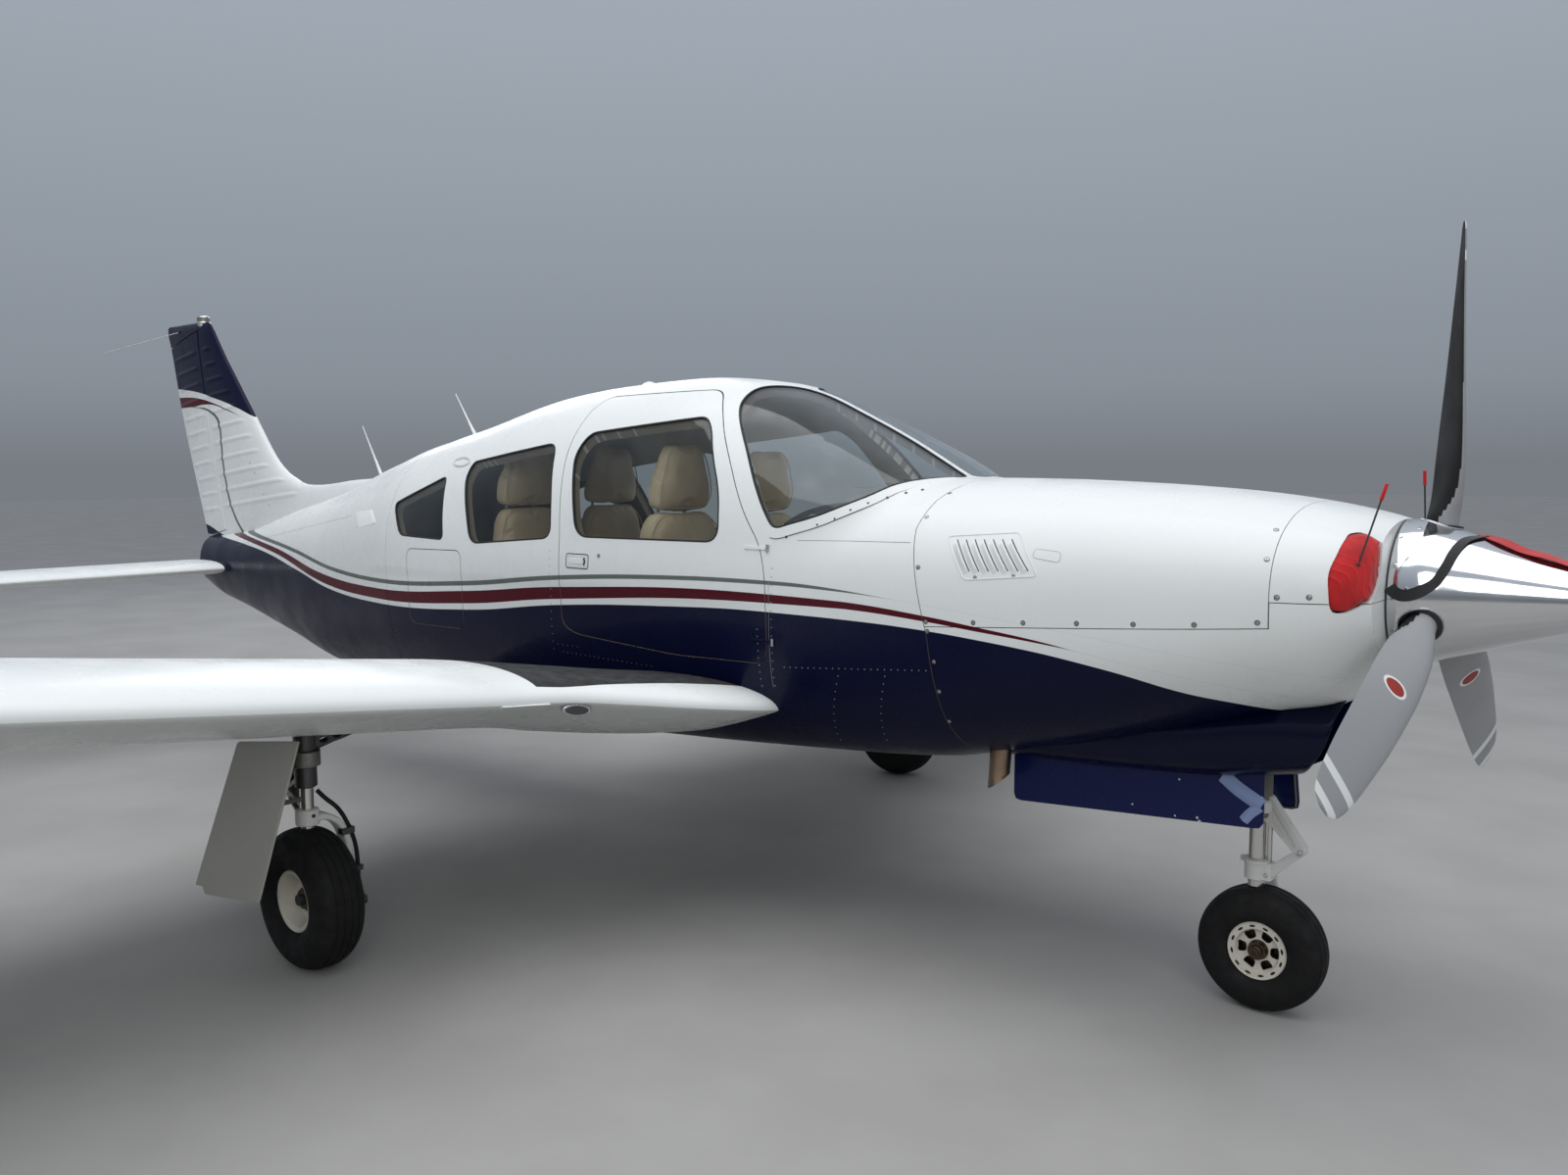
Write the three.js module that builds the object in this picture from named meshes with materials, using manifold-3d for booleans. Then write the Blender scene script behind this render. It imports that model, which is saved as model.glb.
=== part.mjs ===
// Low-wing four-seat light aircraft with retractable gear, standing on its wheels.
// Millimetres. +X to the nose, +Y to the aircraft's left, +Z up.
// The origin is on the ground, midway between nose and tail.

import * as THREE from 'three';
import { mergeVertices } from 'three/addons/utils/BufferGeometryUtils.js';
import Module from 'manifold-3d';

const wasm = await Module();
wasm.setup();

// Driving dimensions
const GAP = 0.3;
const RUN = 6;
const NOSE_AXLE = { x: 2900, z: 180.5 };
const MAIN_AXLE = { x: 500, y: 1600, z: 222.5 };
const PROP = { x: 3314, z: 1232, radius: 962, shank: 38 };
const SPINNER_BACK = 3241;
const WALL = 40;
const COWL_WALL = 14;
const TAIL_WALL = 20;
const GLASS = 10;
const SKIN_POINTS = 24;
const LINING_POINTS = 16;
const SEAM = 1.5;
const REACH = 900;
const TALL = 2600;
const FIREWALL = { high: [2040, 1400], low: [2120, 730] };
const FIREWALL_PLATE = 5;
const BULKHEAD_X = -720;
const BOWL = { seamX: 3030, low: 1223 };
const COWL_SPLIT = { rear: [2000, 1096], front: [3030, 1158] };

const MATERIALS = {
  white: { color: 0xf1f2f0, roughness: 0.25, metalness: 0.0 },
  navy: { color: 0x0b0f2b, roughness: 0.2, metalness: 0.1 },
  glass: { color: 0x9fb0b8, roughness: 0.05, metalness: 0.0, transparent: true, opacity: 0.4 },
  chrome: { color: 0xd8dadc, roughness: 0.08, metalness: 1.0 },
  blade: { color: 0x8d9194, roughness: 0.45, metalness: 0.3 },
  rubber: { color: 0x17181a, roughness: 0.85, metalness: 0.0 },
  rim: { color: 0xe4e2da, roughness: 0.5, metalness: 0.1 },
  steel: { color: 0xb9bcbe, roughness: 0.3, metalness: 0.9 },
  leather: { color: 0xb9a88c, roughness: 0.6, metalness: 0.0 },
  plastic: { color: 0x1c1d1f, roughness: 0.6, metalness: 0.0 },
  fabric: { color: 0xc4161f, roughness: 0.9, metalness: 0.0 },
  engine: { color: 0x5b5e60, roughness: 0.6, metalness: 0.7 },
  exhaust: { color: 0x8a6446, roughness: 0.6, metalness: 0.7 },
  lens: { color: 0xb0121a, roughness: 0.1, metalness: 0.0 },
};

// Body sections: x, top, bottom, half width, height of the widest point, powers of the two halves
const BODY = [
  [3235, 1421, 1042, 300, 1245, 2.2, 2.2],
  [3190, 1433, 985, 352, 1240, 2.3, 2.3],
  [3115, 1449, 925, 395, 1230, 2.4, 2.4],
  [3000, 1469, 893, 430, 1210, 2.5, 2.4],
  [2800, 1492, 835, 470, 1180, 2.6, 2.5],
  [2500, 1511, 745, 505, 1150, 2.7, 2.6],
  [2200, 1521, 680, 532, 1120, 2.7, 2.8],
  [2000, 1523, 636, 541, 1110, 2.7, 3.0],
  [1500, 1510, 590, 552, 1120, 2.7, 3.2],
  [900, 1515, 545, 556, 1130, 2.6, 3.2],
  [300, 1560, 512, 552, 1130, 2.6, 3.2],
  [-300, 1640, 500, 528, 1125, 2.5, 3.0],
  [-720, 1682, 503, 490, 1120, 2.4, 2.8],
  [-1160, 1600, 512, 425, 1090, 2.3, 2.6],
  [-1720, 1452, 535, 340, 1030, 2.2, 2.4],
  [-2320, 1332, 640, 245, 1000, 2.2, 2.2],
  [-2900, 1205, 748, 160, 985, 2.1, 2.1],
  [-3250, 1165, 805, 112, 985, 2.0, 2.0],
  [-3500, 1140, 885, 70, 1000, 2.0, 2.0],
];

// Greenhouse over the cabin: x, top, half width at its foot, power; its foot is at z = FOOT
const FOOT = 1150;
const CANOPY = [
  [1980, 1484, 400, 3.2],
  [1900, 1528, 457, 3.2],
  [1800, 1584, 494, 3.2],
  [1700, 1639, 519, 3.0],
  [1500, 1735, 543, 2.7],
  [1300, 1820, 551, 2.5],
  [1100, 1871, 553, 2.5],
  [800, 1897, 554, 2.5],
  [400, 1884, 551, 2.5],
  [140, 1861, 546, 2.5],
  [-410, 1753, 515, 2.45],
  [-720, 1694, 487, 2.4],
  [-1000, 1620, 440, 2.3],
];

// Air scoop under the cowl: x, top, bottom, half width, height of the widest point, power
const SCOOP = [
  [3105, 960, 716, 232, 850, 2.6],
  [3000, 955, 702, 240, 840, 2.6],
  [2700, 900, 676, 245, 800, 2.6],
  [2400, 860, 656, 240, 770, 2.6],
  [2100, 800, 645, 215, 730, 2.6],
];

// Wing sections: distance from the centreline, leading edge x, chord, thickness, camber, twist in degrees
const WING = [
  [300, 1500, 2000, 236, 34, 4.7],
  [540, 1495, 1995, 236, 34, 4.7],
  [700, 1430, 1930, 237, 34, 4.7],
  [900, 1280, 1780, 238, 34, 4.7],
  [1100, 1140, 1640, 239, 34, 4.7],
  [1250, 1100, 1600, 240, 34, 4.7],
  [2900, 1100, 1600, 240, 34, 4.2],
  [5180, 830, 1110, 160, 22, 2.4],
  [5330, 760, 1010, 118, 12, 2.2],
  [5400, 650, 840, 50, 0, 2.2],
];
const WING_ROOT_Z = 740;
const WING_ROOT_Y = 600;
const DIHEDRAL = THREE.MathUtils.degToRad(7);

const TAIL = {
  height: 985,
  lead: -2960,
  chord: 760,
  thickness: 78,
  root: 172,
  half: 1960,
  hingeX: -3170,
  tubeRadius: 28,
  tabHingeX: -3600,
  tabHalf: 1250,
};

// Fin sections: height, leading edge x, trailing edge x, thickness
const FIN = [
  [1120, -1860, -3440, 96],
  [1300, -2030, -3490, 96],
  [1480, -2240, -3555, 96],
  [1627, -2510, -3610, 92],
  [1850, -2790, -3680, 86],
  [2080, -2970, -3755, 78],
  [2310, -3165, -3858, 66],
  [2400, -3250, -3900, 56],
  [2425, -3320, -3890, 24],
];
const RUDDER_HINGE = { foot: [-3239, 1169], head: [-3458, 2333], low: 1195, high: 2370 };

// Geometry helpers

/** Volume inside a closed indexed mesh; negative when its faces point inwards. */
function signedVolume(geometry) {
  const position = geometry.attributes.position;
  const corner = [0, 1, 2].map(() => new THREE.Vector3());
  let sum = 0;
  for (let i = 0; i < geometry.index.count; i += 3) {
    corner.forEach((point, k) => point.fromBufferAttribute(position, geometry.index.getX(i + k)));
    sum += corner[0].dot(corner[1].clone().cross(corner[2])) / 6;
  }
  return sum;
}

/** Geometry with only welded positions and its faces pointing outwards. */
function welded(geometry) {
  const bare = geometry.clone();
  bare.deleteAttribute('normal');
  bare.deleteAttribute('uv');
  const merged = mergeVertices(bare, 1e-3);
  if (signedVolume(merged) < 0) {
    const order = Array.from(merged.index.array);
    for (let i = 0; i < order.length; i += 3) [order[i], order[i + 1]] = [order[i + 1], order[i]];
    merged.setIndex(order);
  }
  return merged;
}

/** Solid for joins and cuts. */
function solid(geometry) {
  const merged = welded(geometry);
  return new wasm.Manifold(new wasm.Mesh({
    numProp: 3,
    vertProperties: Float32Array.from(merged.attributes.position.array),
    triVerts: Uint32Array.from(merged.index.array),
  }));
}

/** Geometry of a solid. */
function surface(manifold) {
  const mesh = manifold.getMesh();
  const points = new Float32Array(mesh.numVert * 3);
  for (let i = 0; i < mesh.numVert; i += 1) {
    for (let k = 0; k < 3; k += 1) points[i * 3 + k] = mesh.vertProperties[i * mesh.numProp + k];
  }
  const geometry = new THREE.BufferGeometry();
  geometry.setAttribute('position', new THREE.BufferAttribute(points, 3));
  geometry.setIndex(Array.from(mesh.triVerts));
  geometry.computeVertexNormals();
  return geometry;
}

/** The same piece on the other side of the aircraft. */
function mirrored(geometry) {
  const other = welded(geometry);
  other.scale(1, -1, 1);
  return surface(solid(other));
}

/** Closed skin through rings of points, each ring capped to its middle at the two ends. */
function loft(rings) {
  const count = rings[0].length;
  const points = rings.flat();
  const index = [];
  for (let i = 0; i + 1 < rings.length; i += 1) {
    for (let j = 0; j < count; j += 1) {
      const a = i * count + j;
      const b = i * count + ((j + 1) % count);
      index.push(a, b, b + count, a, b + count, a + count);
    }
  }
  for (const [ring, turn] of [[0, 1], [rings.length - 1, -1]]) {
    const middle = new THREE.Vector3();
    rings[ring].forEach((point) => middle.addScaledVector(point, 1 / count));
    points.push(middle);
    for (let j = 0; j < count; j += 1) {
      const a = ring * count + j;
      const b = ring * count + ((j + 1) % count);
      index.push(...(turn > 0 ? [points.length - 1, b, a] : [points.length - 1, a, b]));
    }
  }
  const geometry = new THREE.BufferGeometry().setFromPoints(points);
  geometry.setIndex(index);
  return geometry;
}

/** Box between two corners. */
function box(low, high) {
  const size = high.map((value, k) => value - low[k]);
  const geometry = new THREE.BoxGeometry(...size);
  return geometry.translate(...low.map((value, k) => value + size[k] / 2));
}

/** Round bar between two points, with its own radius at each end. */
function bar(from, to, radius, endRadius = radius, sides = 16) {
  const start = new THREE.Vector3(...from);
  const along = new THREE.Vector3(...to).sub(start);
  const geometry = new THREE.CylinderGeometry(endRadius, radius, along.length(), sides);
  const cylinderAxis = new THREE.Vector3(0, 1, 0);
  const turn = new THREE.Quaternion().setFromUnitVectors(cylinderAxis, along.clone().normalize());
  return geometry.applyQuaternion(turn).translate(...start.addScaledVector(along, 0.5).toArray());
}

/** Outline in x and z with its corners rounded, as a three.js shape. */
function roundedShape(corners, radius) {
  const shape = new THREE.Shape();
  corners.forEach((corner, i) => {
    const here = new THREE.Vector2(...corner);
    const before = new THREE.Vector2(...corners[(i + corners.length - 1) % corners.length]);
    const after = new THREE.Vector2(...corners[(i + 1) % corners.length]);
    const reach = Math.min(radius, here.distanceTo(before) / 2.2, here.distanceTo(after) / 2.2);
    const start = here.clone().add(before.sub(here).setLength(reach));
    const end = here.clone().add(after.sub(here).setLength(reach));
    if (i === 0) shape.moveTo(start.x, start.y);
    else shape.lineTo(start.x, start.y);
    if (radius > 0) shape.quadraticCurveTo(here.x, here.y, end.x, end.y);
  });
  shape.closePath();
  return shape;
}

/** Outline in x and z carried sideways from y = low to y = high. */
function sidePrism(corners, low, high, radius = 0) {
  const options = { depth: high - low, bevelEnabled: false, curveSegments: 3 };
  const geometry = new THREE.ExtrudeGeometry(roundedShape(corners, radius), options);
  return geometry.rotateX(Math.PI / 2).translate(0, high, 0);
}

/** Outline moved outwards by a distance, corner by corner; corners run anticlockwise or clockwise. */
function offsetOutline(corners, distance) {
  const area = corners.reduce((sum, [x, z], i) => {
    const [nx, nz] = corners[(i + 1) % corners.length];
    return sum + x * nz - nx * z;
  }, 0);
  const turn = Math.sign(area);
  return corners.map((corner, i) => {
    const here = new THREE.Vector2(...corner);
    const before = new THREE.Vector2(...corners[(i + corners.length - 1) % corners.length]);
    const after = new THREE.Vector2(...corners[(i + 1) % corners.length]);
    const inward = here.clone().sub(before).normalize();
    const outward = after.clone().sub(here).normalize();
    const a = new THREE.Vector2(inward.y * turn, -inward.x * turn);
    const b = new THREE.Vector2(outward.y * turn, -outward.x * turn);
    const bisector = a.clone().add(b).normalize();
    return here.addScaledVector(bisector, distance / bisector.dot(a)).toArray();
  });
}

/** Ring of a body section: two half superellipses that meet at the widest height. */
function sectionRing([x, top, bottom, half, wide, topPower, bottomPower], grow, points) {
  return Array.from({ length: points }, (_, k) => {
    const angle = (2 * Math.PI * (k + 0.5)) / points;
    const [c, s] = [Math.cos(angle), Math.sin(angle)];
    const power = 2 / (s > 0 ? topPower : bottomPower);
    const rise = s > 0 ? top + grow - wide : wide - bottom + grow;
    const y = (half + grow) * Math.sign(c) * Math.abs(c) ** power;
    return new THREE.Vector3(x, y, wide + rise * Math.sign(s) * Math.abs(s) ** power);
  });
}

/** Body solid grown outwards by a distance, or shrunk by a negative one. */
function bodySolid(grow, table = BODY, points = SKIN_POINTS) {
  return solid(loft(table.map((row) => sectionRing(row, grow, points))));
}

/** Greenhouse solid grown or shrunk; its foot stays inside the body. */
function canopySolid(grow, points = SKIN_POINTS) {
  return solid(loft(CANOPY.map(([x, top, half, power]) => (
    sectionRing([x, top, FOOT - 60, half, FOOT, power, 6], grow, points)
  ))));
}

/** Whole fuselage with its greenhouse. */
function fuselageSolid(grow, points = SKIN_POINTS) {
  return bodySolid(grow, BODY, points).add(canopySolid(grow, points));
}

/** Everything behind a slanted line in side view, which runs from its low point to its high point. */
function behind({ low, high }, shift, rearX) {
  return solid(sidePrism([
    [rearX, 0], [low[0] + shift + (low[0] - high[0]) * 0.5, low[1] - (high[1] - low[1]) * 0.5],
    [high[0] + shift - (low[0] - high[0]), high[1] + (high[1] - low[1])], [rearX, 2600],
  ], -REACH, REACH));
}

const intersect = (a, b) => a.intersect(b);

/** Everything between two places along the aircraft, above a height. */
const slab = (rearX, frontX, low = 0) => solid(box([rearX, -REACH, low], [frontX, REACH, TALL]));

const group = new THREE.Group();
const finishes = Object.fromEntries(Object.entries(MATERIALS).map(
  ([name, look]) => [name, new THREE.MeshStandardMaterial(look)],
));

/** Adds one named piece to a group. */
function piece(name, geometry, finish, parent = group) {
  const mesh = new THREE.Mesh(geometry, finishes[finish]);
  mesh.name = name;
  parent.add(mesh);
}

/** Adds a piece of the right side and the same piece on the left. */
function pair(name, geometry, finish) {
  piece(`${name}_right`, geometry, finish);
  piece(`${name}_left`, mirrored(geometry), finish);
}

// Fuselage, doors and windows

const DOOR = [
  [1497, 930], [1497, 1280], [1368, 1423], [1262, 1582], [1134, 1751], [1080, 1812],
  [440, 1790], [432, 1640], [470, 1320], [482, 980], [560, 950], [1070, 921],
];
const DOOR_WINDOW = [
  [1278, 1312], [1255, 1480], [1135, 1690], [1080, 1738], [520, 1690], [480, 1610], [560, 1306],
];
const REAR_WINDOW = [[420, 1296], [405, 1440], [350, 1658], [-200, 1585], [-215, 1520], [-100, 1255]];
const QUARTER_WINDOW = [[-300, 1264], [-370, 1520], [-680, 1430], [-660, 1268]];
const BAGGAGE_DOOR = [[-165, 905], [-165, 1225], [-600, 1215], [-600, 895]];
const WINDSHIELD = [
  [1925, 1536], [1846, 1507], [1791, 1468], [1681, 1418], [1540, 1374], [1485, 1364],
  [1411, 1480], [1316, 1608], [1197, 1746], [1156, 1840], [1156, 1920], [1925, 1920],
];
const DOOR_HINGE = { x: 1500, y: -574, arm: 36, heights: [980, 1180] };
const BAGGAGE_HINGE = { x: -162, y: -556, arm: 38, heights: [960, 1130] };
const FLOOR = [[2100, 735], [-760, 600]];

const outside = fuselageSolid(0);
const inside = fuselageSolid(-WALL, LINING_POINTS);
const paneSkin = fuselageSolid(-8).subtract(fuselageSolid(-8 - GLASS));
const rightSide = solid(box([-4000, -REACH, 0], [4000, 0, TALL]));

/** Cutter through the wall of one side. */
const through = (outline, side, radius) => solid(
  side < 0 ? sidePrism(outline, -REACH, -20, radius) : sidePrism(outline, 20, REACH, radius),
);

/** Window pane that lies in its opening. */
function pane(outline, side, radius) {
  return surface(intersect(paneSkin, through(offsetOutline(outline, -GAP), side, radius)));
}

const cabinZone = intersect(behind(FIREWALL, -SEAM, BULKHEAD_X), slab(BULKHEAD_X, 2400));
/** Room inside the cabin, above its floor, smaller all round by a gap. */
function cabinRoom(gap) {
  const floorLine = FLOOR.map(([x, z]) => [x, z + gap]);
  const aboveFloor = sidePrism([...floorLine, [FLOOR[1][0], TALL], [FLOOR[0][0], TALL]], -REACH, REACH);
  return fuselageSolid(-WALL - gap, LINING_POINTS)
    .intersect(behind(FIREWALL, -30 - gap, BULKHEAD_X - 50))
    .intersect(solid(aboveFloor));
}
const cavity = cabinRoom(0);
const doorOpening = through(offsetOutline(DOOR, RUN), -1, 60);
const baggageOpening = through(offsetOutline(BAGGAGE_DOOR, RUN), -1, 45);

const KNUCKLE = { radius: 9, reach: 34, tall: 18, run: 0.4 };

/** Knuckle of a hinge on a vertical axis: a round barrel and the arm from it, to the front or to the rear. */
function knuckle(hinge, low, high, reach) {
  const barrel = bar([hinge.x, hinge.y, low], [hinge.x, hinge.y, high], KNUCKLE.radius, KNUCKLE.radius, 8);
  const ends = [hinge.x, hinge.x + reach].toSorted((a, b) => a - b);
  return solid(barrel).add(solid(box([ends[0], hinge.y, low], [ends[1], hinge.y + hinge.arm, high])));
}

/** The frame's two knuckles at a height, and the door's knuckle between them. */
function knuckleSet(hinge, z) {
  const { reach, tall, run } = KNUCKLE;
  const second = z + tall + 24;
  const frame = knuckle(hinge, z, z + tall, reach).add(knuckle(hinge, second, second + tall, reach));
  return { frame, leaf: knuckle(hinge, z + tall + run, second - run, -reach) };
}

let cabin = intersect(outside, cabinZone).subtract(cavity);
for (const side of [-1, 1]) {
  cabin = cabin.subtract(through(REAR_WINDOW, side, 70)).subtract(through(QUARTER_WINDOW, side, 45));
  cabin = cabin.subtract(through(WINDSHIELD, side, 50));
}
cabin = cabin.subtract(through(DOOR_WINDOW, 1, 70)).subtract(doorOpening).subtract(baggageOpening);

let door = intersect(intersect(outside, through(DOOR, -1, 60)).subtract(inside), rightSide);
door = door.subtract(through(DOOR_WINDOW, -1, 70));
let baggageDoor = intersect(intersect(outside, through(BAGGAGE_DOOR, -1, 45)).subtract(inside), rightSide);
for (const z of DOOR_HINGE.heights) {
  const { frame, leaf } = knuckleSet(DOOR_HINGE, z);
  cabin = cabin.add(frame);
  door = door.add(leaf);
}
for (const z of BAGGAGE_HINGE.heights) {
  const { frame, leaf } = knuckleSet(BAGGAGE_HINGE, z);
  cabin = cabin.add(frame);
  baggageDoor = baggageDoor.add(leaf);
}
piece('fuselage_cabin', surface(cabin), 'white');
piece('cabin_door', surface(door), 'white');
piece('baggage_door', surface(baggageDoor), 'white');
piece('windshield_right', pane(WINDSHIELD, -1, 50), 'glass');
piece('windshield_left', pane(WINDSHIELD, 1, 50), 'glass');
piece('door_window_right', pane(DOOR_WINDOW, -1, 70), 'glass');
piece('front_window_left', pane(DOOR_WINDOW, 1, 70), 'glass');
piece('rear_window_right', pane(REAR_WINDOW, -1, 70), 'glass');
piece('rear_window_left', pane(REAR_WINDOW, 1, 70), 'glass');
piece('quarter_window_right', pane(QUARTER_WINDOW, -1, 45), 'glass');
piece('quarter_window_left', pane(QUARTER_WINDOW, 1, 45), 'glass');

const BULKHEAD_PLATE = 12;
const rearBulkhead = intersect(cabinRoom(GAP), slab(BULKHEAD_X, BULKHEAD_X + BULKHEAD_PLATE));
piece('rear_bulkhead', surface(rearBulkhead), 'white');

/** Round bar across the tail on the stabilator's axis. */
const tailCrossBar = (half, radius) => solid(
  bar([TAIL.hingeX, -half, TAIL.height], [TAIL.hingeX, half, TAIL.height], radius, radius, 24),
);
const tailZone = slab(-3600, BULKHEAD_X - GAP);
const tailCavity = intersect(fuselageSolid(-TAIL_WALL, LINING_POINTS), slab(-2850, BULKHEAD_X + 10));
const stabilatorBore = tailCrossBar(400, TAIL.tubeRadius + 0.4);
const tailCone = intersect(outside, tailZone).subtract(tailCavity).subtract(stabilatorBore);
piece('tail_cone', surface(tailCone), 'white');

// Engine bay

const firewallFace = behind(FIREWALL, FIREWALL_PLATE + GAP, 1800);
const firewallSlab = behind(FIREWALL, FIREWALL_PLATE, 1900).subtract(behind(FIREWALL, GAP - SEAM, 1800));
piece('firewall', surface(intersect(bodySolid(-COWL_WALL - 1, BODY, LINING_POINTS), firewallSlab)), 'steel');

const scoopTable = SCOOP.map((row) => [...row, row.at(-1)]);
const openScoop = [[3120, ...scoopTable[0].slice(1)], ...scoopTable.slice(0, -1)];
const aheadOfFirewall = slab(1900, 3400).subtract(behind(FIREWALL, 0, 1850));
const cowlOutside = bodySolid(0).add(bodySolid(0, scoopTable));
const cowlInside = bodySolid(-COWL_WALL, BODY, LINING_POINTS)
  .add(bodySolid(-COWL_WALL, openScoop, LINING_POINTS))
  .intersect(slab(1900, SPINNER_BACK - 22));
const SHAFT_RADIUS = 45;
const WELL = { front: 3010, rear: 2180, half: 125, top: 760 };
const INTAKE = { y: 292, z: 1292, halfWidth: 78, halfHeight: 95 };
const EXHAUST = { x: 2185, y: -225, radius: 34, low: 545, high: 740 };

/** Oval bar along X, for the cooling intake and what plugs it. */
function ovalAlongX({ y, z, halfWidth, halfHeight }, from, to, shrink) {
  const geometry = new THREE.CylinderGeometry(1, 1, to - from, 24).rotateZ(Math.PI / 2);
  return geometry.scale(1, halfWidth - shrink, halfHeight - shrink).translate((from + to) / 2, y, z);
}

/** Everything above the line where the upper cowl meets the lower one. */
function splitAbove(shift) {
  const rear = [COWL_SPLIT.rear[0] - 100, COWL_SPLIT.rear[1] + shift];
  const front = [COWL_SPLIT.front[0] + 300, COWL_SPLIT.front[1] + shift];
  return solid(sidePrism([rear, front, [front[0], TALL], [rear[0], TALL]], -REACH, REACH));
}
const cowl = intersect(cowlOutside.subtract(cowlInside), aheadOfFirewall);
const shaftHole = solid(bar([3000, 0, PROP.z], [3400, 0, PROP.z], SHAFT_RADIUS + 15, SHAFT_RADIUS + 15, 24));
/** Upright bar on the exhaust's axis. */
function exhaustBar(low, high, radius) {
  return bar([EXHAUST.x, EXHAUST.y, low], [EXHAUST.x, EXHAUST.y, high], radius);
}
const exhaustHole = solid(exhaustBar(500, 800, EXHAUST.radius + GAP));
const well = solid(box([WELL.rear, -WELL.half, 500], [WELL.front, WELL.half, WELL.top]));

let openCowl = cowl.subtract(shaftHole);
for (const side of [-1, 1]) {
  openCowl = openCowl.subtract(solid(ovalAlongX({ ...INTAKE, y: INTAKE.y * side }, 3000, 3400, 0)));
}
const bowl = intersect(openCowl, slab(BOWL.seamX, 3400, BOWL.low));
const upper = intersect(openCowl, slab(1900, BOWL.seamX - GAP)).intersect(splitAbove(GAP));
const lower = openCowl.subtract(intersect(splitAbove(0), slab(1900, BOWL.seamX)))
  .subtract(slab(BOWL.seamX, 3400, BOWL.low - GAP)).subtract(exhaustHole).subtract(well);
piece('nose_bowl', surface(bowl), 'white');
piece('cowl_upper', surface(upper), 'white');
piece('cowl_lower', surface(lower), 'navy');

const ENGINE = {
  rear: 2350, front: 3080, half: 385, low: 1010, high: 1390, mountY: [-220, 220], mountZ: [1040, 1340],
};
let engine = intersect(
  solid(box([ENGINE.rear, -ENGINE.half, ENGINE.low], [ENGINE.front, ENGINE.half, ENGINE.high])),
  bodySolid(-COWL_WALL - 12),
);
const shaftEnds = [[ENGINE.front - 20, 0, PROP.z], [SPINNER_BACK - 0.4, 0, PROP.z]];
engine = engine.add(solid(bar(...shaftEnds, SHAFT_RADIUS, SHAFT_RADIUS, 24)));
for (const y of ENGINE.mountY) {
  for (const z of ENGINE.mountZ) {
    engine = engine.add(solid(bar([1990, y, z], [ENGINE.rear + 20, y, z], 14, 14, 10)));
  }
}
engine = engine.subtract(firewallFace);
piece('engine', surface(engine), 'engine');
piece('exhaust_pipe', exhaustBar(EXHAUST.low, EXHAUST.high, EXHAUST.radius), 'exhaust');

const plugShape = intersect(
  solid(ovalAlongX({ ...INTAKE, y: -INTAKE.y }, 3110, 3232, GAP + 0.2)),
  bodySolid(10),
);
pair('intake_plug', surface(plugShape), 'fabric');

// Propeller

// Spinner profile: x, radius
const SPINNER = [
  [SPINNER_BACK, 0], [SPINNER_BACK, 189], [3290, 190], [3350, 168], [3400, 153], [3500, 116],
  [3600, 86], [3700, 56], [3790, 29], [3840, 10], [3848, 0],
];
// Blade sections: distance from the axis, chord, thickness, pitch in degrees, sweep
const BLADE = [
  [60, 76, 76, 60, 0],
  [196, 76, 76, 60, 0],
  [240, 98, 50, 52, 4],
  [320, 128, 30, 42, 8],
  [450, 148, 22, 33, 10],
  [600, 154, 17, 26, 8],
  [760, 146, 13, 21, 0],
  [880, 126, 10, 18, -8],
  [940, 92, 8, 17, -16],
  [PROP.radius, 36, 5, 17, -24],
];
const BLADE_ANGLES = [-6, 114, 234];

/** Blade standing on the propeller axis: rings go from round shank to thin tip. */
function bladeGeometry() {
  const count = 12;
  return loft(BLADE.map(([radius, chord, thickness, pitchDegrees, sweep]) => {
    const pitch = THREE.MathUtils.degToRad(pitchDegrees);
    return Array.from({ length: count }, (_, k) => {
      const angle = (2 * Math.PI * k) / count;
      const along = (chord / 2) * Math.cos(angle) + sweep;
      const across = (thickness / 2) * Math.sin(angle);
      const x = Math.sin(pitch) * along + Math.cos(pitch) * across;
      const y = -Math.cos(pitch) * along + Math.sin(pitch) * across;
      return new THREE.Vector3(x, y, radius);
    });
  }));
}

const propeller = new THREE.Group();
propeller.position.set(PROP.x, 0, PROP.z);
group.add(propeller);
const spinnerProfile = SPINNER.map(([x, radius]) => new THREE.Vector2(radius, x - PROP.x));
let spinner = solid(new THREE.LatheGeometry(spinnerProfile, 22).rotateZ(-Math.PI / 2));
for (const degrees of BLADE_ANGLES) {
  const angle = THREE.MathUtils.degToRad(degrees);
  const out = (radius) => [0, -Math.sin(angle) * radius, Math.cos(angle) * radius];
  spinner = spinner.subtract(solid(bar(out(60 - GAP), out(260), PROP.shank + 2.2, PROP.shank + 2.2, 12)));
}
piece('spinner', surface(spinner), 'chrome', propeller);
BLADE_ANGLES.forEach((degrees, i) => {
  const blade = bladeGeometry().rotateX(THREE.MathUtils.degToRad(degrees));
  piece(`propeller_blade_${i + 1}`, surface(solid(blade)), 'blade', propeller);
});

// Wings and tail

/** Half thickness of a wing section at a fraction of its chord, for a thickness of one. */
function halfThickness(c) {
  return 5 * (0.2969 * Math.sqrt(c) - 0.126 * c - 0.3516 * c ** 2 + 0.2843 * c ** 3 - 0.1036 * c ** 4);
}

/** Section points as fraction of chord and offset: upper side to the nose, then the lower side. */
function sectionPoints(thickness, camber, edge = 2) {
  const fractions = [1, 0.72, 0.45, 0.24, 0.1, 0.025];
  const half = (c) => Math.max(thickness * halfThickness(c), edge);
  const line = (c) => camber * 4 * c * (1 - c);
  return [
    ...fractions.map((c) => [c, line(c) + half(c)]),
    [0, 0],
    ...fractions.toReversed().map((c) => [c, line(c) - half(c)]),
  ];
}

const wingHeight = (span) => WING_ROOT_Z + Math.tan(DIHEDRAL) * (span - WING_ROOT_Y);

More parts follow.
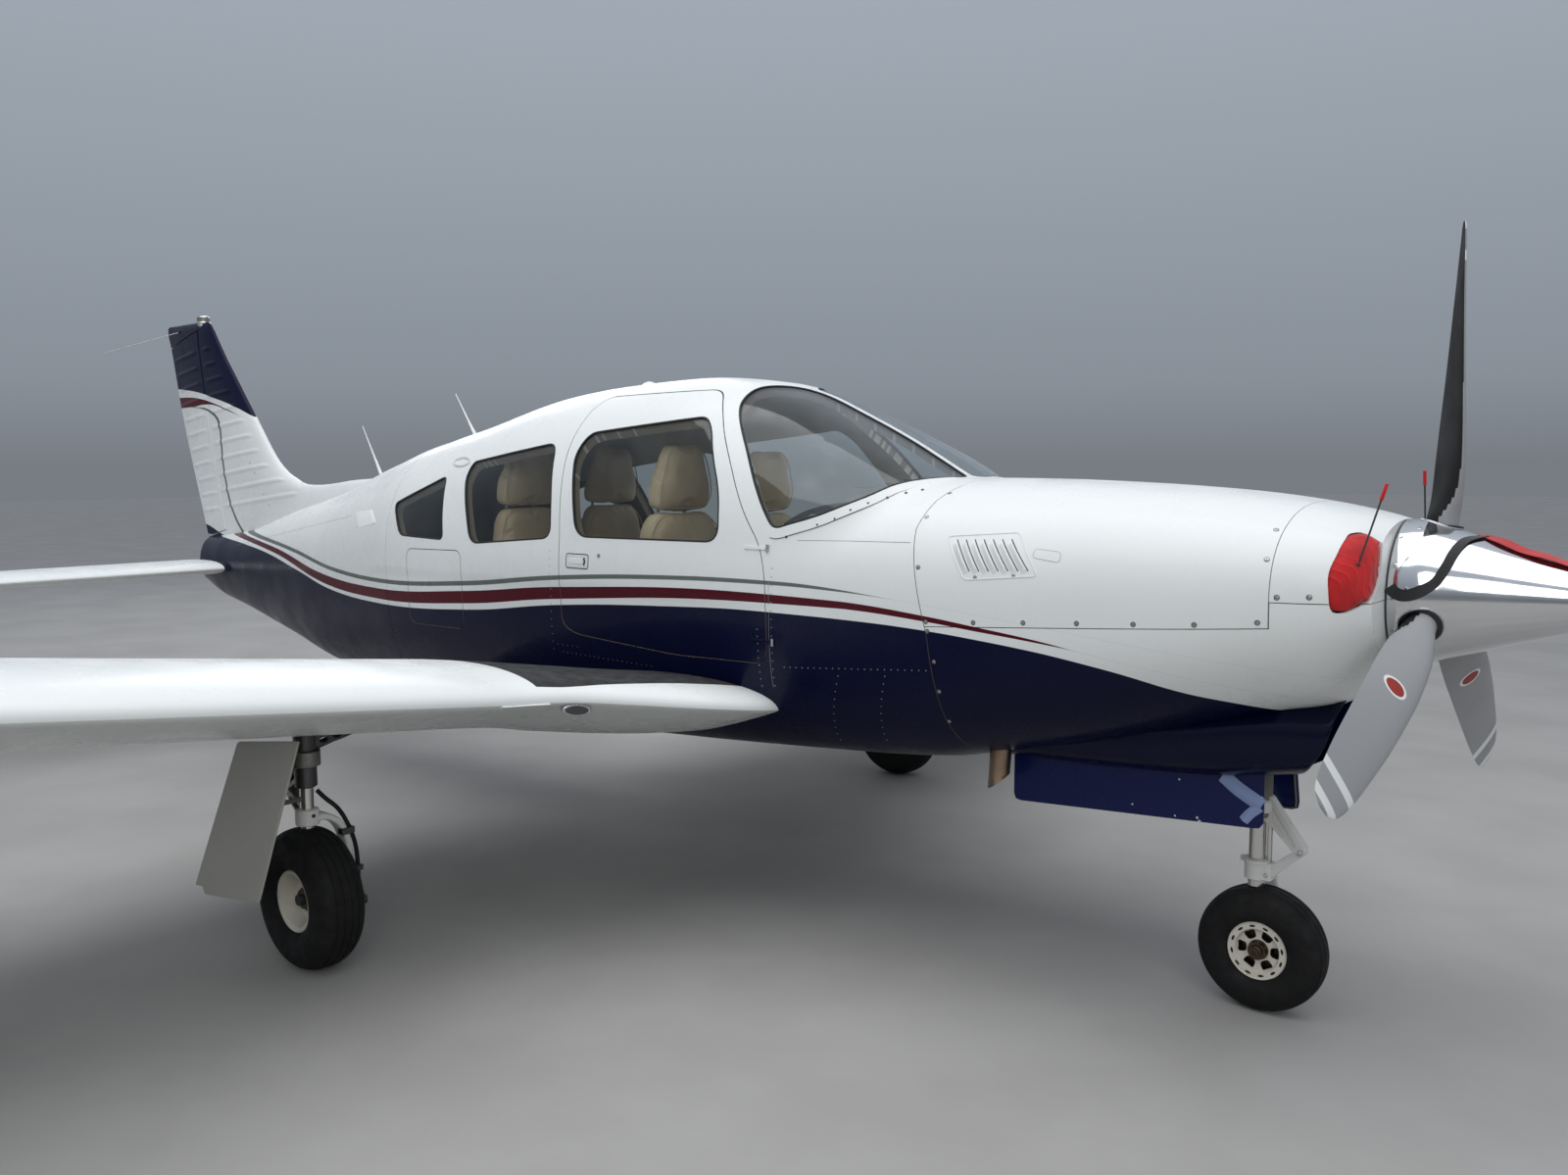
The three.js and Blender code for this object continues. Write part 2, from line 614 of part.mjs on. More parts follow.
/** Right wing's section ring. */
function wingRing([span, lead, chord, thickness, camber, twistDegrees]) {
  const twist = THREE.MathUtils.degToRad(twistDegrees);
  return sectionPoints(thickness, camber).map(([c, offset]) => new THREE.Vector3(
    lead - chord * c * Math.cos(twist) + offset * Math.sin(twist),
    -span,
    wingHeight(span) - chord * c * Math.sin(twist) + offset * Math.cos(twist),
  ));
}

/** Frame of a hinge: first axis along the hinge, second towards the trailing edge. */
function hingeFrame(from, to) {
  const start = new THREE.Vector3(...from);
  const along = new THREE.Vector3(...to).sub(start);
  const length = along.length();
  along.normalize();
  const aft = new THREE.Vector3(-1, 0, 0);
  aft.addScaledVector(along, -aft.dot(along)).normalize();
  const matrix = new THREE.Matrix4().makeBasis(along, aft, along.clone().cross(aft)).setPosition(start);
  return { matrix, length };
}

/** Cuts a control surface out of a wing; gives the wing with its recess and the surface.
 * The radii of its round nose are evenly spaced along the hinge. */
function splitControl(whole, from, to, radii, reach) {
  const { matrix, length } = hingeFrame(from, to);
  const place = (geometry) => solid(geometry.applyMatrix4(matrix));
  const nose = (extra, ends) => {
    const stations = radii.map((radius, i) => [radius + extra, (length * i) / (radii.length - 1)]);
    const profile = [
      [0, -ends], [stations[0][0], -ends], ...stations.slice(1, -1),
      [stations.at(-1)[0], length + ends], [0, length + ends],
    ];
    const round = new THREE.LatheGeometry(profile.map((point) => new THREE.Vector2(...point)), 16);
    return place(round.rotateZ(-Math.PI / 2));
  };
  const block = (ends, front) => place(box([-ends, front, -300], [length + ends, reach, 300]));
  const pin = new THREE.CylinderGeometry(5, 5, length + 2 * RUN - 0.8, 6);
  const pins = place(pin.rotateZ(Math.PI / 2).translate(length / 2, 0, 0));
  const moving = intersect(whole, block(0, 0).add(nose(0, 0))).add(pins);
  const fixed = whole.subtract(block(RUN, -RUN)).subtract(nose(RUN, RUN));
  return { moving, fixed };
}

/** Radii of a control surface's round nose at points on its hinge. */
const noseRadii = (ends) => ends.map((end) => end.half * 0.98);

/** Point on the right wing at x, on the section's middle line, and half its thickness there. */
function wingPoint(span, x) {
  const [, lead, chord, thickness, camber, twistDegrees] = rowAtLinear(WING, span);
  const fraction = (lead - x) / chord;
  const twist = THREE.MathUtils.degToRad(twistDegrees);
  const offset = camber * 4 * fraction * (1 - fraction);
  const point = [
    lead - chord * fraction * Math.cos(twist) + offset * Math.sin(twist),
    -span,
    wingHeight(span) - chord * fraction * Math.sin(twist) + offset * Math.cos(twist),
  ];
  return { point, half: thickness * halfThickness(fraction) };
}

/** Value of each column of a table at x, straight between its rows. */
function rowAtLinear(table, x) {
  const i = Math.max(1, table.findIndex((row) => row[0] >= x));
  const t = (x - table[i - 1][0]) / (table[i][0] - table[i - 1][0]);
  return table[i].map((value, column) => table[i - 1][column] * (1 - t) + value * t);
}

const FLAP = { inner: 625, outer: 2890, hingeX: -175 };
const AILERON = { inner: 2930, outer: 5080, innerHingeX: -180, outerHingeX: -50 };
const wingWhole = solid(loft(WING.map(wingRing))).subtract(bodySolid(GAP));
const flapEnds = [FLAP.inner, FLAP.outer].map((span) => wingPoint(span, FLAP.hingeX));
const aileronEnds = [
  wingPoint(AILERON.inner, AILERON.innerHingeX),
  wingPoint(AILERON.outer, AILERON.outerHingeX),
];
const flapSplit = splitControl(wingWhole, ...flapEnds.map((end) => end.point), noseRadii(flapEnds), 600);
const aileronSplit = splitControl(
  flapSplit.fixed, ...aileronEnds.map((end) => end.point), noseRadii(aileronEnds), 500,
);
const TIE_DOWN = { x: 640, y: 3250, half: 30, low: 925 };
const tieDown = solid(box(
  [TIE_DOWN.x - TIE_DOWN.half, -TIE_DOWN.y - TIE_DOWN.half, TIE_DOWN.low],
  [TIE_DOWN.x + TIE_DOWN.half, -TIE_DOWN.y + TIE_DOWN.half, 1000],
));
const wingRootTrim = solid(box([-1200, -FLAP.inner + 8, 0], [flapEnds[0].point[0] - 40, 0, TALL]));

// Well in the wing for the raised wheel, and the slot for its leg
const MAIN_WELL = { x: 500, y: 1022, radius: 235, high: 830 };
const LEG_SLOT = { half: 60, inner: 1022, outer: 1560, high: 845 };
const mainWell = solid(bar([MAIN_WELL.x, -MAIN_WELL.y, 400], [MAIN_WELL.x, -MAIN_WELL.y, MAIN_WELL.high],
  MAIN_WELL.radius, MAIN_WELL.radius, 32))
  .add(solid(box(
    [MAIN_WELL.x - LEG_SLOT.half, -LEG_SLOT.outer, 400],
    [MAIN_WELL.x + LEG_SLOT.half, -LEG_SLOT.inner, LEG_SLOT.high],
  )));
const wingRight = aileronSplit.fixed.subtract(wingRootTrim).subtract(mainWell).add(tieDown);
pair('wing', surface(wingRight), 'white');
pair('flap', surface(flapSplit.moving), 'white');
pair('aileron', surface(aileronSplit.moving), 'white');

/** Fin and rudder section ring at one height. */
function finRing([z, lead, trail, thickness]) {
  return sectionPoints(thickness, 0, 1.5).map(
    ([c, offset]) => new THREE.Vector3(lead + (trail - lead) * c, offset, z),
  );
}

const finWhole = solid(loft(FIN.map(finRing))).subtract(bodySolid(GAP));
/** Point on the rudder's hinge at a height, and half the fin's thickness there. */
function rudderPoint(z) {
  const { foot, head } = RUDDER_HINGE;
  const [, lead, trail, thickness] = rowAtLinear(FIN, z);
  const x = THREE.MathUtils.mapLinear(z, foot[1], head[1], foot[0], head[0]);
  return { point: [x, 0, z], half: thickness * halfThickness((x - lead) / (trail - lead)) };
}
const rudderStations = [0, 0.25, 0.5, 0.75, 1].map(
  (t) => rudderPoint(THREE.MathUtils.lerp(RUDDER_HINGE.low, RUDDER_HINGE.high, t)),
);
const rudderEnds = [rudderStations[0].point, rudderStations.at(-1).point];
const rudderSplit = splitControl(finWhole, ...rudderEnds, noseRadii(rudderStations), 700);
const rudderFoot = solid(box([-4100, -200, 0], [-2600, 200, 1160]));
piece('fin', surface(rudderSplit.fixed), 'white');
piece('rudder', surface(rudderSplit.moving.subtract(rudderFoot)), 'white');

/** Stabilator ring at a distance from the centreline, shortened towards the tip. */
function stabilatorRing([span, lead, chord, thickness]) {
  return sectionPoints(thickness, 0, 1.5).map(
    ([c, offset]) => new THREE.Vector3(lead - chord * c, -span, TAIL.height + offset),
  );
}

// Stabilator sections: distance from the centreline, leading edge x, chord, thickness
const STABILATOR = [
  [TAIL.root, TAIL.lead, TAIL.chord, TAIL.thickness],
  [TAIL.half - 70, TAIL.lead, TAIL.chord, TAIL.thickness],
  [TAIL.half - 22, TAIL.lead - 25, TAIL.chord - 40, TAIL.thickness * 0.8],
  [TAIL.half, TAIL.lead - 90, TAIL.chord - 130, TAIL.thickness * 0.3],
];
const stabilatorHalf = solid(loft(STABILATOR.map(stabilatorRing)));
const tabHalfThickness = TAIL.thickness * halfThickness((TAIL.lead - TAIL.tabHingeX) / TAIL.chord) * 0.98;
const tabHinge = [-TAIL.root - RUN, -TAIL.tabHalf].map((y) => [TAIL.tabHingeX, y, TAIL.height]);
const tabSplit = splitControl(stabilatorHalf, ...tabHinge, [tabHalfThickness, tabHalfThickness], 300);
const tabRoot = solid(box([-3800, -TAIL.root - RUN, 0], [TAIL.tabHingeX + 40, 0, TALL]));
const stabilatorRight = tabSplit.fixed.subtract(tabRoot);
const stabilatorLeft = solid(mirrored(surface(stabilatorRight)));
const tube = tailCrossBar(TAIL.root + 30, TAIL.tubeRadius);
piece('stabilator', surface(stabilatorRight.add(stabilatorLeft).add(tube)), 'white');
const tailEdge = TAIL.lead - TAIL.chord;
const tabLink = solid(box(
  [tailEdge + 4, -TAIL.root - 60, TAIL.height - 3],
  [tailEdge + 60, TAIL.root + 60, TAIL.height + 3],
));
const tabLeft = solid(mirrored(surface(tabSplit.moving)));
piece('stabilator_tab', surface(tabSplit.moving.add(tabLeft).add(tabLink)), 'white');

// Landing gear

/** Tyre of an outer radius, width and rim radius, turning about Y. */
function tyreGeometry(outer, width, rim) {
  const half = width / 2;
  const side = outer - rim;
  const wall = [[0, 0.66], [0.3, 0.95], [0.6, 1], [0.88, 0.75], [1, 0.3]];
  const profile = [
    ...wall.map(([out, wide]) => [rim + side * out, -half * wide]),
    ...wall.toReversed().map(([out, wide]) => [rim + side * out, half * wide]),
    [rim, -half * 0.66],
  ];
  return new THREE.LatheGeometry(profile.map(([r, y]) => new THREE.Vector2(r, y)), 32);
}

/** Rim with a web and a bored hub; the web is nearer the side that shows. */
function rimGeometry(radius, width, bore) {
  const half = width / 2;
  const profile = [
    [bore, -half * 0.7], [bore + 16, -half * 0.7], [bore + 18, -half * 0.35], [radius - 16, -half * 0.35],
    [radius - 12, -half], [radius, -half], [radius, half], [radius - 12, half],
    [radius - 16, half * 0.35], [bore + 18, half * 0.35], [bore + 16, half * 0.7], [bore, half * 0.7],
    [bore, -half * 0.7],
  ];
  return new THREE.LatheGeometry(profile.map(([r, y]) => new THREE.Vector2(r, y)), 20);
}

const AXLE_RADIUS = 16;
const NOSE_TYRE = { outer: 180.5, width: 126, rim: 76 };
const MAIN_TYRE = { outer: 222.5, width: 160, rim: 84 };

/** Adds a tyre and rim at an axle. */
function wheel(name, { outer, width, rim }, place) {
  const hub = new THREE.Group();
  hub.position.set(...place);
  group.add(hub);
  piece(`${name}_rim`, rimGeometry(rim, width * 0.6, AXLE_RADIUS + 0.8), 'rim', hub);
  piece(`${name}_tyre`, tyreGeometry(outer, width, rim + 0.8), 'rubber', hub);
}

wheel('nose', NOSE_TYRE, [NOSE_AXLE.x, 0, NOSE_AXLE.z]);
for (const [label, side] of [['right', -1], ['left', 1]]) {
  wheel(`main_${label}`, MAIN_TYRE, [MAIN_AXLE.x, MAIN_AXLE.y * side, MAIN_AXLE.z]);
}

// Nose leg, turning about a vertical line through the axle
const NOSE_LEG = { top: 835, barrel: 36, barrelLow: 560, piston: 22.5, collarLow: 376, collarHigh: 432 };
const forkArm = { inner: 76, outer: 98, half: 29, low: NOSE_AXLE.z - 34, shoulder: NOSE_LEG.collarLow + 34 };
const noseX = NOSE_AXLE.x;
const noseLeg = solid(bar([noseX, 0, NOSE_LEG.barrelLow], [noseX, 0, NOSE_LEG.top], NOSE_LEG.barrel))
  .add(solid(bar([noseX, 0, 400], [noseX, 0, 600], NOSE_LEG.piston)))
  .add(solid(bar([noseX, 0, NOSE_LEG.collarLow], [noseX, 0, NOSE_LEG.collarHigh], 38)))
  .add(solid(box(
    [noseX - forkArm.half, 0, NOSE_LEG.collarLow],
    [noseX + forkArm.half, forkArm.outer, forkArm.shoulder],
  )))
  .add(solid(box(
    [noseX - forkArm.half, forkArm.inner, forkArm.low],
    [noseX + forkArm.half, forkArm.outer, forkArm.shoulder],
  )))
  .add(solid(bar([noseX, -52, NOSE_AXLE.z], [noseX, forkArm.outer, NOSE_AXLE.z], AXLE_RADIUS)));
piece('nose_leg', surface(noseLeg), 'rim');

/** Arm of a torque link between two points in x and z, across a width about y. */
function linkArm(from, to, y) {
  const run = new THREE.Vector2(to[0] - from[0], to[1] - from[1]).setLength(11);
  return solid(sidePrism([
    [from[0] - run.y, from[1] + run.x], [from[0] + run.y, from[1] - run.x],
    [to[0] + run.y, to[1] - run.x], [to[0] - run.y, to[1] + run.x],
  ], y - 13, y + 13));
}

/** Two arms that keep a sliding leg from turning, joined by a pin. */
function torqueLink({ upper, apex, lower }, y) {
  const pin = solid(bar([apex[0], y - 24, apex[1]], [apex[0], y + 24, apex[1]], 15));
  return linkArm(upper, apex, y).add(linkArm(apex, lower, y)).add(pin);
}

const NOSE_LINK = { upper: [noseX + 4, 630], apex: [noseX + 104, 485], lower: [noseX + 16, 400] };
const legClearance = solid(bar([noseX, 0, 300], [noseX, 0, 900], 38 + GAP));
piece('nose_torque_link', surface(torqueLink(NOSE_LINK, 0).subtract(legClearance)), 'rim');

// Tube frame that carries the nose leg from the firewall
const TRUNNION = { low: 775, high: 825, radius: 62 };
const noseMount = solid(bar([noseX, 0, TRUNNION.low], [noseX, 0, TRUNNION.high], TRUNNION.radius))
  .add(solid(box([2000, -30, TRUNNION.low + 4], [noseX - 20, 30, TRUNNION.high - 4])))
  .subtract(solid(bar([noseX, 0, 700], [noseX, 0, 900], NOSE_LEG.barrel + 1)))
  .subtract(firewallFace);
piece('nose_gear_mount', surface(noseMount), 'steel');

// Nose gear doors, hanging open beside the leg
const NOSE_DOOR = {
  y: 140,
  thickness: 8,
  right: [[2165, 560], [2940, 512], [2940, 740], [2165, 700]],
  left: [[2165, 575], [2960, 560], [2960, 740], [2165, 700]],
};
for (const [label, side] of [['right', -1], ['left', 1]]) {
  const inner = NOSE_DOOR.y * side;
  const outer = inner + NOSE_DOOR.thickness * side;
  const plate = solid(sidePrism(NOSE_DOOR[label], Math.min(inner, outer), Math.max(inner, outer), 20));
  const fitted = plate.subtract(bodySolid(GAP, scoopTable)).subtract(bodySolid(GAP));
  piece(`nose_door_${label}`, surface(fitted), 'navy');
}

// Main legs, with the fork arm on the side of the fuselage
const mainX = MAIN_AXLE.x;
const mainY = -MAIN_AXLE.y;
const armY = [mainY + 96, mainY + 122];
const MAIN_LINK = { upper: [mainX - 10, 660], apex: [mainX - 100, 560], lower: [mainX - 10, 474] };
const BRACE = { from: [mainX, mainY, 690], to: [mainX, mainY + 300, 765], radius: 12 };
const mainLeg = solid(bar([mainX, mainY, 570], [mainX, mainY, 900], 34))
  .add(solid(bar([mainX, mainY, 470], [mainX, mainY, 600], 25)))
  .add(solid(bar([mainX, mainY, 456], [mainX, mainY, 496], 38)))
  .add(solid(box([mainX - 34, mainY, 458], [mainX + 34, armY[1], 492])))
  .add(solid(box([mainX - 32, armY[0], MAIN_AXLE.z - 40], [mainX + 32, armY[1], 480])))
  .add(solid(bar([mainX, mainY - 60, MAIN_AXLE.z], [mainX, armY[1], MAIN_AXLE.z], AXLE_RADIUS)))
  .add(torqueLink(MAIN_LINK, mainY))
  .add(solid(bar(BRACE.from, BRACE.to, BRACE.radius, BRACE.radius, 10)))
  .subtract(wingRight.translate([0, 0, -GAP]));
piece('main_leg_right', surface(mainLeg), 'rim');
piece('main_leg_left', mirrored(surface(mainLeg)), 'rim');

// Panel that closes the well, carried on the leg by two stays: corners as x, y, z on its inner face
const MAIN_DOOR = {
  thickness: 8,
  corners: [[390, -1748, 690], [720, -1748, 738], [640, -1838, 300], [250, -1838, 245]],
  stays: [[540, -1792], [640, -1772]],
};
const doorFaces = [0, -MAIN_DOOR.thickness].map(
  (step) => MAIN_DOOR.corners.map(([x, y, z]) => new THREE.Vector3(x, y + step, z)),
);
let mainDoor = solid(loft(doorFaces));
for (const [z, y] of MAIN_DOOR.stays) {
  mainDoor = mainDoor.add(solid(bar([mainX, mainY - 20, z], [mainX, y, z], 9, 9, 10)));
}
mainDoor = mainDoor.subtract(solid(bar([mainX, mainY, 450], [mainX, mainY, 900], 34.8)));
piece('main_door_right', surface(mainDoor), 'white');
piece('main_door_left', mirrored(surface(mainDoor)), 'white');

// Cabin furniture

const seatRoom = cabinRoom(GAP);
const SEAT_FRONT = { x: 800, y: 240, width: 420 };
const SEAT_REAR = { x: -110, y: 235, width: 400 };

/** Seat with back and headrest, its side profile carried across its width; x is the face of its back. */
function seat({ x, width }, y) {
  const profile = [
    [x + 430, 960], [x + 440, 1040], [x + 30, 1030], [x - 10, 1440], [x - 110, 1440], [x - 80, 960],
  ];
  const head = [[x + 25, 1475], [x + 30, 1640], [x - 50, 1645], [x - 60, 1470]];
  let body = solid(sidePrism(profile, y - width / 2, y + width / 2, 45))
    .add(solid(sidePrism(head, y - 130, y + 130, 30)))
    .add(solid(box([x + 20, y - 150, 500], [x + 360, y + 150, 980])));
  for (const post of [y - 60, y + 40]) {
    body = body.add(solid(box([x - 45, post, 1400], [x - 20, post + 20, 1500])));
  }
  return surface(intersect(body, seatRoom));
}

for (const [label, side] of [['right', -1], ['left', 1]]) {
  piece(`seat_front_${label}`, seat(SEAT_FRONT, SEAT_FRONT.y * side), 'leather');
  piece(`seat_rear_${label}`, seat(SEAT_REAR, SEAT_REAR.y * side), 'leather');
}

const PANEL = { rear: 1560, front: 1680, low: 1040, high: 1440 };
const panelBlock = solid(box([PANEL.rear, -600, PANEL.low], [PANEL.front, 600, PANEL.high]));
piece('instrument_panel', surface(intersect(panelBlock, seatRoom)), 'plastic');

const YOKE = { x: 1345, thick: 22, y: 245, half: 130, low: 1222, high: 1248, horn: 1330, shaftRadius: 11 };

/** Control wheel with two horns, on its shaft out of the panel. */
function yoke(y) {
  const { x, thick, half, low, high, horn, shaftRadius } = YOKE;
  const shaftZ = (low + high) / 2;
  const shaft = bar([x + thick / 2, y, shaftZ], [PANEL.rear - GAP, y, shaftZ], shaftRadius, shaftRadius, 12);
  let wheelShape = solid(shaft).add(solid(box([x, y - half, low], [x + thick, y + half, high])));
  for (const end of [y - half, y + half]) {
    wheelShape = wheelShape.add(solid(box([x, end - 12, low], [x + thick, end + 12, horn])));
  }
  return surface(wheelShape);
}

for (const [label, side] of [['right', -1], ['left', 1]]) {
  piece(`control_yoke_${label}`, yoke(YOKE.y * side), 'plastic');
}

// Beacon on the fin
const BEACON = { x: -3440, low: 2425.4, high: 2466, radius: 24, topRadius: 18 };
const beaconEnds = [[BEACON.x, 0, BEACON.low], [BEACON.x, 0, BEACON.high]];
piece('beacon', bar(...beaconEnds, BEACON.radius, BEACON.topRadius, 20), 'lens');

export default group;
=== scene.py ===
"""Looks of a low-wing four-seat light aircraft, built around its CAD frame.

Metres, +X to the nose, +Y to the aircraft's left wing, +Z up, with the origin on the ground.
"""

import logging
from dataclasses import dataclass, field
from enum import Enum

import bmesh
import bpy
import numpy as np
from mathutils import Matrix, Vector

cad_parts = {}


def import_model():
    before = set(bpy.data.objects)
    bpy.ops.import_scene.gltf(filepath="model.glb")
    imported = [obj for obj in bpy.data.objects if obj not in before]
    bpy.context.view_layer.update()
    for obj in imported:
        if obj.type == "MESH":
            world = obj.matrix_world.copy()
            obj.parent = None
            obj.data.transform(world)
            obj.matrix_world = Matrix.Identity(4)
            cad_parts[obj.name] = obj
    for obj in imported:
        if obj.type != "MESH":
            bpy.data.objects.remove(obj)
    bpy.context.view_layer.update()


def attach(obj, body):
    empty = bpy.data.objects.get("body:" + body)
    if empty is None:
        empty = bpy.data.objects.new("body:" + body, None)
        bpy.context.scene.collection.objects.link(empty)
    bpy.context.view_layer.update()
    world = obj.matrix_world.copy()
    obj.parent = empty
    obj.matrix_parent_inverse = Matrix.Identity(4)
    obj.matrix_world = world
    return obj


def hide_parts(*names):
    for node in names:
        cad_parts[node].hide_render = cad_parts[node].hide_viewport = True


LOG = logging.getLogger("aircraft")
Array = np.ndarray
Object = bpy.types.Object
Material = bpy.types.Material
Socket = bpy.types.NodeSocket


class Side(Enum):
    """Side of the aircraft, with the sign of its y."""

    RIGHT = -1
    LEFT = 1

    @property
    def label(self) -> str:
        """Name of the side in the names of pieces."""
        return self.name.lower()


class Cut(Enum):
    """What one closed mesh does to another."""

    TAKE_AWAY = "DIFFERENCE"
    KEEP = "INTERSECT"
    JOIN = "UNION"


# Curves and grids


def unit(vectors: Array) -> Array:
    """Vectors scaled to length one."""
    return vectors / np.linalg.norm(vectors, axis=-1, keepdims=True)


def smooth_rows(table: Array, at: Array) -> Array:
    """Rows of a table at new places, on curves through its own rows that never overshoot.

    Each column is a chain of cubic pieces. The slope at a row is the weighted harmonic mean of the
    slopes on its two sides, or zero where they differ in sign.

    Args:
        table: rows whose first column is the place.
        at: places, of any shape; outside the table the end row holds.

    Returns:
        The other columns at each place, on a last axis.
    """
    table = table[np.argsort(table[:, 0])]
    x, y = table[:, 0], table[:, 1:]
    gap = np.diff(x)[:, None]
    slope = np.diff(y, axis=0) / gap
    same = slope[:-1] * slope[1:] > 0
    before, after = np.where(same, slope[:-1], 1), np.where(same, slope[1:], 1)
    weight_a, weight_b = 2 * gap[1:] + gap[:-1], gap[1:] + 2 * gap[:-1]
    tangent = np.zeros_like(y)
    mean = (weight_a + weight_b) / (weight_a / before + weight_b / after)
    tangent[1:-1] = np.where(same, mean, 0)
    tangent[0], tangent[-1] = slope[0], slope[-1]
    at = np.asarray(at, float)
    i = np.clip(np.searchsorted(x, at) - 1, 0, len(x) - 2)
    t = np.clip((at - x[i]) / gap[i, 0], 0, 1)[..., None]
    return (
        (1 + 2 * t) * (1 - t) ** 2 * y[i] + t * (1 - t) ** 2 * gap[i] * tangent[i]
        + t * t * (3 - 2 * t) * y[i + 1] + t * t * (t - 1) * gap[i] * tangent[i + 1]
    )


def lengths(path: Array) -> Array:
    """Distance along a path to each of its points."""
    return np.concatenate([[0], np.cumsum(np.linalg.norm(np.diff(path, axis=0), axis=1))])


def looped(path: Array) -> Array:
    """A path that comes back to its first point."""
    return np.vstack([path, path[:1]])


def even(path: Array, count: int, closed: bool = False) -> Array:
    """The same path with its points evenly spaced."""
    whole = looped(path) if closed else path
    run = lengths(whole)
    stops = np.linspace(0, run[-1], count, endpoint=not closed)
    return np.stack([np.interp(stops, run, column) for column in whole.T], -1)


def curve_through(points: Array, count: int, closed: bool = False) -> Array:
    """Smooth path through points: Catmull-Rom pieces, resampled evenly.

    A piece between two points is the cubic that has half the chord of their neighbours as its
    tangent at each end.

    Args:
        points: places that the path goes through.
        count: points of the result.
        closed: the path comes back to its start.

    Returns:
        The path's points.
    """
    points = np.asarray(points, float)
    if closed:
        ring = np.vstack([points[-1:], points, points[:2]])
    else:
        ring = np.vstack([2 * points[:1] - points[1:2], points, 2 * points[-1:] - points[-2:-1]])
    t = np.linspace(0, 1, 24, endpoint=False)[None, :, None]
    a, b, c, d = (ring[k: len(ring) - 3 + k, None, :] for k in range(4))
    pieces = 0.5 * (
        2 * b + (c - a) * t + (2 * a - 5 * b + 4 * c - d) * t ** 2
        + (3 * b - a - 3 * c + d) * t ** 3
    )
    path = pieces.reshape(-1, points.shape[1])
    return even(path if closed else np.vstack([path, points[-1:]]), count, closed)


def rounded(corners: Array, radius: float, count: int) -> Array:
    """Closed outline with its corners rounded by parabolas, its points evenly spaced.

    Args:
        corners: corners in their order.
        radius: distance from a corner to the start of its round.
        count: points of the result.

    Returns:
        The outline's points.
    """
    here = np.asarray(corners, float)
    before, after = np.roll(here, 1, 0) - here, np.roll(here, -1, 0) - here
    far_b, far_a = (np.linalg.norm(v, axis=1, keepdims=True) for v in (before, after))
    reach = np.minimum(radius, np.minimum(far_b, far_a) / 2.2)
    start, end = here + before / far_b * reach, here + after / far_a * reach
    t = np.linspace(0, 1, 12)[None, :, None]
    arcs = (
        start[:, None] * (1 - t) ** 2 + here[:, None] * 2 * t * (1 - t) + end[:, None] * t ** 2
    )
    return even(arcs.reshape(-1, here.shape[1]), count, closed=True)


def offset(outline: Array, distance: float) -> Array:
    """Closed flat outline moved outwards by a distance, square to its own direction.

    Args:
        outline: points of the outline.
        distance: way outwards, negative for inwards.

    Returns:
        The moved points.
    """
    ahead = unit(np.roll(outline, -1, 0) - np.roll(outline, 1, 0))
    area = np.sum(outline[:, 0] * np.roll(outline[:, 1], -1)
                  - np.roll(outline[:, 0], -1) * outline[:, 1])
    out = np.stack([ahead[:, 1], -ahead[:, 0]], -1) * np.sign(area)
    return outline + out * distance


def grid_faces(rows: int, columns: int, around: bool, along: bool) -> Array:
    """Four-cornered faces between neighbouring points of a grid.

    Args:
        rows: number of rows.
        columns: number of points in a row.
        around: the last column meets the first.
        along: the last row meets the first.

    Returns:
        Point numbers, four to a face.
    """
    i, j = np.meshgrid(
        np.arange(rows if along else rows - 1),
        np.arange(columns if around else columns - 1), indexing="ij",
    )
    right, below = (j + 1) % columns, (i + 1) % rows
    corners = [i * columns + j, i * columns + right, below * columns + right, below * columns + j]
    return np.stack(corners, -1).reshape(-1, 4)


def axes_of(direction: Array) -> tuple[Array, Array, Array]:
    """A direction as a unit vector, and two more that are square to it and to each other."""
    along = unit(np.asarray(direction, float))
    helper = np.eye(3)[np.argmin(np.abs(along))]
    first = unit(np.cross(along, helper))
    return along, first, np.cross(along, first)


def turned(profile: Array, base: Array, direction: Array, count: int = 48) -> Array:
    """Grid of a profile turned about an axis: base + along * axis + radius * (cos, sin).

    Args:
        profile: rows of distance along the axis and radius.
        base: point on the axis.
        direction: direction of the axis.
        count: points round each turn.

    Returns:
        A grid of profile rows by count points, closed around.
    """
    axis, first, second = axes_of(direction)
    angle = np.linspace(0, 2 * np.pi, count, endpoint=False)
    ring = np.cos(angle)[:, None] * first + np.sin(angle)[:, None] * second
    profile = np.asarray(profile, float)
    return (
        np.asarray(base, float) + profile[:, None, :1] * axis + profile[:, None, 1:2] * ring[None]
    )


def swept(path: Array, section: Array, up: Array) -> Array:
    """Grid of a section carried along a path.

    Each ring is path + a * across + b * lift, where across is square to the path and the up
    vector, and lift is square to the path and across.

    Args:
        path: points along the way.
        section: rows of a and b, one set for all the path or one for each of its points.
        up: the up vector, one or one for each point.

    Returns:
        A grid of path points by section points.
    """
    path = np.asarray(path, float)
    ahead = unit(np.gradient(path, axis=0))
    across = unit(np.cross(ahead, np.broadcast_to(np.asarray(up, float), path.shape)))
    lift = np.cross(across, ahead)
    section = np.asarray(section, float)
    section = section if section.ndim == 3 else section[None]
    return (
        path[:, None] + section[..., :1] * across[:, None] + section[..., 1:] * lift[:, None]
    )


def ring_section(radius: float, count: int = 12) -> Array:
    """Section of a round tube."""
    angle = np.linspace(0, 2 * np.pi, count, endpoint=False)
    return radius * np.stack([np.cos(angle), np.sin(angle)], -1)


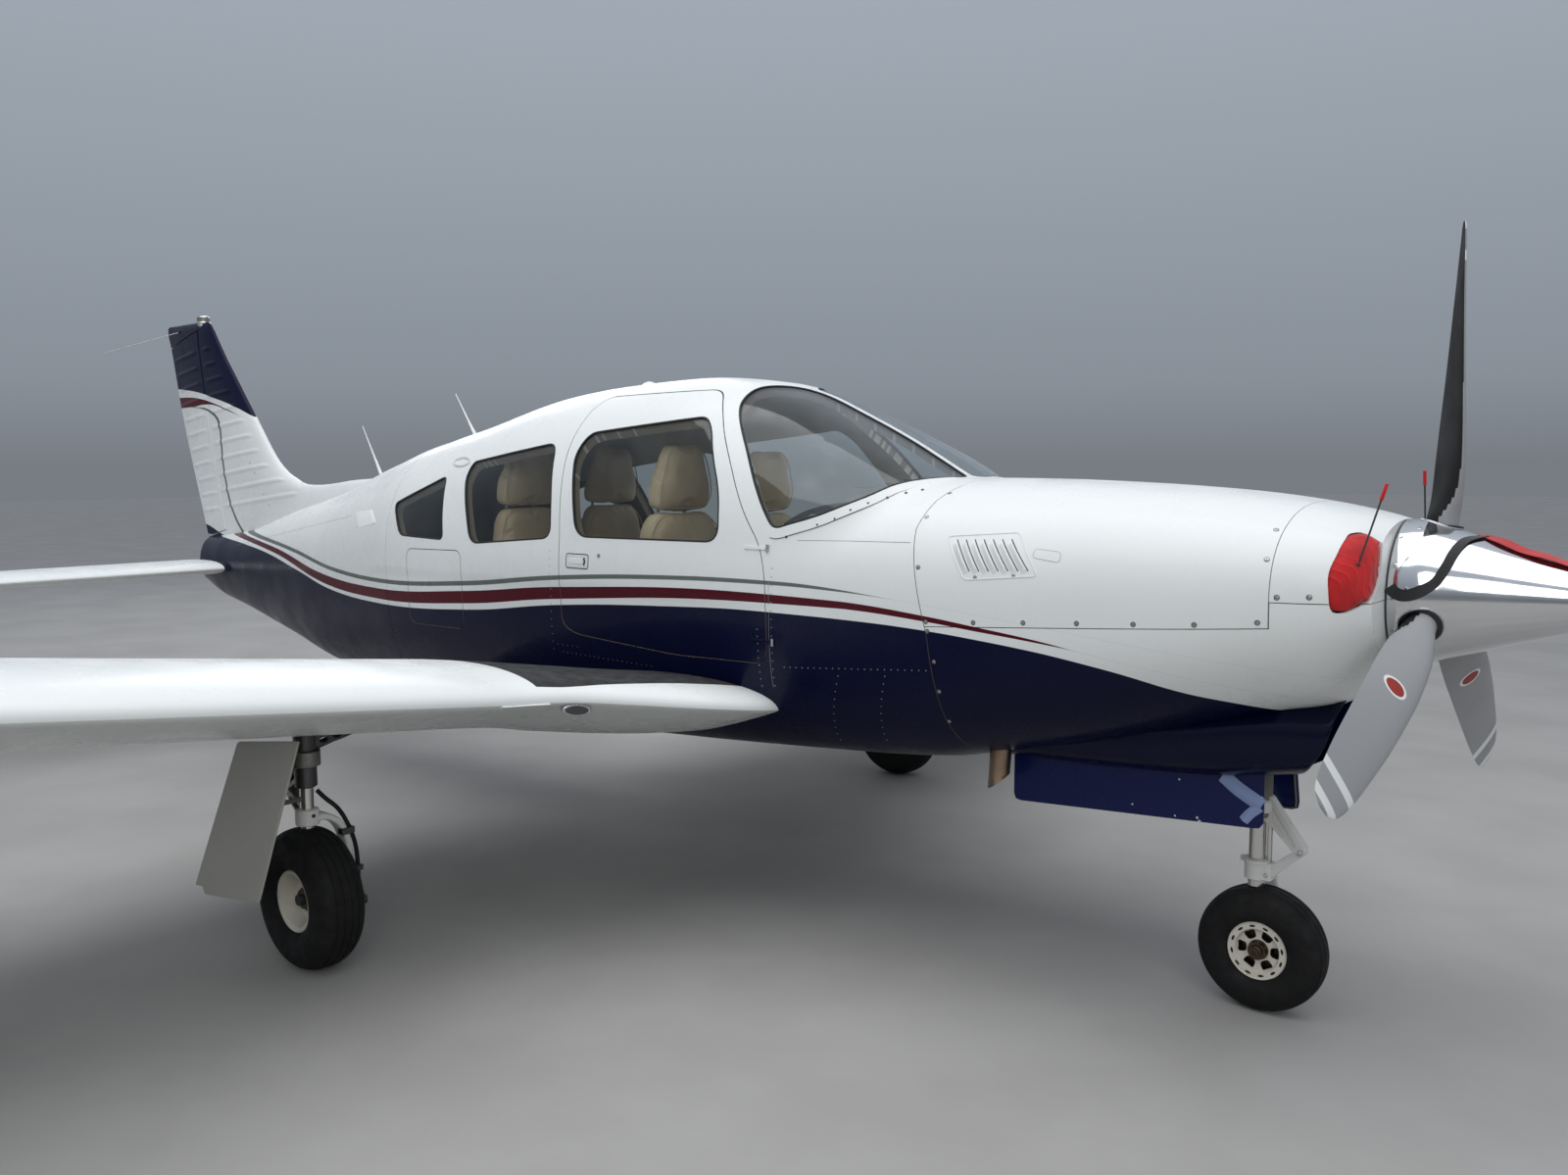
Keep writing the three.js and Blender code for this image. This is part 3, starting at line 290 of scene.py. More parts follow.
def slab_section(half: float, low: float, high: float, round_: float = 0.3) -> Array:
    """Section of a flat strip with rounded corners, half to each side and from low to high.

    Args:
        half: half the width.
        low: height of the lower face.
        high: height of the upper face.
        round_: share of the half height that is rounded.

    Returns:
        Eight points of a section.
    """
    edge = min(half, (high - low) / 2) * round_
    return np.array([
        (-half, low + edge), (-half + edge, low), (half - edge, low), (half, low + edge),
        (half, high - edge), (half - edge, high), (-half + edge, high), (-half, high - edge),
    ])


class Shape:
    """Points and faces that become one mesh."""

    def __init__(self) -> None:
        """Starts with nothing."""
        self.points: list[Array] = []
        self.faces: list[list[int]] = []
        self.marks: list[int] = []
        self.count = 0

    def add(self, points: Array, faces: list[list[int]], mark: int = 0) -> "Shape":
        """Adds points and the faces between them, which take the finish of that number.

        Args:
            points: places of the points.
            faces: point numbers of each face, from nought.
            mark: number of the finish that the faces take.

        Returns:
            The shape itself.
        """
        self.points.append(np.asarray(points, float).reshape(-1, 3))
        self.faces += [[corner + self.count for corner in face] for face in faces]
        self.marks += [mark] * len(faces)
        self.count += len(self.points[-1])
        return self

    def grid(self, points: Array, around: bool = True, along: bool = False, caps: bool = True,
             mark: int = 0) -> "Shape":
        """Adds a surface over a grid of points.

        Args:
            points: rows by columns of points.
            around: the last column meets the first.
            along: the last row meets the first.
            caps: the first and the last row are each closed by one face.
            mark: number of the finish that its faces take.

        Returns:
            The shape itself.
        """
        rows, columns = points.shape[:2]
        faces = grid_faces(rows, columns, around, along).tolist()
        if caps and around and not along:
            faces += [list(range(columns))[::-1], list(range((rows - 1) * columns, rows * columns))]
        return self.add(points, faces, mark)

    def turned(self, profile: Array, base: Array, direction: Array, count: int = 48,
               ring: bool = False, mark: int = 0) -> "Shape":
        """Adds a profile turned about an axis; ring says that the profile closes on itself."""
        points = turned(profile, base, direction, count)
        return self.grid(points, along=ring, caps=not ring, mark=mark)

    def bar(self, start: Array, end: Array, radius: float, count: int = 20, mark: int = 0,
            round_: float = 0.0) -> "Shape":
        """Adds a round bar between two points, its ends rounded off by a distance.

        Args:
            start: middle of one end.
            end: middle of the other end.
            radius: radius of the bar.
            count: points round it.
            mark: number of its finish.
            round_: distance by which the ends are rounded.

        Returns:
            The shape itself.
        """
        start, end = np.asarray(start, float), np.asarray(end, float)
        length = np.linalg.norm(end - start)
        profile = [(0, radius), (length, radius)]
        if round_ > 0:
            profile = [
                (0, radius - round_), (round_ * 0.3, radius - round_ * 0.3), (round_, radius),
                (length - round_, radius), (length - round_ * 0.3, radius - round_ * 0.3),
                (length, radius - round_),
            ]
        return self.turned(profile, start, end - start, count, mark=mark)

    def tube(self, points: Array, radius: float, count: int = 12, steps: int = 40,
             mark: int = 0) -> "Shape":
        """Adds a round tube on a smooth curve through points."""
        path = curve_through(points, steps)
        chord = path[-1] - path[0]
        return self.grid(swept(path, ring_section(radius, count), axes_of(chord)[1]), mark=mark)

    def block(self, low: Array, high: Array, round_: float = 0.0, mark: int = 0) -> "Shape":
        """Adds a box between two corners, its edges along z and its rims rounded.

        Args:
            low: corner with the smallest places.
            high: corner with the largest places.
            round_: rounding of the edges.
            mark: number of its finish.

        Returns:
            The shape itself.
        """
        low, high = np.asarray(low, float), np.asarray(high, float)
        corners = [(low[0], low[1]), (high[0], low[1]), (high[0], high[1]), (low[0], high[1])]
        if round_ <= 0:
            rim = np.array(corners)
            rows = [(low[2], rim), (high[2], rim)]
        else:
            rim = rounded(corners, round_ * 1.7, 48)
            inner = offset(rim, -round_ * 0.6)
            rows = [
                (low[2], inner), (low[2] + round_ * 0.6, rim),
                (high[2] - round_ * 0.6, rim), (high[2], inner),
            ]
        points = np.stack([
            np.concatenate([flat, np.full((len(flat), 1), z)], 1) for z, flat in rows
        ])
        return self.grid(points, mark=mark)

    def mirrored(self) -> "Shape":
        """The same shape on the other side of the aircraft.

        Returns:
            A new shape.
        """
        other = Shape()
        other.points = [points * (1, -1, 1) for points in self.points]
        other.faces = [face[::-1] for face in self.faces]
        other.marks, other.count = list(self.marks), self.count
        return other

    def moved(self, matrix: Matrix) -> "Shape":
        """The same shape moved and turned by a matrix.

        Args:
            matrix: turn and shift.

        Returns:
            A new shape.
        """
        other = Shape()
        turn = np.array(matrix)[:3, :3]
        shift = np.array(matrix)[:3, 3]
        other.points = [points @ turn.T + shift for points in self.points]
        other.faces = [list(face) for face in self.faces]
        other.marks, other.count = list(self.marks), self.count
        return other

    def join(self, other: "Shape", mark: int | None = None) -> "Shape":
        """Adds all of another shape, with its own finishes or with one.

        Args:
            other: shape that is added.
            mark: number of one finish for all of it, if any.

        Returns:
            The shape itself.
        """
        before = self.count
        for points in other.points:
            self.points.append(points)
            self.count += len(points)
        self.faces += [[corner + before for corner in face] for face in other.faces]
        self.marks += other.marks if mark is None else [mark] * len(other.marks)
        return self

    def build(self, name: str) -> Object:
        """Makes the mesh object, with its doubles merged and its faces pointing outwards.

        Args:
            name: name of the object and its mesh.

        Returns:
            The object, linked to the scene.
        """
        mesh = bpy.data.meshes.new(name)
        mesh.from_pydata(np.vstack(self.points).tolist(), [], self.faces)
        mesh.polygons.foreach_set("material_index", np.array(self.marks, np.int32))
        obj = bpy.data.objects.new(name, mesh)
        bpy.context.scene.collection.objects.link(obj)
        edit = bmesh.new()
        edit.from_mesh(mesh)
        bmesh.ops.remove_doubles(edit, verts=edit.verts, dist=1e-6)
        bmesh.ops.recalc_face_normals(edit, faces=edit.faces)
        edit.to_mesh(mesh)
        edit.free()
        return obj


def prism(outline: Array, low: float, high: float) -> Shape:
    """Outline in x and z carried along y from low to high."""
    rows = [np.insert(outline, 1, y, axis=1) for y in (low, high)]
    return Shape().grid(np.stack(rows))


def cut(target: Object, cutter: Object | Shape, how: Cut = Cut.TAKE_AWAY) -> Object:
    """Cuts or joins one closed mesh with another, and applies the result.

    Args:
        target: mesh that is changed.
        cutter: mesh or shape that is used up.
        how: what the cutter does.

    Returns:
        The target.
    """
    tool = cutter.build("cutter") if isinstance(cutter, Shape) else cutter
    modifier = target.modifiers.new("cut", "BOOLEAN")
    modifier.operation = how.value
    modifier.solver = "MANIFOLD"
    modifier.object = tool
    view = bpy.context.evaluated_depsgraph_get()
    mesh = bpy.data.meshes.new_from_object(target.evaluated_get(view))
    target.modifiers.clear()
    old = target.data
    target.data = mesh
    bpy.data.meshes.remove(old)
    spent = tool.data
    bpy.data.objects.remove(tool)
    bpy.data.meshes.remove(spent)
    return target


def copy_of(obj: Object, name: str) -> Object:
    """A copy of an object's mesh in an object of its own.

    Args:
        obj: object that is copied.
        name: name of the copy.

    Returns:
        A plain object without modifiers or a body.
    """
    mesh = obj.data.copy()
    mesh.name = name
    other = bpy.data.objects.new(name, mesh)
    bpy.context.scene.collection.objects.link(other)
    return other


def vertices_of(obj: Object) -> Array:
    """Places of a mesh's points."""
    points = np.zeros(len(obj.data.vertices) * 3)
    obj.data.vertices.foreach_get("co", points)
    return points.reshape(-1, 3)


def flip(obj: Object) -> None:
    """Turns a mesh into the one on the other side of the aircraft."""
    obj.data.vertices.foreach_set("co", (vertices_of(obj) * (1, -1, 1)).ravel())
    obj.data.flip_normals()


def face_centres(obj: Object) -> Array:
    """Middle of each face of a mesh."""
    centres = np.zeros(len(obj.data.polygons) * 3)
    obj.data.polygons.foreach_get("center", centres)
    return centres.reshape(-1, 3)


def face_normals(obj: Object) -> Array:
    """Direction that each face of a mesh points in."""
    normals = np.zeros(len(obj.data.polygons) * 3)
    obj.data.polygons.foreach_get("normal", normals)
    return normals.reshape(-1, 3)


def mark_faces(obj: Object, marks: Array) -> None:
    """Gives each face the finish of its number."""
    obj.data.polygons.foreach_set("material_index", np.asarray(marks, np.int32))
    obj.data.update()


def finish(obj: Object, materials: list[Material], body: str,
           replaces: tuple[str, ...] = (), angle: float = 30.0) -> Object:
    """Gives a piece its finishes, its soft shading, its body and the nodes that it stands for.

    Args:
        obj: the piece.
        materials: its finishes, in the order of its faces' numbers.
        body: body that it rides on.
        replaces: nodes that it stands for.
        angle: edges that turn by more degrees than this stay sharp.

    Returns:
        The piece.
    """
    marks = np.zeros(len(obj.data.polygons), np.int32)
    obj.data.polygons.foreach_get("material_index", marks)
    obj.data.materials.clear()
    for material in materials:
        obj.data.materials.append(material)
    mark_faces(obj, marks)
    obj.data.shade_smooth()
    obj.data.set_sharp_from_angle(angle=np.radians(angle))
    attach(obj, body)
    if replaces:
        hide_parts(*replaces)
    LOG.info("%s: %d faces, on %s", obj.name, len(obj.data.polygons), body)
    return obj


# Finishes


class Graph:
    """Node tree of one material, with short calls for the nodes that it needs."""

    def __init__(self, name: str, **inputs: float | tuple) -> None:
        """Starts a material whose shader has these plain values.

        Args:
            name: name of the material.
            inputs: values of the shader's inputs, an underscore for each blank.
        """
        self.material = bpy.data.materials.new(name)
        self.material.use_nodes = True
        self.tree = self.material.node_tree
        self.shader = self.tree.nodes["Principled BSDF"]
        for key, value in inputs.items():
            self.set(self.shader, key.replace("_", " "), value)
        self.object = self.add("ShaderNodeTexCoord").outputs["Object"]

    def add(self, kind: str, **settings: object) -> bpy.types.Node:
        """Adds a node with these settings."""
        node = self.tree.nodes.new(kind)
        for key, value in settings.items():
            setattr(node, key, value)
        return node

    def set(self, node: bpy.types.Node, key: str | int, value: object) -> None:
        """Links a socket to an input, or sets the input's plain value.

        Args:
            node: node that takes the value.
            key: name or number of its input.
            value: socket, number, vector or colour.
        """
        socket = node.inputs[key]
        if isinstance(value, Socket):
            self.tree.links.new(value, socket)
        elif isinstance(value, tuple) and len(value) == 3 and socket.type == "RGBA":
            socket.default_value = (*value, 1)
        else:
            socket.default_value = value

    def paint(self, key: str, value: object) -> "Graph":
        """Sets or links an input of the shader."""
        self.set(self.shader, key, value)
        return self

    def math(self, operation: str, *values: object) -> Socket:
        """Result of a sum on numbers or sockets."""
        node = self.add("ShaderNodeMath", operation=operation)
        for i, value in enumerate(values):
            self.set(node, i, value)
        return node.outputs[0]

    def step(self, value: Socket, low: float, high: float, first: float = 0.0,
             last: float = 1.0) -> Socket:
        """Smooth change from first to last while the value goes from low to high.

        Args:
            value: what is looked at.
            low: value at which the change starts.
            high: value at which it ends.
            first: result below.
            last: result above.

        Returns:
            The socket with the result.
        """
        node = self.add("ShaderNodeMapRange", interpolation_type="SMOOTHSTEP")
        for key, number in (("Value", value), ("From Min", low), ("From Max", high),
                            ("To Min", first), ("To Max", last)):
            self.set(node, key, number)
        return node.outputs["Result"]

    def mix(self, share: Socket | float, first: object, second: object) -> Socket:
        """Colour between two others."""
        node = self.add("ShaderNodeMix", data_type="RGBA")
        for key, value in ((0, share), (6, first), (7, second)):
            self.set(node, key, value)
        return node.outputs[2]

    def split(self, vector: Socket | None = None) -> tuple[Socket, Socket, Socket]:
        """The three parts of a place."""
        node = self.add("ShaderNodeSeparateXYZ")
        self.set(node, 0, vector or self.object)
        return tuple(node.outputs)

    def scaled(self, scale: tuple[float, float, float]) -> Socket:
        """Object coordinates stretched along each axis."""
        node = self.add("ShaderNodeMapping")
        self.set(node, "Vector", self.object)
        self.set(node, "Scale", scale)
        return node.outputs[0]

    def noise(self, scale: float, detail: float = 3.0, vector: Socket | None = None) -> Socket:
        """Cloudy pattern between nought and one."""
        node = self.add("ShaderNodeTexNoise")
        for key, value in (("Vector", vector or self.object), ("Scale", scale), ("Detail", detail)):
            self.set(node, key, value)
        return node.outputs["Fac"]

    def cells(self, scale: float, vector: Socket | None = None) -> Socket:
        """Distance to the nearest of many scattered points."""
        node = self.add("ShaderNodeTexVoronoi")
        self.set(node, "Vector", vector or self.object)
        self.set(node, "Scale", scale)
        return node.outputs["Distance"]

    def curve(self, value: Socket, table: list[tuple[float, float]], low: float,
              high: float) -> Socket:
        """Height on a smooth curve through a table's points, at a value from low to high.

        Args:
            value: what is looked at.
            table: rows of value and height.
            low: smallest value of the table.
            high: largest value of the table.

        Returns:
            The socket with the height.
        """
        share = self.math("DIVIDE", self.math("SUBTRACT", value, low), high - low)
        node = self.add("ShaderNodeFloatCurve")
        self.set(node, "Value", share)
        line = node.mapping.curves[0]
        rows = sorted(table)
        for x, y in rows[1:-1]:
            line.points.new((x - low) / (high - low), y)
        for point, (x, y) in zip(line.points, rows, strict=True):
            point.location = ((x - low) / (high - low), y)
            point.handle_type = "AUTO_CLAMPED"
        node.mapping.use_clip = False
        node.mapping.extend = "HORIZONTAL"
        node.mapping.update()
        return node.outputs[0]

    def bump(self, height: Socket, distance: float, strength: float = 1.0,
             under: Socket | None = None) -> Socket:
        """Normal of a surface that rises by a distance where the height is one.

        Args:
            height: height between nought and one.
            distance: metres that one stands for.
            strength: share of the effect.
            under: normal that this one adds to.

        Returns:
            The socket with the normal.
        """
        node = self.add("ShaderNodeBump")
        self.set(node, "Height", height)
        self.set(node, "Distance", distance)
        self.set(node, "Strength", strength)
        if under is not None:
            self.set(node, "Normal", under)
        return node.outputs[0]


@dataclass(frozen=True)
class Paint:
    """Sprayed paint on metal: faintly uneven, with a little dust and worn gloss."""

    name: str
    color: tuple[float, float, float]
    roughness: float = 0.28
    coat: float = 0.06
    metallic: float = 0.0
    grime: float = 0.006
    grime_color: tuple[float, float, float] = (0.30, 0.27, 0.22)

    def start(self) -> Graph:
        """Node tree with the coat's plain values."""
        return Graph(
            self.name, Metallic=self.metallic, Coat_Weight=self.coat, Coat_Roughness=0.06,
            Specular_IOR_Level=0.13,
        )

    def soiled(self, graph: Graph, color: Socket | tuple) -> Graph:
        """Adds dust in soft clouds, and gloss that varies.

        Args:
            graph: node tree of the paint.
            color: colour of the clean paint.

        Returns:
            The same node tree.
        """
        clouds = graph.noise(2.2, 5.0)
        share = graph.step(clouds, 0.45, 0.85, 0.0, self.grime)
        graph.paint("Base Color", graph.mix(share, color, self.grime_color))
        low, high = self.roughness * 0.8, self.roughness * 1.25
        graph.paint("Roughness", graph.step(graph.noise(7.0, 4.0), 0.3, 0.7, low, high))
        return graph

    def ripple(self, graph: Graph, distance: float = 0.0016) -> Graph:
        """Adds the slow unevenness of thin sheet metal."""
        graph.paint("Normal", graph.bump(graph.noise(2.6, 1.0), distance, 0.35))
        return graph

    def material(self) -> Material:
        """The finish as a material."""
        return self.ripple(self.soiled(self.start(), self.color)).material


WHITE = (0.74, 0.76, 0.745)
NAVY = (0.0020, 0.0032, 0.024)
MAROON = (0.075, 0.003, 0.010)
GREY = (0.13, 0.145, 0.135)


@dataclass(frozen=True)
class HullLivery(Paint):
    """White paint over navy, with a maroon and a grey stripe along each side."""

    rear: float = -3.6
    front: float = 3.4
    # Place along the aircraft and height of the navy's upper edge
    navy_top: tuple = (
        (-3.600, 1.170), (-3.147, 1.150), (-2.710, 1.131), (-2.371, 1.108), (-1.900, 1.045),
        (-1.375, 0.969), (-0.914, 0.954), (-0.136, 0.987), (0.478, 1.051), (1.000, 1.084),
        (1.469, 1.099), (1.938, 1.094), (2.287, 1.070), (2.610, 1.022), (2.820, 0.967),
        (2.936, 0.938), (3.020, 0.905), (3.400, 0.700),
    )
    # Place, middle height and half width of the maroon stripe
    maroon: tuple = (
        (-3.600, 1.200, 0.005), (-2.997, 1.177, 0.010), (-2.248, 1.127, 0.0135),
        (-1.370, 1.009, 0.023), (-0.904, 0.998, 0.0235), (-0.150, 1.037, 0.0255),
        (0.480, 1.096, 0.0225), (1.469, 1.142, 0.0145), (1.793, 1.141, 0.0110),
        (2.091, 1.121, 0.0080), (2.232, 1.106, 0.0065), (2.450, 1.080, 0.0030),
        (2.560, 1.062, 0.0), (3.400, 0.9, 0.0),
    )
    # Place, middle height and half width of the grey stripe
    grey: tuple = (
        (-3.600, 1.235, 0.008), (-2.998, 1.207, 0.009), (-2.328, 1.170, 0.009),
        (-1.925, 1.137, 0.0092), (-1.365, 1.073, 0.0095), (-0.900, 1.058, 0.0095),
        (-0.173, 1.092, 0.0095), (0.481, 1.154, 0.0085), (1.009, 1.184, 0.0075),
        (1.469, 1.193, 0.0065), (1.641, 1.191, 0.0055), (2.020, 1.166, 0.0), (3.400, 1.0, 0.0),
    )
    edge: float = 0.0006

    def stripe(self, graph: Graph, x: Socket, z: Socket, table: tuple) -> Socket:
        """One inside a stripe and nought outside it."""
        middle = graph.curve(x, [row[:2] for row in table], self.rear, self.front)
        half = graph.curve(x, [(row[0], row[2]) for row in table], self.rear, self.front)
        away = graph.math("ABSOLUTE", graph.math("SUBTRACT", z, middle))
        return graph.step(graph.math("SUBTRACT", half, away), -self.edge, self.edge)

    def material(self) -> Material:
        """The finish as a material.

        Returns:
            The material.
        """
        graph = self.start()
        x, _, z = graph.split()
        top = graph.curve(x, list(self.navy_top), self.rear, self.front)
        navy = graph.step(graph.math("SUBTRACT", top, z), -self.edge, self.edge)
        color = graph.mix(navy, WHITE, NAVY)
        color = graph.mix(self.stripe(graph, x, z, self.maroon), color, MAROON)
        color = graph.mix(self.stripe(graph, x, z, self.grey), color, GREY)
        return self.ripple(self.soiled(graph, color)).material


@dataclass(frozen=True)
class FinLivery(Paint):
    """White fin with a navy head, a maroon wedge under it and a grey line that curves up it."""

    low: float = 1.0
    high: float = 2.6
    rear: float = -4.0
    front: float = -1.8
    # Place along the aircraft and height of the navy's lower edge
    navy_low: tuple = (
        (-4.000, 2.060), (-3.488, 2.012), (-3.272, 1.971), (-3.036, 1.915), (-2.831, 1.840),
        (-1.800, 1.400),
    )
    # Place, middle height and half width of the maroon wedge
    wedge: tuple = (
        (-4.000, 1.960, 0.034), (-3.560, 1.956, 0.027), (-3.400, 1.950, 0.014),
        (-3.250, 1.930, 0.004), (-3.070, 1.886, 0.003), (-2.950, 1.850, 0.0), (-1.800, 1.5, 0.0),
    )
    # Height, place along the aircraft and half width along x of the grey line
    line: tuple = (
        (1.000, -2.700, 0.018), (1.214, -3.025, 0.015), (1.284, -3.095, 0.013),
        (1.379, -3.153, 0.012), (1.507, -3.185, 0.011), (1.635, -3.198, 0.011),
        (1.738, -3.199, 0.011), (1.826, -3.219, 0.015), (1.875, -3.280, 0.022),
        (1.902, -3.360, 0.030), (1.922, -3.484, 0.040), (1.935, -3.620, 0.0), (2.600, -3.7, 0.0),
    )
    # The rudder's navy foot: place and height of its upper edge
    foot: tuple = ((-4.0, 1.262), (-3.50, 1.215), (-3.30, 1.168), (-3.20, 1.150), (-1.8, 1.0))
    edge: float = 0.0006

    def material(self) -> Material:
        """The finish as a material.

        Returns:
            The material.
        """
        graph = self.start()
        x, _, z = graph.split()
        low = graph.curve(x, list(self.navy_low), self.rear, self.front)
        foot = graph.curve(x, list(self.foot), self.rear, self.front)
        middle = graph.curve(x, [row[:2] for row in self.wedge], self.rear, self.front)
        half = graph.curve(x, [(row[0], row[2]) for row in self.wedge], self.rear, self.front)
        line = graph.curve(z, [row[:2] for row in self.line], self.low, self.high)
        wide = graph.curve(z, [(row[0], row[2]) for row in self.line], self.low, self.high)
        away = graph.math("ABSOLUTE", graph.math("SUBTRACT", z, middle))
        aside = graph.math("ABSOLUTE", graph.math("SUBTRACT", x, line))
        color = graph.mix(
            graph.step(graph.math("SUBTRACT", wide, aside), -self.edge, self.edge), WHITE, GREY,
        )
        for share, paint in (
            (graph.math("SUBTRACT", half, away), MAROON), (graph.math("SUBTRACT", z, low), NAVY),
            (graph.math("SUBTRACT", foot, z), NAVY),
        ):
            color = graph.mix(graph.step(share, -self.edge, self.edge), color, paint)
        return self.ripple(self.soiled(graph, color), 0.0006).material


@dataclass(frozen=True)
class WingPaint(Paint):
    """White wing paint with the dark non-slip walkway on the right wing's root."""

    # Corners of the walkway: inner and outer distance from the centreline, rear and front place
    inner: float = 0.56
    outer: float = 1.156
    rear: float = -0.34
    front: float = 1.348
    # How far the front edge moves back for each metre outwards
    slant: float = 0.444
    walk: tuple[float, float, float] = (0.030, 0.032, 0.034)

    def material(self) -> Material:
        """The finish as a material.

        Returns:
            The material.
        """
        graph = self.start()
        x, y, _ = graph.split()
        away = graph.math("ABSOLUTE", y)
        back = graph.math("MULTIPLY", graph.math("SUBTRACT", away, self.inner), self.slant)
        limit = graph.math("SUBTRACT", self.front, back)
        inside = graph.math("MULTIPLY", graph.step(graph.math("SUBTRACT", limit, x), 0, 0.001),
                            graph.step(graph.math("SUBTRACT", self.outer, away), 0, 0.001))
        inside = graph.math("MULTIPLY", inside, graph.step(x, self.rear, self.rear + 0.001))
        inside = graph.math("MULTIPLY", inside, graph.step(y, -0.001, 0.0, 1.0, 0.0))
        normal = graph.add("ShaderNodeNewGeometry").outputs["Normal"]
        top = graph.step(graph.split(normal)[2], 0.35, 0.40)
        inside = graph.math("MULTIPLY", inside, top)
        worn = graph.step(graph.noise(26.0, 8.0), 0.30, 0.75, 0.0, 0.35)
        walk = graph.mix(worn, self.walk, (0.12, 0.115, 0.105))
        self.soiled(graph, graph.mix(inside, WHITE, walk))
        rough = graph.step(graph.noise(7.0, 4.0), 0.3, 0.7, self.roughness * 0.8, 0.35)
        node = graph.add("ShaderNodeMix")
        for key, value in ((0, inside), (2, rough), (3, 0.85)):
            graph.set(node, key, value)
        graph.paint("Roughness", node.outputs[0])
        grit = graph.math("MULTIPLY", graph.noise(900.0, 2.0), inside)
        wave = graph.bump(graph.noise(2.6, 1.0), 0.0016, 0.35)
        graph.paint("Normal", graph.bump(grit, 0.0012, 0.8, wave))
        return graph.material


@dataclass(frozen=True)
class BladePaint(Paint):
    """Grey blade paint with white, grey and white bands near the tip."""

    axis_z: float = 1.232
    # Inner and outer distance from the axis of each pale band
    bands: tuple = ((0.845, 0.872), (0.930, 0.955))
    band_color: tuple[float, float, float] = (0.72, 0.73, 0.72)
    # Blank round mark on each blade: distance from the axis, outer and inner radius
    disc: tuple[float, float, float] = (0.460, 0.027, 0.021)
    disc_color: tuple[float, float, float] = (0.30, 0.04, 0.03)

    def material(self) -> Material:
        """The finish as a material: the distance from the axis is sqrt(y ** 2 + (z - axis) ** 2).

        Returns:
            The material.
        """
        graph = self.start()
        _, y, z = graph.split()
        up = graph.math("SUBTRACT", z, self.axis_z)
        square = graph.math("ADD", graph.math("MULTIPLY", y, y), graph.math("MULTIPLY", up, up))
        radius = graph.math("SQRT", square)
        color = self.color
        for low, high in self.bands:
            inside = graph.math("MULTIPLY", graph.step(radius, low, low + 0.001),
                                graph.step(radius, high, high + 0.001, 1.0, 0.0))
            color = graph.mix(inside, color, self.band_color)
        away, outer, inner = self.disc
        for degrees in Propeller.angles:
            turn = np.radians(degrees)
            aside = graph.math("ADD", y, float(np.sin(turn)) * away)
            above = graph.math("SUBTRACT", up, float(np.cos(turn)) * away)
            reach = graph.math("SQRT", graph.math("ADD", graph.math("MULTIPLY", aside, aside),
                                                  graph.math("MULTIPLY", above, above)))
            for size, paint in ((outer, self.band_color), (inner, self.disc_color)):
                color = graph.mix(graph.step(reach, size, size + 0.001, 1.0, 0.0), color, paint)
        return self.ripple(self.soiled(graph, color), 0.0003).material


@dataclass(frozen=True)
class Metal:
    """Bare metal: polished, turned or cast, with fine marks along one axis."""

    name: str
    color: tuple[float, float, float]
    roughness: float = 0.25
    marks: tuple[float, float, float] = (1.0, 1.0, 1.0)
    fine: float = 120.0
    depth: float = 0.0002
    stain: tuple[float, float, float] = (0.25, 0.22, 0.18)
    stained: float = 0.12

    def material(self) -> Material:
        """The finish as a material.

        Returns:
            The material.
        """
        graph = Graph(self.name, Metallic=1.0)
        lines = graph.noise(self.fine, 3.0, graph.scaled(self.marks))
        clouds = graph.noise(6.0, 5.0)
        dull = graph.step(clouds, 0.4, 0.75, 0.0, self.stained)
        graph.paint("Base Color", graph.mix(dull, self.color, self.stain))
        low, high = self.roughness * 0.75, self.roughness * 1.35
        graph.paint("Roughness", graph.step(lines, 0.25, 0.75, low, high))
        graph.paint("Normal", graph.bump(lines, self.depth, 0.4))
        return graph.material


@dataclass(frozen=True)
class Rubber:
    """Tyre rubber: dark, dull and dusty where it has rolled."""

    name: str
    color: tuple[float, float, float] = (0.006, 0.006, 0.0065)
    dust: tuple[float, float, float] = (0.045, 0.042, 0.036)
    dusty: float = 0.20
    roughness: float = 0.62

    def material(self) -> Material:
        """The finish as a material.

        Returns:
            The material.
        """
        graph = Graph(self.name, Specular_IOR_Level=0.25)
        share = graph.step(graph.noise(9.0, 8.0), 0.42, 0.80, 0.02, self.dusty)
        graph.paint("Base Color", graph.mix(share, self.color, self.dust))
        graph.paint("Roughness", graph.step(graph.noise(30.0), 0.3, 0.7, self.roughness, 0.85))
        graph.paint("Normal", graph.bump(graph.noise(420.0, 3.0), 0.0006, 0.5))
        return graph.material


@dataclass(frozen=True)
class Leather:
    """Seat leather: fine pebbled grain, soft folds and paler worn crowns."""

    name: str
    color: tuple[float, float, float] = (0.43, 0.315, 0.19)
    worn: tuple[float, float, float] = (0.54, 0.41, 0.265)

    def material(self) -> Material:
        """The finish as a material.

        Returns:
            The material.
        """
        graph = Graph(self.name, Specular_IOR_Level=0.4, Sheen_Weight=0.08)
        share = graph.step(graph.noise(5.0, 5.0), 0.35, 0.7)
        graph.paint("Base Color", graph.mix(share, self.color, self.worn))
        grain = graph.cells(620.0)
        graph.paint("Roughness", graph.step(grain, 0.2, 0.9, 0.42, 0.60))
        folds = graph.bump(graph.noise(14.0, 6.0), 0.006, 0.25)
        graph.paint("Normal", graph.bump(grain, 0.0004, 0.45, folds))
        return graph.material


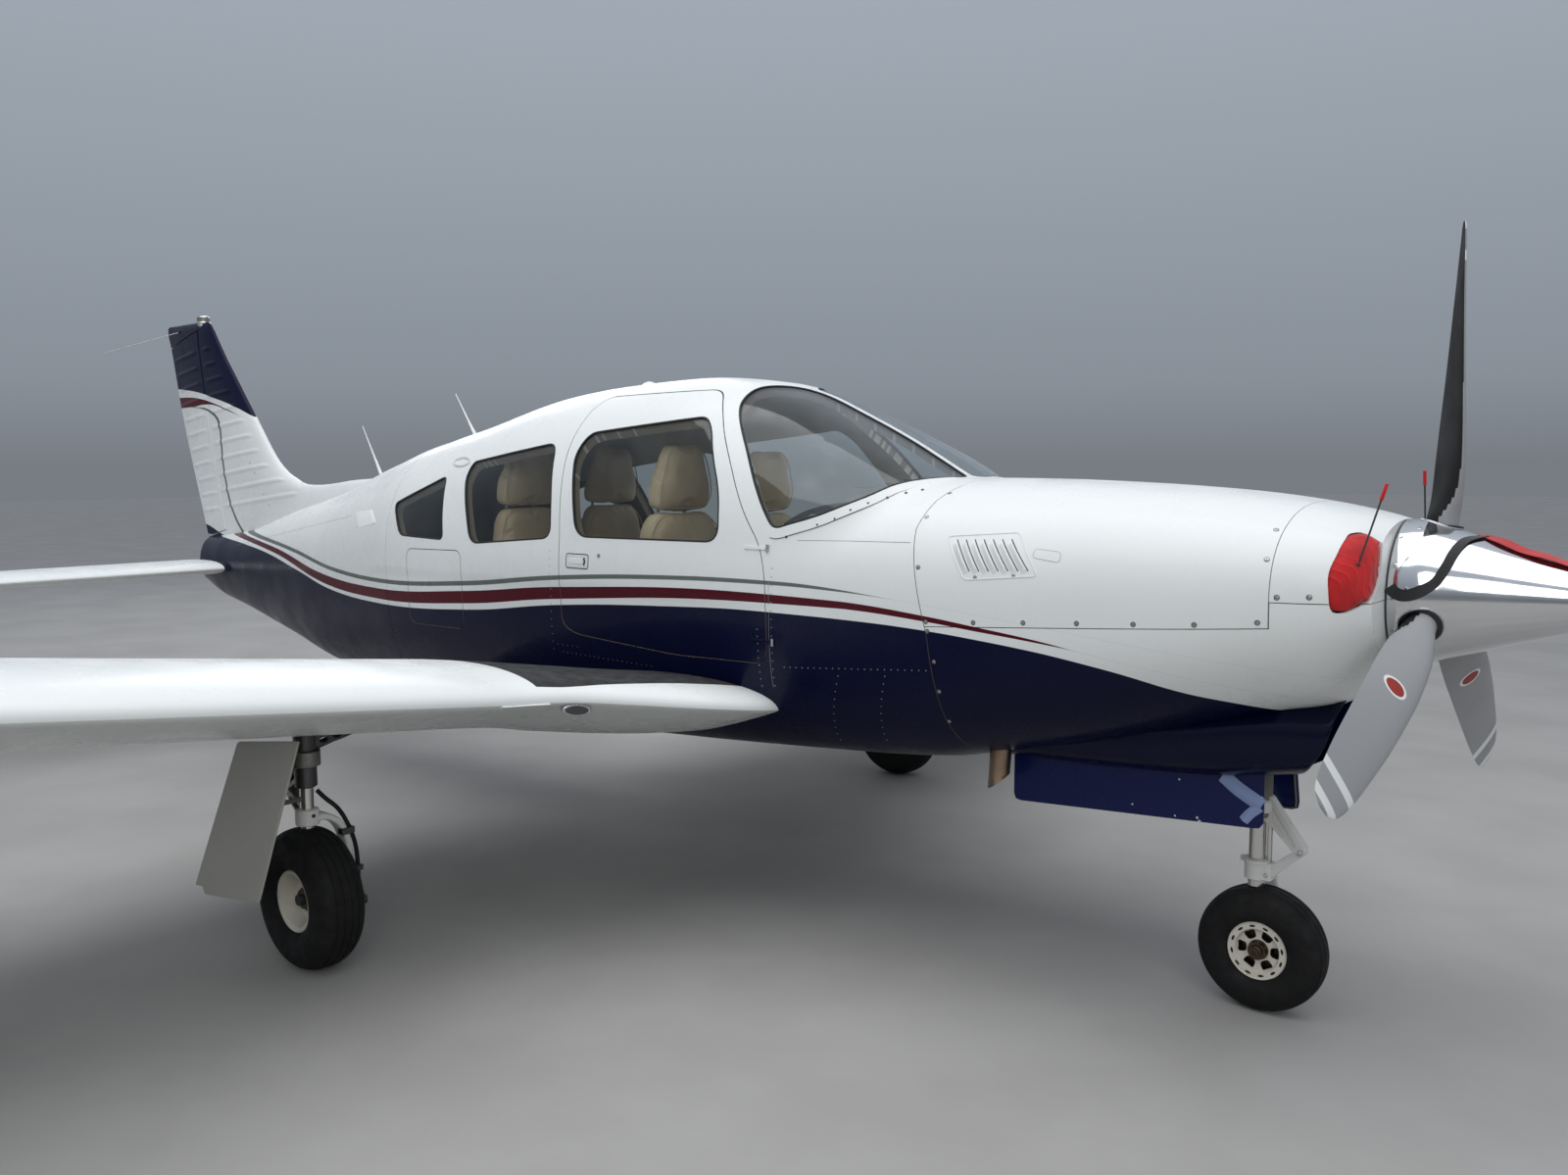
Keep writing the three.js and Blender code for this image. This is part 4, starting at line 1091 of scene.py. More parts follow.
@dataclass(frozen=True)
class Cloth:
    """Woven cloth: threads over and under, with soft creases and a dull sheen."""

    name: str
    color: tuple[float, float, float]
    dark: tuple[float, float, float]
    thread: float = 0.0011
    crease: float = 0.004
    roughness: float = 0.72

    def material(self) -> Material:
        """The finish as a material.

        Returns:
            The material.
        """
        graph = Graph(self.name, Sheen_Weight=0.25, Sheen_Roughness=0.5, Specular_IOR_Level=0.3)
        x, y, z = graph.split()
        turn = 2 * np.pi / self.thread
        first = graph.math("SINE", graph.math("MULTIPLY", graph.math("ADD", x, y), turn))
        second = graph.math("SINE", graph.math("MULTIPLY", z, turn))
        weave = graph.math("MULTIPLY_ADD", graph.math("MULTIPLY", first, second), 0.5, 0.5)
        share = graph.step(graph.noise(16.0, 5.0), 0.3, 0.75, 0.0, 0.6)
        graph.paint("Base Color", graph.mix(share, self.color, self.dark))
        graph.paint("Roughness", graph.step(weave, 0.0, 1.0, self.roughness, 0.9))
        creases = graph.bump(graph.noise(24.0, 4.0), self.crease, 0.5)
        graph.paint("Normal", graph.bump(weave, 0.0003, 0.35, creases))
        return graph.material


@dataclass(frozen=True)
class Plastic:
    """Moulded plastic with a fine grain."""

    name: str
    color: tuple[float, float, float]
    roughness: float = 0.5
    grain: float = 700.0

    def material(self) -> Material:
        """The finish as a material.

        Returns:
            The material.
        """
        graph = Graph(self.name, Specular_IOR_Level=0.45)
        share = graph.step(graph.noise(8.0, 4.0), 0.4, 0.8, 0.0, 0.3)
        lighter = tuple(min(1.0, part * 1.5 + 0.01) for part in self.color)
        graph.paint("Base Color", graph.mix(share, self.color, lighter))
        low, high = self.roughness * 0.85, min(1.0, self.roughness * 1.2)
        graph.paint("Roughness", graph.step(graph.noise(20.0), 0.3, 0.7, low, high))
        graph.paint("Normal", graph.bump(graph.noise(self.grain, 2.0), 0.0003, 0.4))
        return graph.material


@dataclass(frozen=True)
class Pane:
    """Clear acrylic: mostly see-through, with a mirror-like surface and a faint tint."""

    name: str
    tint: tuple[float, float, float] = (0.90, 0.93, 0.93)
    haze: float = 0.03

    def material(self) -> Material:
        """The finish as a material: see-through, and glossy by (1 - cos a) ** 5 and a little dirt.

        Returns:
            The material.
        """
        graph = Graph(self.name, Base_Color=(0.85, 0.87, 0.90), Metallic=1.0, Roughness=0.02)
        clear = graph.add("ShaderNodeBsdfTransparent")
        graph.set(clear, "Color", self.tint)
        slant = graph.add("ShaderNodeLayerWeight")
        graph.set(slant, "Blend", 0.5)
        dirt = graph.step(graph.noise(9.0, 6.0), 0.45, 0.9, 0.025, 0.025 + self.haze)
        share = graph.math("ADD", graph.math("POWER", slant.outputs["Facing"], 5.0), dirt)
        both = graph.add("ShaderNodeMixShader")
        graph.set(both, 0, share)
        graph.tree.links.new(clear.outputs[0], both.inputs[1])
        graph.tree.links.new(graph.shader.outputs[0], both.inputs[2])
        graph.tree.links.new(both.outputs[0],
                             graph.tree.nodes["Material Output"].inputs["Surface"])
        return graph.material


@dataclass(frozen=True)
class Lens:
    """Coloured lamp lens with ribs."""

    name: str
    color: tuple[float, float, float]

    def material(self) -> Material:
        """The finish as a material.

        Returns:
            The material.
        """
        graph = Graph(self.name, Roughness=0.08, Transmission_Weight=0.55, IOR=1.45)
        graph.paint("Base Color", graph.mix(graph.noise(40.0), self.color, self.color))
        ribs = graph.math("SINE", graph.math("MULTIPLY", graph.split()[2], 1500.0))
        graph.paint("Normal", graph.bump(ribs, 0.0004, 0.5))
        return graph.material


# Fuselage


@dataclass(frozen=True)
class Hull:
    """Outer shape of the fuselage and the greenhouse."""

    # Place, top, bottom, half width, height of the widest point, powers of the upper and lower half
    body: tuple = (
        (3.235, 1.421, 1.042, 0.300, 1.245, 2.2, 2.2),
        (3.190, 1.433, 0.985, 0.352, 1.240, 2.3, 2.3),
        (3.115, 1.449, 0.925, 0.395, 1.230, 2.4, 2.4),
        (3.000, 1.469, 0.893, 0.430, 1.210, 2.5, 2.4),
        (2.800, 1.492, 0.835, 0.470, 1.180, 2.6, 2.5),
        (2.500, 1.511, 0.745, 0.505, 1.150, 2.7, 2.6),
        (2.200, 1.521, 0.680, 0.532, 1.120, 2.7, 2.8),
        (2.000, 1.523, 0.636, 0.541, 1.110, 2.7, 3.0),
        (1.500, 1.510, 0.590, 0.552, 1.120, 2.7, 3.2),
        (0.900, 1.515, 0.545, 0.556, 1.130, 2.6, 3.2),
        (0.300, 1.560, 0.512, 0.552, 1.130, 2.6, 3.2),
        (-0.300, 1.640, 0.500, 0.528, 1.125, 2.5, 3.0),
        (-0.720, 1.682, 0.503, 0.490, 1.120, 2.4, 2.8),
        (-1.160, 1.600, 0.512, 0.425, 1.090, 2.3, 2.6),
        (-1.720, 1.452, 0.535, 0.340, 1.030, 2.2, 2.4),
        (-2.320, 1.332, 0.640, 0.245, 1.000, 2.2, 2.2),
        (-2.900, 1.205, 0.748, 0.160, 0.985, 2.1, 2.1),
        (-3.250, 1.165, 0.805, 0.112, 0.985, 2.0, 2.0),
        (-3.500, 1.140, 0.885, 0.070, 1.000, 2.0, 2.0),
    )
    # Place, top, half width at its foot, power
    canopy: tuple = (
        (2.060, 1.440, 0.300, 3.2),
        (1.980, 1.484, 0.400, 3.2),
        (1.900, 1.528, 0.457, 3.2),
        (1.800, 1.584, 0.494, 3.2),
        (1.700, 1.639, 0.519, 3.0),
        (1.500, 1.735, 0.543, 2.7),
        (1.300, 1.820, 0.551, 2.5),
        (1.100, 1.871, 0.553, 2.5),
        (0.800, 1.897, 0.554, 2.5),
        (0.400, 1.884, 0.551, 2.5),
        (0.140, 1.861, 0.546, 2.5),
        (-0.410, 1.753, 0.515, 2.45),
        (-0.720, 1.694, 0.487, 2.4),
        (-1.000, 1.620, 0.440, 2.3),
        (-1.250, 1.500, 0.360, 2.3),
    )
    melt: float = 0.02
    station: float = 0.02
    around: int = 168

    def middle(self, x: Array) -> Array:
        """Height of the line that the hull's angles turn about."""
        return smooth_rows(np.array(self.body), x)[..., 3]

    def radius(self, x: Array, angle: Array, grow: float = 0.0) -> Array:
        """Distance of the skin from the middle line.

        Each part is (|cos a / half| ** p + |sin a / rise| ** p) ** (-1 / p). The greenhouse and the
        body meet in a smooth maximum: the larger one, plus a quarter of the melt where they cross.

        Args:
            x: places along the aircraft.
            angle: angles from the left, up and round to the right.
            grow: distance that the skin is moved outwards.

        Returns:
            The radius at each place.
        """
        x, angle = np.broadcast_arrays(np.asarray(x, float), np.asarray(angle, float))
        up = np.sin(angle) > 0
        rows = smooth_rows(np.array(self.body), x)
        top, bottom, half, wide, high_power, low_power = np.moveaxis(rows, -1, 0)
        rise = np.where(up, top - wide, wide - bottom) + grow
        body = self.oval(angle, half + grow, rise, np.where(up, high_power, low_power))
        head, foot, power = np.moveaxis(smooth_rows(np.array(self.canopy), x), -1, 0)
        there = up & (x < self.canopy[0][0]) & (x > self.canopy[-1][0])
        over = np.where(there, self.oval(angle, foot + grow, head - wide + grow, power), 0)
        meet = np.maximum(self.melt - np.abs(body - over), 0) / self.melt
        return np.maximum(body, over) + meet ** 2 * self.melt / 4

    @staticmethod
    def oval(angle: Array, half: Array, rise: Array, power: Array) -> Array:
        """Radius of a superellipse at an angle."""
        flat = np.abs(np.cos(angle)) / half
        tall = np.abs(np.sin(angle)) / rise
        return (flat ** power + tall ** power) ** (-1 / power)

    def point(self, x: Array, angle: Array, grow: float = 0.0, lift: float | Array = 0.0) -> Array:
        """Point of the skin: middle line + (radius + lift) * (cos a, sin a).

        Args:
            x: places along the aircraft.
            angle: angles about the middle line.
            grow: distance that the section is widened by.
            lift: distance off the skin.

        Returns:
            Points on a last axis of three.
        """
        x, angle = np.broadcast_arrays(np.asarray(x, float), np.asarray(angle, float))
        radius = self.radius(x, angle, grow) + lift
        return np.stack(
            [x, radius * np.cos(angle), self.middle(x) + radius * np.sin(angle)], -1
        )

    def normal(self, x: Array, angle: Array) -> Array:
        """Direction square to the skin, from two short steps along it."""
        small = 1e-3
        along = self.point(x + small, angle) - self.point(x - small, angle)
        around = self.point(x, angle + small) - self.point(x, angle - small)
        return unit(np.cross(around, along))

    def angle_at(self, x: Array, z: Array, side: Side = Side.RIGHT) -> Array:
        """Angle of the skin's point on one side at a place and a height.

        The heights of 721 angles from the belly up to the roof are worked out for each place, and
        the angle is read between the two heights that the wanted one lies between.

        Args:
            x: places along the aircraft.
            z: heights.
            side: side of the aircraft.

        Returns:
            One angle for each place.
        """
        x, z = np.atleast_1d(np.asarray(x, float)), np.atleast_1d(np.asarray(z, float))
        ladder = np.linspace(-np.pi / 2, np.pi / 2, 721)
        height = self.point(x[:, None], ladder[None])[..., 2]
        i = np.clip((height >= z[:, None]).argmax(axis=1), 1, len(ladder) - 1)
        row = np.arange(len(x))
        below, above = height[row, i - 1], height[row, i]
        share = np.clip((z - below) / (above - below), 0, 1)
        angle = ladder[i - 1] + share * (ladder[1] - ladder[0])
        return angle if side is Side.LEFT else np.pi - angle

    def on_side(self, x: Array, z: Array, side: Side = Side.RIGHT,
                lift: float = 0.0) -> tuple[Array, Array]:
        """Points of one side's skin at places and heights, and the directions square to it there."""
        angle = self.angle_at(x, z, side)
        point, normal = self.point(x, angle), self.normal(x, angle)
        return point + normal * lift, normal

    def loft(self, rear: float, front: float, grow: float = 0.0, step: float = 0.0) -> Shape:
        """Closed skin between two places, in rings of even angles."""
        count = int(round((front - rear) / (step or self.station))) + 1
        x = np.linspace(rear, front, count)[:, None]
        angle = np.linspace(0, 2 * np.pi, self.around, endpoint=False)[None]
        return Shape().grid(self.point(x, angle, grow))


HULL = Hull()


class Opening:
    """Closed outline on one side of the hull, as places along it and angles about it."""

    def __init__(self, x: Array, angle: Array) -> None:
        """Keeps the outline, whose points are evenly spaced."""
        self.x, self.angle = x, angle

    @classmethod
    def from_side(cls, outline: Array, side: Side) -> "Opening":
        """Outline given in side view, as places and heights."""
        return cls(outline[:, 0], HULL.angle_at(outline[:, 0], outline[:, 1], side))

    @classmethod
    def from_turns(cls, turns: Array, side: Side, count: int = 200) -> "Opening":
        """Outline given as places and degrees, through which a smooth closed curve is drawn.

        Args:
            turns: rows of place and degrees.
            side: side of the aircraft.
            count: points of the outline.

        Returns:
            The opening.
        """
        turns = np.asarray(turns, float)
        scale = np.array([1.0, 0.01])
        path = curve_through(turns * scale, count, closed=True) / scale
        angle = np.radians(path[:, 1])
        return cls(path[:, 0], angle if side is Side.RIGHT else np.pi - angle)

    def rings(self, shares: Array, grow: float, lift: float) -> Array:
        """Copies of the outline, drawn in towards its middle by these shares."""
        x0, angle0 = self.x.mean(), self.angle.mean()
        x = x0 + shares[:, None] * (self.x - x0)
        angle = angle0 + shares[:, None] * (self.angle - angle0)
        return HULL.point(x, angle, grow, lift)

    def plug(self, low: float, high: float, rings: int = 8, lifted: bool = False) -> Shape:
        """Closed shape under the outline, from one distance off the skin to another.

        Rings run from the middle out on the inner face and back in on the outer face.
        """
        shares = np.linspace(0, 1, rings) ** 0.7
        inner = self.rings(shares, 0.0 if lifted else low, low if lifted else 0.0)
        outer = self.rings(shares[::-1], 0.0 if lifted else high, high if lifted else 0.0)
        return Shape().grid(np.concatenate([inner, outer]), caps=False)

    def cutter(self, deep: float = 0.13, high: float = 0.10) -> Shape:
        """Plug that reaches well to both sides of the skin."""
        return self.plug(-deep, high, lifted=True)

    def nearest(self, x: float, degrees: float, side: Side) -> float:
        """Share of the way round at the outline's point nearest to a place and an angle."""
        angle = np.radians(degrees)
        angle = angle if side is Side.RIGHT else np.pi - angle
        away = np.hypot(self.x - x, (self.angle - angle) * 0.5)
        return float(np.argmin(away)) / len(self.x)

    def band(self, section: Array, share: tuple[float, float] = (0.0, 1.0),
             mark: int = 0) -> Shape:
        """Strip along the outline, or along a share of it.

        Args:
            section: rows of distance outside the outline and height above the skin.
            share: where the strip starts and ends, as shares of the way round.
            mark: number of its finish.

        Returns:
            The strip as a shape.
        """
        closed = share == (0.0, 1.0)
        points = HULL.point(self.x, self.angle)
        normal = HULL.normal(self.x, self.angle)
        ahead = unit(np.roll(points, -1, 0) - np.roll(points, 1, 0))
        outside = unit(np.cross(ahead, normal))
        middle = points.mean(axis=0)
        outside = outside * np.sign(np.sum(outside * (points - middle), axis=1).mean())
        section = np.asarray(section, float)
        grid = (
            points[:, None] + section[:, :1] * outside[:, None] + section[:, 1:] * normal[:, None]
        )
        if not closed:
            first, last = (int(round(part * len(points))) for part in share)
            grid = np.take(grid, np.arange(first, last + 1), axis=0, mode="wrap")
        return Shape().grid(grid, along=closed, mark=mark)


@dataclass
class Studio:
    """Camera at the photograph's place, pale floor and soft light."""

    eye: tuple[float, float, float] = (4.096, -3.540, 1.571)
    yaw: float = -40.25
    pitch: float = -5.67
    roll: float = -0.23
    focal_pixels: float = 1272.0
    picture_width: float = 1600.0
    sensor: float = 36.0
    floor: float = 60.0
    floor_color: tuple[float, float, float] = (0.37, 0.36, 0.345)
    floor_shade: tuple[float, float, float] = (0.33, 0.32, 0.305)

    def camera(self) -> None:
        """Camera that looks along yaw and pitch, turned by roll."""
        yaw, pitch, roll = np.radians([self.yaw, self.pitch, self.roll])
        ahead = np.array([np.sin(yaw) * np.cos(pitch), np.cos(yaw) * np.cos(pitch), np.sin(pitch)])
        level = np.array([np.cos(yaw), -np.sin(yaw), 0])
        upright = np.cross(level, ahead)
        right = np.cos(roll) * level + np.sin(roll) * upright
        up = -np.sin(roll) * level + np.cos(roll) * upright
        data = bpy.data.cameras.new("camera")
        data.sensor_width = self.sensor
        data.sensor_fit = "HORIZONTAL"
        data.lens = self.focal_pixels / self.picture_width * self.sensor
        data.clip_end = 200.0
        camera = bpy.data.objects.new("camera", data)
        turn = Matrix(np.stack([right, up, -ahead], 1).tolist()).to_4x4()
        camera.matrix_world = Matrix.Translation(self.eye) @ turn
        bpy.context.scene.collection.objects.link(camera)
        bpy.context.scene.camera = camera

    def ground(self) -> None:
        """Plain pale floor."""
        half = self.floor
        corners = np.array([(-half, -half, 0), (half, -half, 0), (half, half, 0), (-half, half, 0)])
        floor = Shape().add(corners, [[0, 1, 2, 3]]).build("floor")
        graph = Graph("floor", Roughness=0.7, Specular_IOR_Level=0.2)
        shade = graph.step(graph.noise(1.5, 6.0), 0.3, 0.7)
        graph.paint("Base Color", graph.mix(shade, self.floor_color, self.floor_shade))
        floor.data.materials.append(graph.material)

    def lamp(self, name: str, place: tuple, target: tuple, size: tuple[float, float],
             power: float, color: tuple[float, float, float] = (1, 1, 1)) -> None:
        """Soft oblong lamp that faces a point.

        Args:
            name: name of the lamp.
            place: where it hangs.
            target: point that it faces.
            size: length and width.
            power: watts.
            color: colour of its light.
        """
        data = bpy.data.lights.new(name, "AREA")
        data.shape = "RECTANGLE"
        data.size, data.size_y = size
        data.energy = power
        data.color = color
        lamp = bpy.data.objects.new(name, data)
        facing = (Vector(target) - Vector(place)).to_track_quat("-Z", "Y")
        lamp.matrix_world = Matrix.Translation(place) @ facing.to_matrix().to_4x4()
        bpy.context.scene.collection.objects.link(lamp)

    def sky(self) -> None:
        """Even pale surroundings, brighter overhead than at the horizon."""
        world = bpy.data.worlds.new("surroundings")
        world.use_nodes = True
        tree = world.node_tree
        place = tree.nodes.new("ShaderNodeTexCoord")
        parts = tree.nodes.new("ShaderNodeSeparateXYZ")
        ramp = tree.nodes.new("ShaderNodeValToRGB")
        tree.links.new(place.outputs["Generated"], parts.inputs[0])
        tree.links.new(parts.outputs[2], ramp.inputs[0])
        tree.links.new(ramp.outputs[0], tree.nodes["Background"].inputs["Color"])
        stops = ((0.0, (0.22, 0.24, 0.27)), (0.06, (0.29, 0.325, 0.37)), (0.35, (0.43, 0.48, 0.55)),
                 (1.0, (0.80, 0.85, 0.95)))
        for height, _ in stops[1:-1]:
            ramp.color_ramp.elements.new(height)
        for element, (height, color) in zip(ramp.color_ramp.elements, stops, strict=True):
            element.position = height
            element.color = (*color, 1)
        tree.nodes["Background"].inputs["Strength"].default_value = 0.85
        bpy.context.scene.world = world

    def build(self) -> None:
        """Makes the camera, the floor and the light."""
        bpy.context.scene.view_settings.view_transform = "Standard"
        self.camera()
        self.ground()
        self.sky()
        self.lamp("overhead", (1.0, -2.0, 9.0), (0.5, 0, 0.5), (12, 10), 640)
        self.lamp("front", (9.0, -7.0, 5.0), (1.0, 0, 1.0), (5, 4), 200, (1.0, 0.98, 0.95))
        self.lamp("rear", (-9.0, 6.0, 6.0), (-1.0, 0, 1.0), (6, 5), 160, (0.94, 0.97, 1.0))


FINISH_WHITE = Paint("white_paint", WHITE)
FINISH_NAVY = Paint("navy_paint", NAVY, 0.24, 0.12)
FINISH_DOOR = Paint("door_navy", (0.005, 0.011, 0.075), 0.26, 0.2)
# Grey for the white main gear doors: painted shade of the doors under the wing.
FINISH_LEG_DOOR_SHADED = Paint("leg_door_paint", (0.36, 0.355, 0.32), 0.4, 0.05)
FINISH_HULL = HullLivery("hull_livery", WHITE)
FINISH_FIN = FinLivery("fin_livery", WHITE)
FINISH_WING = WingPaint("wing_paint", WHITE)
FINISH_TRIM = Plastic("interior_trim", (0.20, 0.155, 0.105), 0.7)
FINISH_LINING = Plastic("headliner", (0.40, 0.37, 0.32), 0.8, 400.0)
FINISH_CARPET = Plastic("carpet", (0.05, 0.04, 0.03), 0.95, 260.0)
FINISH_BLACK = Plastic("black_rubber_seal", (0.012, 0.012, 0.013), 0.55)
FINISH_DARK = Plastic("dark_plastic", (0.022, 0.022, 0.024), 0.6)
FINISH_PANE = Pane("window_acrylic")
FINISH_STEEL = Metal("bare_steel", (0.55, 0.56, 0.57), 0.30)
FINISH_SCREW = Metal("screw_heads", (0.42, 0.42, 0.41), 0.35)
FINISH_SPINNER = Metal("polished_spinner", (0.68, 0.69, 0.70), 0.09, (1.0, 1.0, 1.0), 14.0, 0.0001,
                       (0.55, 0.55, 0.54), 0.10)
FINISH_DARK_METAL = Metal("dark_metal", (0.10, 0.10, 0.105), 0.42)
FINISH_BLADE = BladePaint("blade_front", (0.30, 0.305, 0.31), 0.42, 0.1)
FINISH_BLADE_BACK = Paint("blade_back", (0.016, 0.016, 0.017), 0.6, 0.0)
FINISH_PLATE = Paint("blank_plate", (0.86, 0.86, 0.84), 0.5, 0.1)
FINISH_GEAR = Paint("gear_paint", (0.66, 0.66, 0.63), 0.40, 0.2, 0.0, 0.30)
FINISH_CREAM = Paint("wheel_paint", (0.60, 0.57, 0.49), 0.42, 0.15, 0.0, 0.35)
# Dark grey for parts in the wheel wells and behind the cowl: painted shade of those hollows, with real
# dust.
FINISH_WELL_SHADE = Paint("well_paint", (0.13, 0.13, 0.115), 0.6, 0.0, 0.0, 0.45)
# Pale blue on the nose door's stiffening fold: a painted reflection of the bright surroundings.
FINISH_FOLD_SHEEN = Paint("navy_fold", (0.26, 0.33, 0.54), 0.25, 0.4)
FINISH_CHIP = Paint("bare_chips", (0.62, 0.63, 0.64), 0.45, 0.0)
FINISH_TYRE = Rubber("tyre_rubber")
FINISH_HOSE = Rubber("hose_rubber", (0.012, 0.012, 0.012), (0.05, 0.046, 0.04), 0.2, 0.5)
# Dark bronze of hubs and axle caps; on the rims it also paints shade in recesses.
FINISH_BRONZE_AND_SHADE = Metal("hub_bronze", (0.105, 0.078, 0.055), 0.42)
FINISH_CHROME = Metal("strut_chrome", (0.62, 0.61, 0.59), 0.12, (1.0, 1.0, 0.05), 160.0, 0.00005)
FINISH_CAST = Metal("cast_metal", (0.34, 0.335, 0.31), 0.5, (1.0, 1.0, 1.0), 60.0, 0.0005,
                    (0.12, 0.11, 0.09), 0.5)
FINISH_ENGINE = Metal("engine_metal", (0.26, 0.26, 0.25), 0.50, (1.0, 1.0, 1.0), 60.0, 0.0006)
FINISH_EXHAUST = Metal("exhaust_steel", (0.42, 0.30, 0.21), 0.34, (1.0, 1.0, 0.2), 90.0, 0.0003,
                       (0.10, 0.07, 0.06), 0.55)
FINISH_LEATHER = Leather("seat_leather")
FINISH_RED_CLOTH = Cloth("red_fabric", (0.52, 0.010, 0.012), (0.26, 0.006, 0.008))
FINISH_STRAP = Cloth("black_strap", (0.016, 0.016, 0.017), (0.03, 0.03, 0.03), 0.0016, 0.001)
FINISH_RED_LENS = Lens("red_lens", (0.75, 0.015, 0.012))
FINISH_GREEN_LENS = Lens("green_lens", (0.02, 0.42, 0.16))


class Finishes:
    """Materials that are already made, one for each finish."""

    made: dict[str, Material] = {}

    @classmethod
    def of(cls, *looks: object) -> list[Material]:
        """Materials of finishes, in their order."""
        for look in looks:
            if look.name not in cls.made:
                cls.made[look.name] = look.material()
        return [cls.made[look.name] for look in looks]


@dataclass
class Fuselage:
    """Cabin shell, doors, tail cone and cowlings, with their seams."""

    wall: float = 0.040
    cowl_wall: float = 0.008
    bulkhead: float = -0.800
    tail_end: float = -3.500
    nose: float = 3.235
    seam: float = 0.0012
    door_gap: float = 0.0020
    bowl_seam: float = 3.030
    floor: tuple = ((2.100, 0.735), (-0.760, 0.600))
    # Firewall seam in side view
    firewall: tuple = (
        (2.150, 0.500), (2.136, 0.720), (2.116, 0.918), (2.095, 1.068), (2.064, 1.182),
        (2.037, 1.286), (2.012, 1.379), (2.019, 1.457), (2.034, 1.502), (2.050, 2.200),
    )
    # Seam between the upper and the lower cowl in side view
    split: tuple = (
        (1.900, 1.084), (2.077, 1.098), (2.299, 1.112), (2.612, 1.131), (2.891, 1.149),
        (3.030, 1.158), (3.030, 1.2235), (3.300, 1.2235),
    )
    door: tuple = (
        (1.492, 0.930), (1.486, 1.200), (1.455, 1.305), (1.362, 1.423), (1.262, 1.582),
        (1.134, 1.751), (1.045, 1.835), (0.450, 1.828), (0.432, 1.640), (0.470, 1.320),
        (0.482, 0.980), (0.560, 0.950), (1.070, 0.921),
    )
    door_window: tuple = (
        (1.278, 1.312), (1.255, 1.480), (1.135, 1.690), (1.080, 1.738), (0.520, 1.690),
        (0.480, 1.610), (0.560, 1.306),
    )
    rear_window: tuple = (
        (0.420, 1.296), (0.405, 1.440), (0.350, 1.658), (-0.200, 1.585), (-0.215, 1.520),
        (-0.100, 1.255),
    )
    quarter_window: tuple = ((-0.300, 1.262), (-0.375, 1.530), (-0.770, 1.405), (-0.672, 1.268))
    baggage: tuple = ((-0.165, 0.905), (-0.165, 1.225), (-0.600, 1.215), (-0.600, 0.895))
    # Windshield half on the right: place and degrees about the middle line
    windshield: tuple = (
        (1.197, 119.5), (1.161, 112.5), (1.155, 104.6), (1.190, 98.0), (1.225, 94.0),
        (1.270, 91.8), (1.420, 91.3), (1.550, 91.3), (1.725, 91.3), (1.843, 91.3),
        (1.890, 91.8), (1.915, 95.8), (1.912, 105.0), (1.885, 120.0), (1.846, 131.1),
        (1.791, 140.5), (1.681, 148.4), (1.560, 153.3), (1.500, 154.6), (1.455, 150.5),
        (1.400, 143.5), (1.316, 132.6),
    )
    openings: dict = field(default_factory=dict)

    def windows(self) -> dict[str, Opening]:
        """Outlines of all the panes.

        Returns:
            The openings by kind and side.
        """
        made = {}
        for side in Side:
            for name, corners, radius in (
                ("side", self.door_window, 0.065), ("rear", self.rear_window, 0.055),
                ("quarter", self.quarter_window, 0.038),
            ):
                outline = rounded(corners, radius, 180)
                made[f"{name}_{side.label}"] = Opening.from_side(outline, side)
            made[f"windshield_{side.label}"] = Opening.from_turns(self.windshield, side)
        return made

    def behind(self, line: tuple, shift: float, rear: float = -4.2) -> Shape:
        """Everything behind a line in side view, as a closed shape."""
        edge = np.array(line) + (shift, 0)
        outline = np.vstack([[(rear, edge[0, 1])], edge, [(rear, edge[-1, 1])]])
        return prism(outline, -0.9, 0.9)

    def above(self, shift: float) -> Shape:
        """Everything above the seam between the cowl's halves."""
        edge = np.array(self.split) + (0, shift)
        edge[5:7, 0] -= shift
        outline = np.vstack([edge, [(3.300, 2.0)], [(1.900, 2.0)]])
        return prism(outline, -0.9, 0.9)

    def lined(self, obj: Object, wall: float) -> Array:
        """Numbers of the finish of each face: skin, lining, sill, carpet and headliner.

        Args:
            obj: shell or door.
            wall: thickness of its wall.

        Returns:
            One number for each face.
        """
        centre = face_centres(obj)
        x, away = centre[:, 0], centre[:, 2] - HULL.middle(centre[:, 0])
        depth = HULL.radius(x, np.arctan2(away, centre[:, 1])) - np.hypot(away, centre[:, 1])
        marks = np.where(depth > wall * 0.16, 1, 0)
        marks = np.where((depth > wall * 0.6) & (centre[:, 2] > 1.50), 2, marks)
        up = face_normals(obj)[:, 2]
        return np.where((depth > wall * 1.2) & (up > 0.7) & (centre[:, 2] < 0.8), 3, marks)

    def cabin(self) -> None:
        """Hollow shell from the bulkhead to the firewall, with its windows and doors cut."""
        shell = HULL.loft(self.bulkhead + self.seam, 2.160).build("cabin_skin")
        room = HULL.loft(-0.900, 2.200, -self.wall, 0.04).build("room")
        (low_x, low_z), (rear_x, rear_z) = self.floor
        floor = np.array([(low_x + 0.3, low_z), (low_x + 0.3, 2.2), (rear_x - 0.3, 2.2),
                          (rear_x - 0.3, rear_z)])
        cut(room, prism(floor, -0.9, 0.9), Cut.KEEP)
        cut(room, self.behind(self.firewall, -0.030), Cut.KEEP)
        cut(shell, room)
        cut(shell, self.behind(self.firewall, -self.seam), Cut.KEEP)
        for name, opening in self.openings.items():
            if name != "side_right":
                cut(shell, opening.cutter())
        for corners, radius in ((self.door, 0.06), (self.baggage, 0.045)):
            outline = offset(rounded(corners, radius, 260), self.door_gap)
            cut(shell, Opening.from_side(outline, Side.RIGHT).cutter())
        mark_faces(shell, self.lined(shell, self.wall))
        finish(shell, Finishes.of(FINISH_HULL, FINISH_TRIM, FINISH_LINING, FINISH_CARPET), "root",
               ("fuselage_cabin",))

